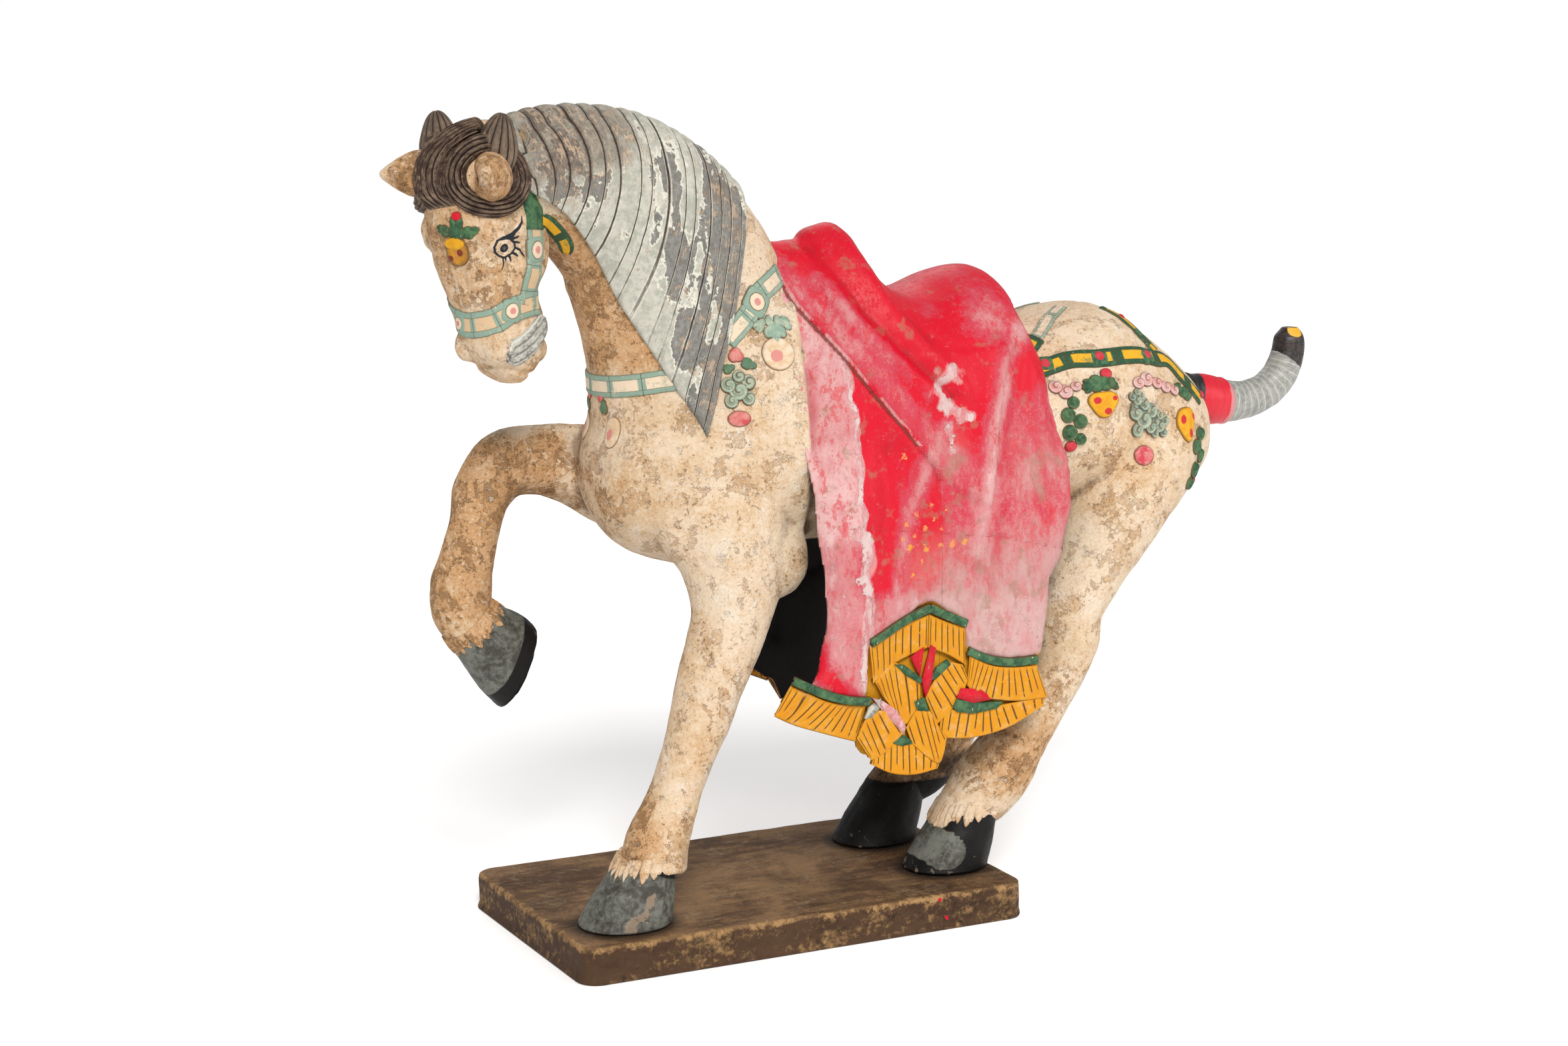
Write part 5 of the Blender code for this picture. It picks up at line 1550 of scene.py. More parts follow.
def make_cloth(looks, settings):
    """The red cloth over the saddle and its two hanging flaps, with folds, edges and a stitched line."""
    cover = saddle()
    held = bpy.data.meshes.new("cover")
    cover.to_mesh(held)
    tree = BVHTree.FromPolygons([v.co.copy() for v in held.vertices], [p.vertices[:] for p in held.polygons])
    bpy.data.meshes.remove(held)
    torso_skin = surface("body_fore", "body_rear")
    parts = [cover]
    for side in SIDES:

        def place(u, v):
            foot_x = FLAP_FOOT[0][0] + u * (FLAP_FOOT[-1][0] - FLAP_FOOT[0][0])
            z = FLAP_TOP + (lookup(FLAP_FOOT, foot_x) + 2.0 - FLAP_TOP) * v
            front, rear = lookup(FLAP_FRONT, z), lookup(FLAP_REAR, z)
            x = front + u * (rear - front)
            level = max(z, FLAP_LEAVES)
            hit = tree.ray_cast(figure(x, side * 150, level), Vector((0, -side, 0)))[0]
            seat, _ = torso_skin.aside(x, level, side)
            seated = max(abs(hit.y) if hit else 0, abs(seat.y)) / MM + 0.8
            reach = flap_reach(x, z, seated)
            if lookup(FLAP_HEM, x) - 1.5 > z:
                reach -= 3.4
                x += 1.2 if u < 0.02 else (-1.2 if u > 0.98 else 0)
            slide = far_slide(x, z) if side == FAR else 0.0
            return figure(x + slide, side * reach, z)

        parts.append(
            sheet(110, 130, place, settings.cloth_thickness / MM, None, lambda at: Vector((0, side, 0))))
    mesh = one_skin(parts, 1.66, 2)
    at = layout(points_of(mesh))
    normals = normals_of(mesh)
    x, y, z = at.T
    outer = step(normals[:, 1] * np.sign(y) * 1.0 + 0.6 * normals[:, 2], 0.0, 0.25)
    slide = np.where(y > 0, FAR_FLAP_SHIFT * np.clip((FLAP_FREE - z) / FAR_FLAP_FADE, 0, 1), 0)
    flat = np.stack([x - slide * np.clip(1 - (x - 10) / 140, 0, 1), z], axis=1)
    height = lumps(at, 16, 11) * 0.5 + lumps(at, 6, 12) * 0.16
    for line, width, rise in CLOTH_FOLDS:
        height += 1.4 * rise * bell(from_line(flat, line), width) * outer
    area = list(COVER_EDGE) + list(reversed(COVER_REAR)) + [(170, 380), (-30, 380)]
    inside = step(from_area(flat, area), 0.9, -0.9)
    height += 1.3 * inside * outer - 0.7 * outer
    edge_line = from_line(flat, COVER_EDGE)
    rear_line = from_line(flat, COVER_REAR)
    height -= (1.4 * bell(edge_line, 1.3) + 1.0 * bell(rear_line, 1.2)) * outer
    height += 0.8 * bell(edge_line - 3.2, 1.5) * outer
    seam = from_line(flat, CLOTH_SEAM)
    height -= 0.6 * bell(seam, 0.9) * outer * (z < 230)
    push(mesh, height)
    hem = np.array([lookup(FLAP_HEM, value) for value in flat[:, 0]])
    strip = np.interp(flat[:, 1], *np.array(sorted(STRIP_EDGE)).T)
    strip += lumps(at, 9, 13) * 2.4 + lumps(at, 3.2, 14) * 1.0
    cover_side = np.interp(-flat[:, 1], [-348, -328, -314, -298, -282, -263, -240, -232],
        [4, 12, 22, 33, 45, 60, 80, 84])
    worn = 1.3 * step(flat[:, 0] - strip, 0.8, -0.8) * (flat[:, 0] < cover_side + 1)
    fx, fz = flat.T
    worn = np.maximum(worn, 1.2 * step(fz, 212, 150) * step(fx, 62, 112))
    worn = np.maximum(worn, 0.54 * step(fx, 118, 128) * step(fz, 296, 270))
    worn = np.maximum(worn, 0.85 * step(fx, 112, 124) * step(fz, 236, 200))
    for line, amount, width in RUBBED_FOLDS:
        worn = np.maximum(worn, amount * bell(from_line(flat, line), width))
    for spot_x, spot_z, amount, width in RUBBED_SPOTS:
        worn = np.maximum(worn, amount * bell(np.hypot(fx - spot_x, fz - spot_z), width))
    worn = np.maximum(worn, 0.68 * step(fx, 78, 92) * step(fz, 262, 236))
    worn = np.maximum(worn, 1.05 * step(fz, 184, 164) * (fx > strip))
    worn = np.maximum(worn, 0.5 * step(fz, 212, 198) * step(fx, 44, 34))
    worn -= 0.6 * bell(np.hypot(fx - 78, (fz - 300) / 1.5), 22) + 0.5 * bell(
        np.hypot(fx - 44, (fz - 190) / 1.6), 14)
    worn -= 0.6 * bell(np.hypot(fx - 142, fz - 290), 10) + 0.4 * bell(np.hypot(fx - 36, fz - 352), 12)
    ragged = flat + np.stack([lumps(at, 5, 31), lumps(at, 4, 32)], axis=1) * 3.0
    lost = np.zeros(len(at))
    for line, amount, width, torn in LOST_PAINT:
        lost = np.maximum(lost, amount * bell(from_line(ragged if torn else flat, line), width))
    lost = np.maximum(lost, 0.9 * bell(fx - strip + 1.0, 2.4) * (fx < cover_side) * (fz < 322))
    lost = np.maximum(lost, 0.4 * step(fx, 118, 140) * step(fz, 165, 145))
    line = 0.55 * bell(rear_line, 0.8)
    edge = np.array(COVER_EDGE, float)
    rank = np.interp(-fz, -edge[:, 1], np.arange(len(edge)))
    over = np.sign(fx - np.interp(rank, np.arange(len(edge)), edge[:, 0]))
    give(mesh, "gap", np.where((outer > 0.5) * (fz > 251), np.clip(edge_line * over, -8, 8), 8 * over))
    line = np.maximum(line, 0.6 * bell(seam, 0.8) * (z < 230))
    worn -= 1.1 * bell(from_line(flat, ((3, 204), (6, 165), (9, 132), (26, 115))), 5.0)
    worn -= (0.14 + 0.22 * step(fz, 208, 200)) * (fx < strip)
    give(mesh, "worn", np.clip(worn, 0, 1.4))
    # Greyer pink over the lower middle of the flaps and at two spots.
    dust = step(fz, 212, 176) * step(fx, 50, 84) + 0.7 * bell(np.hypot(fx - 146, fz - 236), 18)
    dust = np.maximum(dust, 0.8 * bell(np.hypot(fx - 92, (fz - 246) / 1.5), 8))
    give(mesh, "dust", np.clip(dust, 0, 1))
    give(mesh, "lost", lost * outer)
    gold = np.zeros(len(at))
    for gold_x, gold_z, size in GOLD_FLECKS:
        gold = np.maximum(gold, bell(np.hypot(fx - gold_x, fz - gold_z), size))
    give(mesh, "gold", gold * outer)
    give(mesh, "line", line * outer)
    give(mesh, "hollow", hollows(mesh))
    behind = step(normals[:, 1] * np.sign(y), 0.05, -0.25) * step(z, 250, 235)
    give(mesh, "inner", behind)
    give(mesh, "foot", (z < hem - 1.0) * (1 - behind))
    settled(mesh, "saddle_cloth", material("cloth", looks, cloth_finish), stands_for="horse")


# Fringe panels of a flap: top and bottom line as (x, z), layer, and how many strokes run down the panel.
FRINGE_PANELS = (
    (((-7, 126), (9, 118), (23, 114), (37, 111)), ((-17.5, 110), (-8, 105), (9, 99), (29, 92)), 1, 12),
    (((37, 145), (56, 152), (77, 158)), ((40, 123), (56, 132), (76, 139)), 2, 9),
    (((77, 158), (88, 153), (99, 149)), ((76, 139), (88, 134), (99, 127)), 2, 7),
    (((41, 124), (47, 129), (56, 133), (71, 121)), ((49, 113), (56, 104), (61, 97), (70, 104)), 3, 7),
    (((73, 112), (79, 121), (86, 130), (97, 128)), ((80, 95), (90, 103), (97, 112), (100, 120)), 3, 7),
    (((29, 94), (37, 105), (50, 108)), ((39, 80), (47, 82), (61, 92)), 4, 6),
    (((40, 80), (53, 88), (66, 88), (83, 77)), ((39, 78), (52, 71), (66, 69), (80, 71)), 3, 11),
    (((61, 96), (68, 106), (75, 105), (81, 95)), ((64, 87), (76, 76), (82, 75), (86, 88)), 5, 6),
    (((101, 134), (113, 127), (128, 124), (145, 123)), ((99, 116), (106, 109), (130, 104), (153, 103)), 4,
    14),
    (((84, 104), (105, 102), (122, 103), (151, 104)), ((81, 88), (102, 86), (127, 90), (150, 99)), 2, 13),
)
# Painted patches among the panels: outline as (x, z), layer and paint.
FRINGE_PATCHES = (
    (((38, 116), (48, 112), (56, 106), (61, 97), (60, 92), (54, 99), (46, 108)), 3.5, "blush"),
    (((35, 104), (38, 110), (46, 114), (46, 109), (40, 104)), 4.6, "hoof_light"),
    (((53, 88), (59, 92.5), (66, 87), (58, 86)), 4.4, "green"),
    (((65, 135), (73, 140), (70, 124)), 4.4, "scarlet"),
    (((71, 122), (77, 141), (80, 139), (77, 121), (73, 112)), 5.0, "scarlet"),
    (((55, 132), (61, 131), (72, 122), (70, 120), (62, 125)), 4.8, "green"),
    (((76, 121), (80, 128), (87, 132), (89, 129), (80, 122)), 4.8, "green"),
    (((92, 110), (95, 115), (103, 114), (113, 107), (102, 106)), 5.2, "scarlet"),
    (((90, 105), (92, 109), (105, 106), (121, 105), (117, 101.5), (102, 100), (92, 102)), 5.0, "green"),
    (((66, 110), (72, 112), (75, 104), (68, 105)), 5.6, "green"),
)
# Green hems above the fringe, each as a line of (x, z).
FRINGE_HEMS = (
    ((-6, 128.5), (9, 121), (23, 116.5), (38, 113.5)),
    ((37.5, 146.5), (56, 153.5), (77, 161.5)),
    ((77, 161.5), (88, 156), (99, 151)),
    ((100, 135.5), (113, 129.5), (128, 126.5), (145, 126)),
)
# Each patch's paint and the lighter one that wears through it.
PATCH_LIGHTS = {"green": "green_light", "scarlet": "red", "blush": "faded", "hoof_light": "mane_pale"}
LAYER_STEP = 0.42


def make_fringes(looks):
    """Fringe panels, painted patches and green hems at the foot of each flap."""
    fringe = material("fringe", looks, fringe_finish)
    for side, word in ((NEAR, "near"), (FAR, "far")):

        def outside(x, z, out):
            slide = far_slide(x, z) if side == FAR else 0.0
            return figure(x + slide, side * (flap_reach(x, z, 68) + out), z)

        panels = []
        for top, foot, layer, strokes in FRINGE_PANELS:

            def place(u, v, top=top, foot=foot, layer=layer, strokes=strokes):
                (x0, z0), (x1, z1) = share_of(top, u), share_of(foot, u)
                x, z = x0 + (x1 - x0) * v, z0 + (z1 - z0) * v
                edge = min(1.0, min(u * strokes * 2.2, (1 - u) * strokes * 2.2, v * 22, (1 - v) * 22))
                groove = 0.35 * math.cos(2 * math.pi * u * strokes)
                return outside(x, z, layer * LAYER_STEP - 2.0 + 0.7 * math.sqrt(edge) + groove * edge * 0.6)

            def spot(u, v, strokes=strokes):
                return (u * strokes, v)

            bm = sheet(strokes * 5, 26, place, 3.0, spot, lambda at: Vector((0, side, 0)))
            rim = bm.verts.layers.float.new("rim")
            layer_uv = bm.loops.layers.uv.active
            for vert in bm.verts:
                u, v = vert.link_loops[0][layer_uv].uv
                vert[rim] = 1.0 if min(u, strokes - u) < 0.15 or min(v, 1 - v) < 0.03 else 0.0
            panels.append(bm)
        piece(merged(panels), f"fringe_{word}", fringe, stands_for="horse")

        for paint_name, light in PATCH_LIGHTS.items():
            patches = []
            for outline, layer, colour in FRINGE_PATCHES:
                if colour != paint_name:
                    continue

                def laid(x, z, out, layer=layer):
                    return outside(x, z, layer * LAYER_STEP - 2.0 + out)

                patches.append(patch(outline, laid, side))
            if paint_name == "green":
                for line in FRINGE_HEMS:
                    patches.append(hem_band(line, outside, side))
            finish = material(
                "patch_" + paint_name, looks, enamel_finish, getattr(looks, paint_name),
                getattr(looks, light), None,
                0.0, 0.8)
            piece(merged(patches), f"fringe_{paint_name}_{word}", finish, stands_for="horse")


def patch(outline, outside, side):
    """A thin painted patch with a rounded rim inside an outline of (x, z) points."""
    bm = bmesh.new()
    bm.loops.layers.uv.new("UVMap")
    rim = bm.verts.layers.float.new("rim")
    verts = bmesh.ops.create_circle(bm, cap_ends=True, segments=len(outline) * 3, radius=1.0)["verts"]
    ring = list(outline) + [outline[0]]
    spots = {}
    for i, vert in enumerate(verts):
        a, b = Vector(ring[i // 3]), Vector(ring[i // 3 + 1])
        spots[vert] = a.lerp(b, (i % 3) / 3)
        vert.co = (spots[vert].x, spots[vert].y, 0)
        vert[rim] = 1.0
    inset = bmesh.ops.inset_region(bm, faces=bm.faces[:], thickness=0.55, depth=0.0)
    inner = {v for f in bm.faces if f not in inset["faces"] for v in f.verts}
    for vert in bm.verts:
        if vert in inner:
            vert[rim] = 0.0
        vert.co = outside(vert.co.x, vert.co.y, 0.75 if vert in inner else 0.3)
    bmesh.ops.triangulate(bm, faces=[f for f in bm.faces if len(f.verts) > 4])
    bmesh.ops.recalc_face_normals(bm, faces=bm.faces)
    if sum(f.normal.y * side for f in bm.faces) < 0:
        bmesh.ops.reverse_faces(bm, faces=bm.faces)
    thicken(bm, 1.6)
    return bm


def hem_band(line, outside, side):
    """A narrow green hem along a line of (x, z) points."""
    points = evenly([(x, z, 0) for x, z in line], 1.2)[0]
    last = len(points) - 1
    heights = ((-2.6, -1.0), (-2.3, 1.2), (-1.6, 1.7), (0, 1.8), (1.6, 1.7), (2.3, 1.2), (2.6, -1.0))

    def place(u, v):
        i = round(u * last)
        a, b = points[max(i - 1, 0)], points[min(i + 1, last)]
        way = (b - a).normalized()
        across, out = heights[round(v * (len(heights) - 1))]
        x, z = points[i].x - way.y * across, points[i].y + way.x * across
        return outside(x, z, out)

    bm = sheet(last, len(heights) - 1, place, 2.0, None, lambda at: Vector((0, side, 0)))
    rim = bm.verts.layers.float.new("rim")
    layer = bm.loops.layers.uv.active
    for vert in bm.verts:
        v = vert.link_loops[0][layer].uv[1]
        vert[rim] = 1.0 if min(v, 1 - v) < 0.2 else 0.0
    return bm


# Harness.

def head_line(rows, side):
    """Rows of lateral, ahead and height of the head as layout points, on one side."""
    return tuple(tuple(head_point(z, lateral * side, ahead)) for lateral, ahead, z in rows)


def plaque(skin_below, centre, half, high, rise, turn=0.0):
    """A square boss with rounded corners."""
    def outline(angle):
        c, s = abs(math.cos(angle)), abs(math.sin(angle))
        return min(1.25, 1 / (c ** 5 + s ** 5) ** 0.2)
    return stud(skin_below, centre, half, high, rise, outline, None, turn)


def leaf(lobes, depth=0.32):
    """The outline of a leaf with some lobes."""
    def outline(angle):
        return 1 - depth * (1 - abs(math.cos(angle * lobes / 2)) ** 0.7)
    return outline


def leaf_relief(share, angle):
    """Ribs that spread from a leaf's middle."""
    return 0.45 * math.cos(angle * 7) * share - 0.5 * share


def curl_relief(turns, depth):
    """A raised spiral on a boss."""
    def relief(share, angle):
        return depth * math.cos(2 * math.pi * (turns * share + angle / (2 * math.pi))) * min(1, 4 * share)
    return relief


def cloud(skin_below, centre, size, rise, flip=1):
    """A cluster of small curls."""
    x, y, z = centre
    spots = (
        (0, 0, 0.62), (0.62, 0.42, 0.46), (-0.6, 0.40, 0.48), (0.55, -0.5, 0.42), (-0.45, -0.58, 0.44),
        (0.05, 0.85, 0.40),
    )
    return [
        stud(skin_below, (x + flip * dx * size, y, z + dz * size), r * size, r * size, rise + 0.3, None,
             curl_relief(1.6, 0.7), sides=28, rings=20)
        for dx, dz, r in spots
    ]


def rim_piece(parts, name, finish):
    """A piece of low relief, with what its finish reads."""
    made = piece(merged(parts), name, finish, stands_for="horse")
    give(made.data, "hollow", hollows(made.data, 1, 2))
    return made


def make_bridle(looks, settings):
    """Cheek, nose and throat straps with their bosses, the forehead flower and the curls at the mouth."""
    skull = surface("head")
    both = surface("head", "body_fore")
    pale = material(
        "strap_bridle", looks, strap_finish, looks.celadon, looks.buff, looks.celadon_light, 1.32, 0.0)
    medal = material("boss_bridle", looks, medal_finish, looks.celadon, looks.slip, looks.rose_soft)
    green = material("strap_throat", looks, strap_finish, looks.green, looks.gold, looks.green_light, 2.2,
        -0.03)
    leaf_green = material(
        "patch_green", looks, enamel_finish, looks.green, looks.green_light, None, 0.0, 0.8)
    half, rise = settings.strap_width / MM / 2, settings.strap_rise / MM
    for side, word in ((1, "near"), (-1, "far")):
        cheek = head_line(((26, -13, 396), (25, -15, 384), (26, -15, 375), (25, -15, 366), (24, -13, 358),
                           (22, -11, 349), (20, -9, 341), (19, -7, 336)), side)
        throat = head_line(((25, -19, 383), (24, -27, 377), (24, -34, 372), (23, -41, 366), (19, -46, 361)),
            side)
        rim_piece([band(skull, cheek, half * 1.95, rise)], f"cheek_strap_{word}", pale)
        rim_piece([band(skull, cheek[:3], half * 2.05, rise + 0.5)], f"cheek_top_{word}", leaf_green)
        rim_piece([band(both, throat, half * 1.05, rise * 0.8, taper=0.4)], f"throat_strap_{word}", green)
        bosses = [plaque(skull, head_point(365, side * 25, -14), half * 1.95, half * 1.7, rise + 0.8)]
        bosses.append(
            plaque(skull, head_point(335, side * 19, 6), half * 1.5, half * 1.5, rise + 0.8, side * -8))
        rim_piece(bosses, f"bridle_bosses_{word}", medal)
    noseband = [tuple(head_point(z, lateral, ahead)) for lateral, ahead, z in (
        (-16, -18, 337), (-19, -7, 337), (-19, 6, 334), (-13, 15, 330), (-2, 19, 327.5), (8, 18, 328.5),
        (14, 14, 330.5), (19, 6, 335), (19, -7, 337), (16, -18, 337))]
    rim_piece([band(skull, noseband, half * 1.65, rise)], "noseband", pale)
    rim_piece([plaque(skull, head_point(328, -7, 18), half * 1.2, half * 1.3, rise + 0.7)], "nose_boss",
        medal)
    leaves = [
        stud(skull, head_point(377, 8, 25), 8.0, 5.4, 2.0, leaf(5, 0.36), leaf_relief, -90),
        stud(skull, head_point(376.5, 0, 26), 5.0, 3.6, 1.8, leaf(3), leaf_relief, 160),
        stud(skull, head_point(376, 15, 23), 5.2, 3.6, 1.8, leaf(3), leaf_relief, 20),
    ]
    rim_piece(leaves, "brow_leaves", leaf_green)
    rim_piece([stud(skull, head_point(384, 9, 26), 2.7, 2.5, 1.8)], "brow_berry", material(
        "patch_scarlet", looks, enamel_finish, looks.scarlet, looks.red, None, 0.0, 0.8))
    fruit = material("fruit_brow", looks, enamel_finish, looks.umber_gold, looks.amber,
                     (looks.scarlet_dark, ((0.68, 0.5, 0.13), (0.2, 0.3, 0.12))), 0.0, 0.85)
    rim_piece([stud(skull, head_point(365.5, 6, 24), 7.0, 7.6, 2.0)], "brow_fruit", fruit)
    rim_piece([stud(skull, head_point(370, 6, 24.5), 6.0, 3.4, 3.0)], "brow_fruit_top", material(
        "patch_yellow", looks, enamel_finish, looks.gold, looks.amber, None, -0.02, 0.9))
    curls = material("mouth_curl", looks, swirl_finish)
    line = ((15, -25, 327), (17, -15, 322.5), (18, -6, 318), (17.5, 2, 314.5), (16, 9, 312.5),
        (14.5, 13, 312))
    profile = tuple(
        (a / 32, max(0.0, 1 - (a / 16 - 1) ** 4) * (1.0 + 0.34 * math.cos(math.pi * a / 4)) - 0.3)
        for a in range(33))
    locks = [band(skull, head_line(line, side), 8.2, 2.0, 1.4, profile, 2.0, 0.75) for side in (1, -1)]
    rim_piece(locks, "mouth_curls", curls)


SHOULDER_LINE = (
    (-34, -44, 312), (-30, -44, 316), (-19, -43, 326), (-10, -38, 336), (-1, -34, 341), (10, -26, 346),
)


def make_breast_harness(looks, settings):
    """The band across the chest, the shoulder strap under the mane, and their pendants."""
    chest = surface("body_fore")
    pale = material("strap_breast", looks, strap_finish, looks.celadon, looks.slip, looks.celadon_light,
        1.9, 0.01)
    half, rise = settings.strap_width / MM / 2, settings.strap_rise / MM
    line = [(-62, -42, 293), (-68, -37, 292), (-78, -30, 290), (-88, -17, 288), (-93, 0, 287)]
    line += [(x, -y, z) for x, y, z in reversed(line[:-1])]
    rim_piece([band(chest, line, half * 1.45, rise)], "chest_band", pale)
    medal = material("boss_bridle", looks, medal_finish, looks.celadon, looks.slip, looks.rose_soft)
    leaf_pale = material("leaf_pale", looks, enamel_finish, looks.celadon, looks.celadon_light, None, 0.0,
        0.8)
    cloud_pale = material("cloud_pale", looks, enamel_finish, looks.celadon, looks.celadon_light, None, 0.0,
        0.8, 1.3)
    leaf_dark = material("leaf_dark", looks, enamel_finish, looks.green_soft, looks.green_light, None, 0.02,
        0.8)
    peach = material("fruit_peach", looks, enamel_finish, looks.slip, looks.buff,
                     (looks.rose_soft, ((0.42, 0.42, 0.2),)), 0.0, 0.88)
    red = material("bud_red", looks, enamel_finish, looks.rose_deep, looks.rose_soft, None, 0.02, 0.8)
    for side, word in ((1, "near"), (-1, "far")):
        strap = [(x, y * side, z) for x, y, z in SHOULDER_LINE]
        rim_piece([band(chest, strap, half * 1.5, rise)], f"shoulder_strap_{word}", pale)
        bosses = [plaque(chest, (-13, -40 * side, 332), half * 1.9, half * 1.8, rise + 0.9, -38 * side)]
        rim_piece(bosses, f"shoulder_boss_{word}", medal)
        leaves = [
            stud(chest, (-5, -45 * side, 318), 10.5, 7.0, 2.2, leaf(5, 0.5), leaf_relief, -90 * side),
            stud(chest, (-12, -46 * side, 321), 5.4, 4.0, 1.8, leaf(3), leaf_relief, 40 * side),
            stud(chest, (2, -42 * side, 320), 5.4, 4.0, 1.8, leaf(3), leaf_relief, -60 * side),
        ]
        rim_piece(cloud(chest, (-31, -54 * side, 287), 9.5, 1.7, side), f"breast_cloud_{word}", cloud_pale)
        rim_piece(leaves, f"breast_leaves_{word}", leaf_pale)
        rim_piece([stud(chest, (-6, -51 * side, 305), 9.5, 9.5, 1.9)], f"breast_fruit_{word}", peach)
        greens = [
            stud(chest, (-24, -52 * side, 301), 5.0, 3.6, 1.6, leaf(3), None, -20 * side),
            stud(chest, (-35, -50 * side, 299), 4.0, 3.0, 1.4, leaf(3), None, 20 * side),
            stud(chest, (-90, -10 * side, 276), 4.4, 3.6, 1.4, leaf(3), None, 90),
        ]
        rim_piece(greens, f"breast_greens_{word}", leaf_dark)
        buds = [
            stud(chest, (-30, -49 * side, 306), 4.6, 4.6, 1.9, leaf(3, 0.22), None, 90),
            stud(chest, (-91, -7 * side, 281), 2.6, 2.4, 1.2),
            stud(chest, (-32, -57 * side, 272), 6.6, 4.4, 1.6),
        ]
        rim_piece(buds, f"breast_buds_{word}", red)
        rim_piece([stud(chest, (-88, -17 * side, 263), 6.0, 9.0, 1.3)], f"chest_drop_{word}", peach)


# Harness of the near side of the croup, as (x, y, z) points; a fourth number is an ornament's half-width.
CROUP_MAIN = (
    (146, -57, 292), (153, -57, 291), (178, -48, 290), (197, -50, 290.5), (224, -47, 290), (240, -42, 287),
    (252, -36, 284), (263, -37, 275), (279, -33, 260),
)
CROUP_UPPER = ((140, -57, 299), (152, -48, 304), (165, -38, 310), (178, -26, 315), (196, -12, 319))
CROUP_REAR = ((222, -14, 316), (230, -22, 309), (237, -30, 300), (245, -36, 289))
CROUP_STUDS = ((163, -50, 290.5), (198, -50, 291.5), (233, -45, 289.5))
CROUP_SQUARES = ((163, -50, 290.5), (198, -50, 290.5), (233, -45, 288.5))
CROUP_BERRIES = (
    (200, -52, 281, 4.0), (174, -59, 243, 4.0), (285, -28, 262, 3.0), (268, -42, 214, 3.4),
    (232, -22, 311, 2.8),
)
CROUP_LINKS = (
    (176, -60, 268, 3.8), (172, -60, 261, 4.6), (180, -60, 257, 4.4), (173, -60, 251, 4.8),
    (180, -60, 247, 3.6), (273, -42, 241, 4.4), (267, -44, 234, 5.0), (274, -40, 228, 4.8),
    (266, -44, 221, 5.2), (261, -46, 214, 4.0),
)
CROUP_CURLS = (
    (166, -60, 279, 4.6), (172, -60, 275, 5.0), (179, -58, 277, 3.6), (221, -53, 275, 4.2),
    (228, -53, 277, 5.2), (236, -51, 274, 4.2), (243, -49, 271, 4.2), (250, -46, 268, 3.6),
)


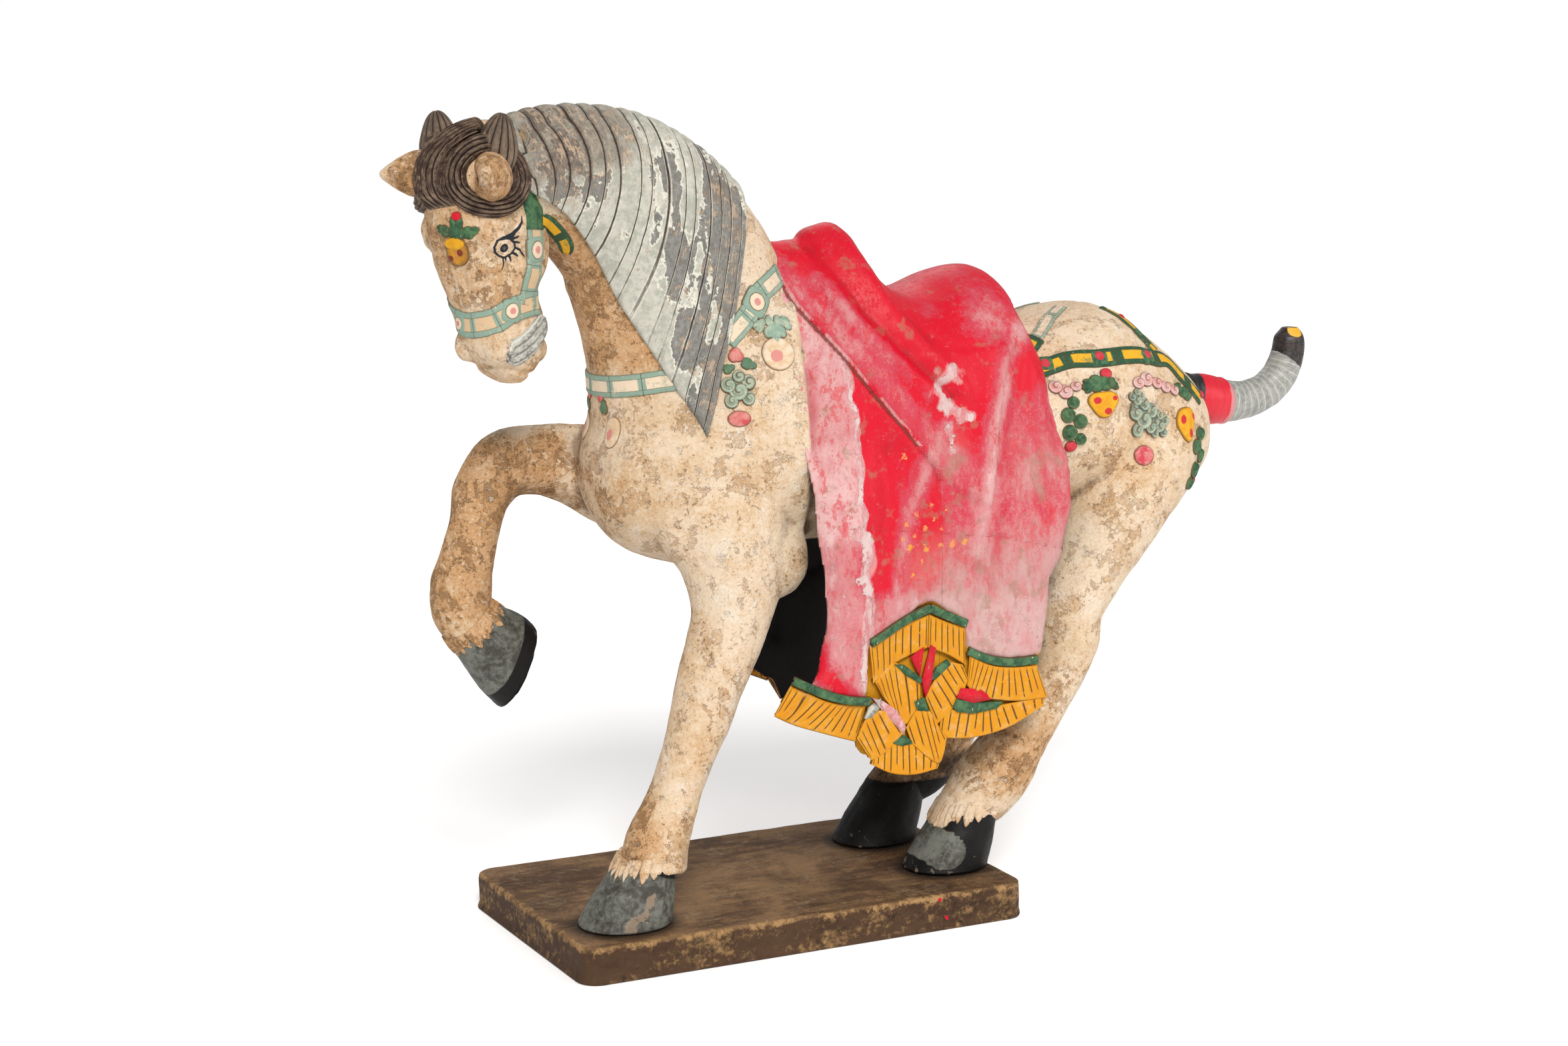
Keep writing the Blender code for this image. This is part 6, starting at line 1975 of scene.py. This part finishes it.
def make_croup_harness(looks, settings):
    """The straps over the rump with red studs, and the leaves, fruit and clouds that hang from them."""
    rump = surface("body_rear")
    bright = material("strap_croup", looks, strap_finish, looks.green, looks.gold, looks.green_light, 3.3,
        -0.03)
    dull = material("strap_croup_top", looks, strap_finish, looks.celadon, looks.slip, looks.moss, 2.6, 0.05)
    leaf_dark = material("leaf_rump", looks, enamel_finish, looks.green, looks.green_light, None, -0.02, 0.8)
    fruit = material("fruit_rump", looks, enamel_finish, looks.gold, looks.amber,
                     (looks.scarlet, ((0.26, 0.62, 0.14), (0.86, 0.66, 0.1), (0.6, 0.2, 0.14))), -0.03, 0.86)
    red = material("stud_red", looks, enamel_finish, looks.scarlet, looks.rose, None, -0.02, 0.8)
    pink = material("cloud_pink", looks, enamel_finish, looks.rose_soft, looks.faded, None, 0.01, 0.8, 1.25)
    blue = material("cloud_blue", looks, enamel_finish, looks.celadon_deep, looks.celadon_light, None, 0.0,
        0.8, 1.3)
    chain = material("chain_green", looks, enamel_finish, looks.green, looks.green_light, None, -0.02, 0.8)
    bulb = material("bulb_rump", looks, enamel_finish, looks.rose_soft, looks.rose, None, 0.01, 0.8)
    half, rise = settings.strap_width / MM / 2, settings.strap_rise / MM
    for side, word in ((1, "near"), (-1, "far")):

        def there(x, y, z):
            return (x, y * side, z)

        main, upper, rear = [[there(*p) for p in line] for line in (CROUP_MAIN, CROUP_UPPER, CROUP_REAR)]
        rim_piece([band(rump, main, half * 1.35, rise * 1.2)], f"croup_strap_{word}", bright)
        rim_piece([band(rump, upper[2:], half * 1.0, rise * 0.8)], f"croup_top_strap_{word}", dull)
        rim_piece([band(rump, upper[:3], half * 1.4, rise * 0.9), band(rump, rear, half * 1.3, rise * 0.9)],
                  f"croup_side_straps_{word}", bright)
        studs = [stud(rump, there(*p), 3.4, 3.2, 2.6) for p in CROUP_STUDS]
        studs += [stud(rump, there(*p), r, r * 0.8, 2.0) for *p, r in CROUP_BERRIES]
        rim_piece(studs, f"croup_studs_{word}", red)
        squares = [plaque(rump, there(*p), 6.0, 5.0, 1.9) for p in CROUP_SQUARES]
        leaves = [
            stud(rump, there(194, -56, 277), 11.0, 5.4, 2.4, leaf(7, 0.26), leaf_relief, 0),
            stud(rump, there(187, -57, 276), 5.0, 3.6, 2.6, leaf(3), leaf_relief, 40 * side),
            stud(rump, there(203, -55, 276), 5.0, 3.6, 2.6, leaf(3), leaf_relief, -40 * side),
            stud(rump, there(262, -44, 266), 8.0, 4.6, 2.2, leaf(5, 0.26), leaf_relief, -20 * side),
            stud(rump, there(256, -46, 270), 4.4, 3.4, 2.2, leaf(3), leaf_relief, 30 * side),
            stud(rump, there(236, -30, 300), 3.8, 3.2, 1.6),
        ]
        links = []
        for x, y, z, r in CROUP_LINKS:
            links.append(
                stud(rump, there(x, y, z), r, r * 0.95, 2.3, None, curl_relief(1.2, 0.7), sides=26, rings=18))
        rim_piece(links, f"croup_chains_{word}", chain)
        rim_piece(squares + leaves, f"croup_leaves_{word}", leaf_dark)
        fruits = [
            stud(rump, there(196, -59, 266), 10.0, 7.6, 2.2, lambda a: 1 - 0.12 * math.cos(3 * a + 1.5)),
            stud(rump, there(259, -48, 249), 8.6, 10.4, 2.4, lambda a: 1 - 0.1 * math.cos(3 * a + 1.5)),
        ]
        rim_piece(fruits, f"croup_fruit_{word}", fruit)
        pinks = []
        for x, y, z, r in CROUP_CURLS:
            pinks.append(
                stud(rump, there(x, y, z), r, r * 0.85, 2.0, None, curl_relief(1.3, 0.6), sides=26, rings=18))
        rim_piece(pinks, f"croup_pinks_{word}", pink)
        rim_piece([stud(rump, there(225, -58, 234), 6.4, 6.0, 1.7)], f"croup_bulb_{word}", bulb)
        blues = cloud(rump, there(224, -58, 255), 10.0, 1.9, side) + cloud(rump, there(236, -54, 250), 7.0,
            1.7, -side)
        blues += cloud(rump, there(219, -57, 266), 5.5, 1.6, side)
        rim_piece(blues, f"croup_clouds_{word}", blue)


# Hooves, tail, plinth and stage.

def hoof(spec, sole_normal=None):
    """A hoof from its coronet to its sole, longer at the toe."""
    (x0, y0, z0, half0, wide0), (x1, y1, z1, half1, wide1) = spec
    top, sole = figure(x0, y0, z0), figure(x1, y1, z1)
    if sole_normal is None:
        long_way, long_top = Vector((-1, 0, 0)), Vector((-1, 0, -0.15)).normalized()
        finish = 0.94
    else:
        long_way = Vector((0, 1, 0)).cross(sole_normal).normalized()
        long_top = (long_way + Vector((-0.5, 0, 0.1))).normalized()
        finish = 0.88
    rings = []
    for t in (-0.1, 0.0, 0.08, 0.2, 0.35, 0.5, 0.65, 0.8, 0.92, 0.98, 1.0):
        swell = t + 0.16 * math.sin(math.pi * max(t, 0)) + (0.10 if -0.01 < t < 0.1 else 0)
        axis = long_top.lerp(long_way, max(t, 0)).normalized()
        edge = finish if t == 1.0 else 1.0
        rings.append(ring_points(
            top.lerp(sole, t), Vector((0, 1, 0)), axis, (wide0 + (wide1 - wide0) * swell) * edge * MM,
            (half0 + (half1 - half0) * swell) * edge * MM, power=2.1, sides=72))
    return skin(rings)


def make_hooves(looks):
    """Four hooves and the ragged hair that ends over them."""
    finish = material("hoof", looks, hoof_finish)
    slip = material("slip", looks, slip_finish)
    # Each hoof's last number is how black it is; the far hind hoof's full black is painted shade.
    specs = (
        ("near_fore", NEAR_FORE_HOOF, None, 0.25), ("near_hind", NEAR_HIND_HOOF, None, 0.30),
        ("far_hind", FAR_HIND_HOOF, None, 1.0), ("raised", RAISED_HOOF, RAISED_SOLE_NORMAL, 0.25),
    )
    for word, spec, normal, dark in specs:
        bm = hoof(spec, normal)
        bmesh.ops.subdivide_edges(bm, edges=bm.edges[:], cuts=1, use_grid_fill=True)
        mesh = bpy.data.meshes.new("hoof")
        bm.to_mesh(mesh)
        bm.free()
        at = layout(points_of(mesh))
        (x0, y0, z0, half0, wide0), (x1, y1, z1, half1, wide1) = spec
        push(mesh, (lumps(at, 9, 21) * 0.5 + lumps(at, 3.5, 22) * 0.25) * step(np.abs(at[:, 2]), 0.2, 3.0))
        give(mesh, "hollow", hollows(mesh))
        top, sole = np.array((x0, y0, z0), float), np.array((x1, y1, z1), float)
        along = (at - top) @ (sole - top) / ((sole - top) @ (sole - top))
        soot = dark + 0.55 * step(along, 0.18, 0.02) + (0.8 * step(along, 0.82, 0.95) if normal else 0)
        if normal is not None:
            soot = 1.1 * step((at - sole) @ np.array(normal), -11.0, -7.5)
        if word == "near_hind":
            soot = 1.1 * step(np.hypot((at[:, 0] - 100) / 17, (at[:, 2] - 14) / 15), 0.66, 0.8)
        give(mesh, "soot", np.clip(soot, 0, 1.2))
        scuff = from_line(at[:, [0, 2]], ((-91, 17), (-95, 10), (-101, 6), (-104, 4)))
        give(mesh, "scuff", bell(scuff, 3.0) * (word == "near_fore")
            + 0.25 * step(along, 0.8, 1.0) * (normal is None))
        settled(mesh, f"hoof_{word}", finish, stands_for="horse")
    tongues = []
    for word, spec, normal, dark in specs[:2] + specs[3:]:
        (x0, y0, z0, half0, wide0), (x1, y1, z1, half1, wide1) = spec
        top, sole = figure(x0, y0, z0), figure(x1, y1, z1)
        ahead = (sole - top).normalized()
        long_top = Vector((-1, 0, -0.15)).normalized() if normal is None else (
            Vector((0, 1, 0)).cross(normal).normalized() + Vector((-0.5, 0, 0.1))).normalized()
        count = 34
        for i in range(count):
            angle = 2 * math.pi * (i + 0.5 + 0.25 * math.sin(i * 3.7)) / count
            reach = 2.8 + 1.2 * math.sin(i * 2.4) + 0.9 * math.sin(i * 5.1)
            rows = []
            for t in (-1.0, -0.6, -0.25, 0.1, 0.45, 0.8, 1.0):
                slide = t * (reach if t > 0 else 7.0)
                grow = 1.0 + (0.045 * slide if t > 0 else 0.012 * slide)
                out = (Vector((0, 1, 0)) * math.cos(angle) * wide0
                    + long_top * math.sin(angle) * half0) * grow * MM
                point = top + out + ahead * (slide + 1.0) * MM
                local = layout([point])[0]
                width = 2.9 * (1 - max(0, t) ** 1.6 * 0.85)
                rows.append((*local, width, width * 0.5))
            tongues.append(tube(rows, Vector((0, 0, 1)).cross(ahead).normalized() if abs(ahead.z) < 0.9
                else Vector((0, 1, 0)), 2.0, 2, 10))
    bm = merged(tongues)
    made = piece(bm, "hair_over_hooves", slip, stands_for="horse")
    count = len(made.data.vertices)
    give(made.data, "hollow", hollows(made.data, 1, 2))
    away = layout(points_of(made.data))
    give(made.data, "tan", np.where(away[:, 2] > 80, 0.9, 0.35))
    give(made.data, "soot", np.zeros(count))
    give(made.data, "ink", np.zeros(count))


def make_tail(looks):
    """The tail: bound at its root, ringed like twisted hair and curled up at its end."""
    bm = tube([(*row, row[3]) for row in TAIL], steps=14, sides=64)
    mesh = bpy.data.meshes.new("tail")
    bm.to_mesh(mesh)
    bm.free()
    at = layout(points_of(mesh))
    x, y, z = at.T
    height = lumps(at, 6, 31) * 0.3 + 0.8 * bell(x - 317.5, 1.6)
    height += 0.5 * bell(x - 307, 8) - 0.6 * bell(x - 321, 1.0) - 0.7 * bell(x - 296, 1.2)
    push(mesh, height)
    give(mesh, "hollow", hollows(mesh))
    give(mesh, "tip", step(z + 0.75 * (x - 362) - 276, -4, 4) * (x > 345))
    give(mesh, "fleck", step(np.linalg.norm(at - (367, -6, 293), axis=1), 6.0, 3.6))
    settled(mesh, "tail", material("tail", looks, tail_finish), stands_for="horse")


def make_plinth(looks):
    """The slab: rounded corners and edges, a hand-rubbed uneven surface."""
    low, high = PLINTH_LOW, PLINTH_HIGH
    bm = bmesh.new()
    bmesh.ops.create_cube(bm, size=1.0)
    bmesh.ops.scale(bm, vec=high - low, verts=bm.verts)
    bmesh.ops.translate(bm, vec=(high + low) / 2, verts=bm.verts)
    upright = [e for e in bm.edges if abs(e.verts[0].co.z - e.verts[1].co.z) > 0.01]
    bmesh.ops.bevel(bm, geom=upright, offset=0.012, segments=8, affect="EDGES", profile=0.5, material=-1)
    rim = [e for e in bm.edges if min(v.co.z for v in e.verts) > high.z - 0.001]
    bmesh.ops.bevel(bm, geom=rim, offset=0.003, segments=4, affect="EDGES", profile=0.5, material=-1)
    rim = [e for e in bm.edges if max(v.co.z for v in e.verts) < low.z + 0.0001]
    bmesh.ops.bevel(bm, geom=rim, offset=0.0012, segments=2, affect="EDGES", profile=0.5, material=-1)
    gap = 0.0022
    for axis in range(3):
        span = high[axis] - low[axis]
        for i in range(1, int(span / gap)):
            level = Vector((0, 0, 0))
            level[axis] = low[axis] + span * i / int(span / gap)
            way = Vector((0, 0, 0))
            way[axis] = 1
            bmesh.ops.bisect_plane(
                bm, geom=bm.verts[:] + bm.edges[:] + bm.faces[:], plane_co=level, plane_no=way)
    mesh = bpy.data.meshes.new("plinth")
    bm.to_mesh(mesh)
    bm.free()
    at = points_of(mesh)
    grain = layout(at)
    normals = normals_of(mesh)
    room = np.minimum(high.z - at[:, 2], 1.0)
    under = step(at[:, 2], low.z + 0.0015, low.z + 0.004)
    height = lumps(grain, 30, 41) * 0.7 + lumps(grain, 11, 42) * 0.4 + lumps(grain, 4.5, 43) * 0.2 - 0.8
    height *= under * np.where(normals[:, 2] > 0.5, 0.4, 1.0)
    push(mesh, np.minimum(height, 0.0))
    give(mesh, "hollow", hollows(mesh))
    edge = np.minimum(np.abs(at[:, 0] - low.x), np.abs(at[:, 0] - high.x))
    edge = np.minimum(edge, np.minimum(np.abs(at[:, 1] - low.y), np.abs(at[:, 1] - high.y)))
    give(mesh, "rim", step(np.maximum(edge, room), 0.009, 0.001))
    shade = np.zeros(len(at))
    for spec in (NEAR_FORE_HOOF, NEAR_HIND_HOOF, FAR_HIND_HOOF):
        x, y, z, half, wide = spec[1]
        away = np.hypot((grain[:, 0] - x) / half, (grain[:, 1] - y) / wide)
        shade = np.maximum(shade, step(away, 1.4, 1.0) * (at[:, 2] > high.z - 0.002))
    give(mesh, "shade", shade)
    drip = np.zeros(len(at))
    for x, z, size in ((79.5, -3.2, 2.2), (84, -13.5, 2.4)):
        drip = np.maximum(drip, step(np.hypot(grain[:, 0] - x, (grain[:, 2] - z) * 1.4), size, size * 0.5))
    give(mesh, "drip", drip * (at[:, 1] < low.y + 0.006))
    settled(mesh, "plinth_slab", material("plinth", looks, plinth_finish), "plinth")


def studio_floor(name, looks):
    """Plain pale paper with the faintest mottling."""
    g = Graph(name, 0.9)
    tone = g.noise(300, 3, 0.5)
    g.shader.inputs["Emission Color"].default_value = (1.0, 1.0, 1.0, 1.0)
    g.shader.inputs["Emission Strength"].default_value = 0.16
    return g.done(g.mix(tone.rise(0.3, 0.7), looks.floor, (1.0, 1.0, 1.0)), None)


def lamp(name, place, target, size, power, tint):
    light = bpy.data.lights.new(name, "AREA")
    light.shape = "DISK"
    light.size = size
    light.energy = power
    light.color = tint
    made = bpy.data.objects.new(name, light)
    made.location = place
    made.rotation_mode = "QUATERNION"
    made.rotation_quaternion = (Vector(target) - Vector(place)).to_track_quat("-Z", "Y")
    bpy.context.scene.collection.objects.link(made)


def make_stage(looks, settings):
    """A pale floor, soft lamps and the camera at the photograph's angle."""
    bm = bmesh.new()
    bmesh.ops.create_grid(bm, x_segments=8, y_segments=8, size=4.0)
    mesh = bpy.data.meshes.new("studio_floor")
    bm.to_mesh(mesh)
    bm.free()
    floor = bpy.data.objects.new("studio_floor", mesh)
    bpy.context.scene.collection.objects.link(floor)
    mesh.materials.append(material("floor", looks, studio_floor))
    world = bpy.data.worlds.new("studio")
    world.use_nodes = True
    background = world.node_tree.nodes["Background"]
    seen = world.node_tree.nodes.new("ShaderNodeLightPath").outputs["Is Camera Ray"]
    strength = world.node_tree.nodes.new("ShaderNodeMapRange")
    strength.inputs["To Min"].default_value = settings.room_light
    strength.inputs["To Max"].default_value = 1.0
    world.node_tree.links.new(seen, strength.inputs["Value"])
    world.node_tree.links.new(strength.outputs[0], background.inputs["Strength"])
    background.inputs["Color"].default_value = (1.0, 1.0, 1.0, 1.0)
    bpy.context.scene.world = world
    sky = bpy.data.lights.new("key", "SUN")
    sky.angle = KEY_SPREAD
    sky.energy = KEY_POWER * settings.lamp_light
    sky.color = KEY_TINT
    key = bpy.data.objects.new("key", sky)
    key.rotation_mode = "QUATERNION"
    key.rotation_quaternion = Vector(KEY_WAY).to_track_quat("-Z", "Y")
    bpy.context.scene.collection.objects.link(key)
    for name, place, size, power in LAMPS:
        lamp(name, place, LAMP_TARGET, size, power * settings.lamp_light, WHITE)
    level = math.cos(CAMERA_ELEVATION)
    back = Vector((
        math.sin(CAMERA_AZIMUTH) * level, -math.cos(CAMERA_AZIMUTH) * level, math.sin(CAMERA_ELEVATION)))
    camera = bpy.data.cameras.new("camera")
    camera.sensor_width = SENSOR_WIDTH
    camera.lens = FOCAL_SHARE * SENSOR_WIDTH
    camera.clip_start = 0.05
    camera.clip_end = 50.0
    made = bpy.data.objects.new("camera", camera)
    made.location = CAMERA_PLACE
    made.rotation_mode = "QUATERNION"
    made.rotation_quaternion = (-back).to_track_quat("-Z", "Y")
    bpy.context.scene.collection.objects.link(made)
    bpy.context.scene.camera = made
    bpy.context.scene.view_settings.view_transform = "Standard"


# The add-on.

def colour(name, description, *rgb):
    return bpy.props.FloatVectorProperty(
        name=name, description=description, subtype="COLOR", size=3, min=0.0, max=1.0, default=paint(*rgb))


class HorseSizes(bpy.types.PropertyGroup):
    """Sizes that a user may change."""
    mane_locks: bpy.props.IntProperty(
        name="Mane locks", description="How many locks each fall of the mane is combed into", default=16,
        min=6, max=30)
    mane_rise: bpy.props.FloatProperty(
        name="Mane rise", description="How far the mane stands off the neck", default=0.0032, unit="LENGTH")
    groove_depth: bpy.props.FloatProperty(
        name="Groove depth", description="Depth of the grooves between locks", default=0.0017, unit="LENGTH")
    cloth_thickness: bpy.props.FloatProperty(
        name="Cloth thickness", description="Thickness of a hanging flap", default=0.006, unit="LENGTH")
    strap_width: bpy.props.FloatProperty(
        name="Strap width", description="Width of the bridle straps", default=0.0085, unit="LENGTH")
    strap_rise: bpy.props.FloatProperty(
        name="Strap rise", description="How far a strap stands off the clay", default=0.0012, unit="LENGTH")
    room_light: bpy.props.FloatProperty(
        name="Room light", description="Strength of the light from all round", default=0.42, min=0.0)
    lamp_light: bpy.props.FloatProperty(
        name="Lamp light", description="Strength of the studio lamps", default=1.0, min=0.0)


class HorseLooks(bpy.types.PropertyGroup):
    """Paints of the horse, its cloth and its plinth."""
    slip: colour("Slip", "Cream slip on the body", 240, 218, 190)
    chalk: colour("Chalk", "Palest rubbed slip", 248, 236, 218)
    buff: colour("Buff", "Warm stained slip", 226, 192, 152)
    tan: colour("Tan", "Tan of the face and the neck", 208, 160, 112)
    ochre: colour("Ochre", "Ochre stains", 198, 150, 98)
    # Brown earth, also laid as painted shade in the hollows.
    soil_and_shade: colour("Soil", "Brown soil in the hollows", 112, 80, 50)
    soot: colour("Soot", "Black paint and deep shade", 10, 7, 6)
    ink: colour("Ink", "Ink of the painted eye", 38, 44, 50)
    mane: colour("Mane", "Grey-green of the mane", 178, 178, 164)
    mane_pale: colour("Pale mane", "Lightest paint of the mane", 214, 211, 198)
    mane_rim: colour("Mane rim", "Light rim of a flaked patch", 238, 234, 218)
    mane_dark: colour("Dark mane", "Blue-grey below the mane's paint", 146, 144, 138)
    mane_deep: colour("Deep mane", "Darkest blue-grey of the mane", 108, 107, 103)
    hair_tan: colour("Hair tan", "Bare clay showing through the mane", 206, 178, 150)
    tail: colour("Tail", "Blue-grey of the tail", 138, 140, 136)
    tail_pale: colour("Pale tail", "Lighter grey of the tail", 176, 174, 166)
    groove: colour("Groove", "Dark incised lines", 62, 44, 34)
    umber_light: colour("Light umber", "Thin brown wash", 160, 138, 116)
    hair: colour("Hair", "Dark brown of the forelock", 62, 44, 36)
    hair_light: colour("Light hair", "Rubbed ridges of the forelock", 138, 116, 96)
    hair_grey: colour("Grey hair", "Brown-grey of the tufts", 96, 82, 72)
    red: colour("Red", "Strong red of the cloth", 222, 4, 40)
    rose: colour("Rose", "Rubbed red", 210, 66, 84)
    blush: colour("Blush", "Well worn pink", 214, 136, 138)
    faded: colour("Faded", "Almost bare pink", 234, 196, 192)
    dust: colour("Dust", "Greyed pink of the cloth's lower part", 200, 166, 158)
    shell: colour("Shell", "Chalk below a lost flake", 226, 208, 204)
    peach_deep: colour("Deep peach", "Orange flecks on the cloth", 240, 150, 96)
    wine: colour("Wine", "Deep red in the folds", 156, 22, 30)
    seam: colour("Seam", "Dark line along the cloth's edge", 122, 62, 48)
    moss: colour("Moss", "Grey-green earth stain", 160, 130, 104)
    gold: colour("Gold", "Yellow paint", 238, 178, 36)
    amber: colour("Amber", "Deeper yellow", 226, 156, 20)
    orange: colour("Orange", "Orange of the fringe", 226, 148, 12)
    peach: colour("Peach", "Pale orange where paint is thin", 232, 172, 104)
    olive: colour("Olive", "Soiled orange", 166, 116, 34)
    umber_gold: colour("Umber gold", "Brown over yellow", 196, 138, 62)
    green: colour("Green", "Dark green of leaves and hems", 44, 84, 58)
    green_light: colour("Light green", "Thinner green", 86, 124, 84)
    green_soft: colour("Soft green", "Worn green", 96, 128, 104)
    celadon: colour("Celadon", "Pale grey-green of the bridle", 146, 172, 154)
    celadon_light: colour("Light celadon", "Palest grey-green", 184, 196, 172)
    celadon_deep: colour("Deep celadon", "Blue-green of the clouds", 118, 148, 138)
    scarlet: colour("Scarlet", "Red of studs and berries", 206, 44, 52)
    scarlet_dark: colour("Dark scarlet", "Dark red spots", 140, 30, 24)
    rose_soft: colour("Soft rose", "Pink of bosses and clouds", 222, 146, 136)
    rose_deep: colour("Deep rose", "Pinkish red of buds", 206, 84, 84)
    hoof: colour("Hoof", "Grey of the hooves", 70, 67, 60)
    hoof_light: colour("Light hoof", "Blue-grey of the hooves", 122, 124, 115)
    slab: colour("Slab", "Brown of the plinth", 150, 116, 80)
    slab_dark: colour("Dark slab", "Dark patches of the plinth", 96, 66, 40)
    slab_deep: colour("Deep slab", "Dark brown of the plinth's sides", 66, 42, 26)
    slab_pale: colour("Pale slab", "Dusty patches of the plinth", 178, 150, 116)
    slab_gold: colour("Golden slab", "Rubbed clay at the plinth's edges", 192, 150, 98)
    floor: bpy.props.FloatVectorProperty(
        name="Floor", description="Studio floor", subtype="COLOR", size=3, default=(0.97, 0.97, 0.97))


class HORSE_OT_stage(bpy.types.Operator):
    """Lay the floor and set the lamps and the camera"""
    bl_idname = "horse.stage"
    bl_label = "Set the stage"

    def execute(self, context):
        looks, sizes = context.scene.horse_looks, context.scene.horse_sizes
        make_stage(looks, sizes)
        return {"FINISHED"}


class HORSE_OT_plinth(bpy.types.Operator):
    """Model the weathered slab"""
    bl_idname = "horse.plinth"
    bl_label = "Make the plinth"

    def execute(self, context):
        looks = context.scene.horse_looks
        make_plinth(looks)
        return {"FINISHED"}


class HORSE_OT_body(bpy.types.Operator):
    """Model the body, neck and legs"""
    bl_idname = "horse.body"
    bl_label = "Model the body"

    def execute(self, context):
        looks = context.scene.horse_looks
        make_body(looks)
        return {"FINISHED"}


class HORSE_OT_head(bpy.types.Operator):
    """Model the head and paint its eyes, and add the ears"""
    bl_idname = "horse.head"
    bl_label = "Model the head"

    def execute(self, context):
        looks = context.scene.horse_looks
        make_head(looks)
        make_ears(looks)
        return {"FINISHED"}


class HORSE_OT_hair(bpy.types.Operator):
    """Comb the forelock, the tufts and the mane"""
    bl_idname = "horse.hair"
    bl_label = "Comb the hair"

    def execute(self, context):
        looks, sizes = context.scene.horse_looks, context.scene.horse_sizes
        make_forelock(looks)
        make_tufts(looks)
        make_mane(looks, sizes)
        return {"FINISHED"}


class HORSE_OT_cloth(bpy.types.Operator):
    """Lay the red cloth over the saddle"""
    bl_idname = "horse.cloth"
    bl_label = "Lay the cloth"

    def execute(self, context):
        looks, sizes = context.scene.horse_looks, context.scene.horse_sizes
        make_cloth(looks, sizes)
        return {"FINISHED"}


class HORSE_OT_fringes(bpy.types.Operator):
    """Hang the fringes at the cloth's foot"""
    bl_idname = "horse.fringes"
    bl_label = "Hang the fringes"

    def execute(self, context):
        looks = context.scene.horse_looks
        make_fringes(looks)
        return {"FINISHED"}


class HORSE_OT_harness(bpy.types.Operator):
    """Fit the bridle, the breast band and the croup straps with their ornaments"""
    bl_idname = "horse.harness"
    bl_label = "Fit the harness"

    def execute(self, context):
        looks, sizes = context.scene.horse_looks, context.scene.horse_sizes
        make_bridle(looks, sizes)
        make_breast_harness(looks, sizes)
        make_croup_harness(looks, sizes)
        return {"FINISHED"}


class HORSE_OT_hooves(bpy.types.Operator):
    """Model the hooves and the hair over them"""
    bl_idname = "horse.hooves"
    bl_label = "Model the hooves"

    def execute(self, context):
        looks = context.scene.horse_looks
        make_hooves(looks)
        return {"FINISHED"}


class HORSE_OT_tail(bpy.types.Operator):
    """Model the bound tail"""
    bl_idname = "horse.tail"
    bl_label = "Model the tail"

    def execute(self, context):
        looks = context.scene.horse_looks
        make_tail(looks)
        return {"FINISHED"}


class HORSE_PT_panel(bpy.types.Panel):
    """Lists the steps that make the horse"""
    bl_idname = "HORSE_PT_panel"
    bl_label = "Terracotta horse"
    bl_space_type = "VIEW_3D"
    bl_region_type = "UI"
    bl_category = "Horse"

    def draw(self, context):
        for operator in OPERATORS:
            self.layout.operator(operator.bl_idname)
        for group in (context.scene.horse_sizes, context.scene.horse_looks):
            box = self.layout.box()
            for name in group.__annotations__:
                box.prop(group, name)


OPERATORS = (
    HORSE_OT_stage, HORSE_OT_plinth, HORSE_OT_body, HORSE_OT_head, HORSE_OT_hair, HORSE_OT_cloth,
    HORSE_OT_fringes,
    HORSE_OT_harness, HORSE_OT_hooves, HORSE_OT_tail,
)
CLASSES = (HorseSizes, HorseLooks, *OPERATORS, HORSE_PT_panel)


def register():
    for kind in CLASSES:
        bpy.utils.register_class(kind)
    bpy.types.Scene.horse_sizes = bpy.props.PointerProperty(type=HorseSizes)
    bpy.types.Scene.horse_looks = bpy.props.PointerProperty(type=HorseLooks)


def unregister():
    del bpy.types.Scene.horse_looks
    del bpy.types.Scene.horse_sizes
    for kind in reversed(CLASSES):
        bpy.utils.unregister_class(kind)


def main():
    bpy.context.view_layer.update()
    register()
    bpy.ops.horse.stage()
    bpy.ops.horse.plinth()
    bpy.ops.horse.body()
    bpy.ops.horse.head()
    bpy.ops.horse.hair()
    bpy.ops.horse.cloth()
    bpy.ops.horse.fringes()
    bpy.ops.horse.harness()
    bpy.ops.horse.hooves()
    bpy.ops.horse.tail()
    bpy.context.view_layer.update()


if __name__ == "__main__":
    main()
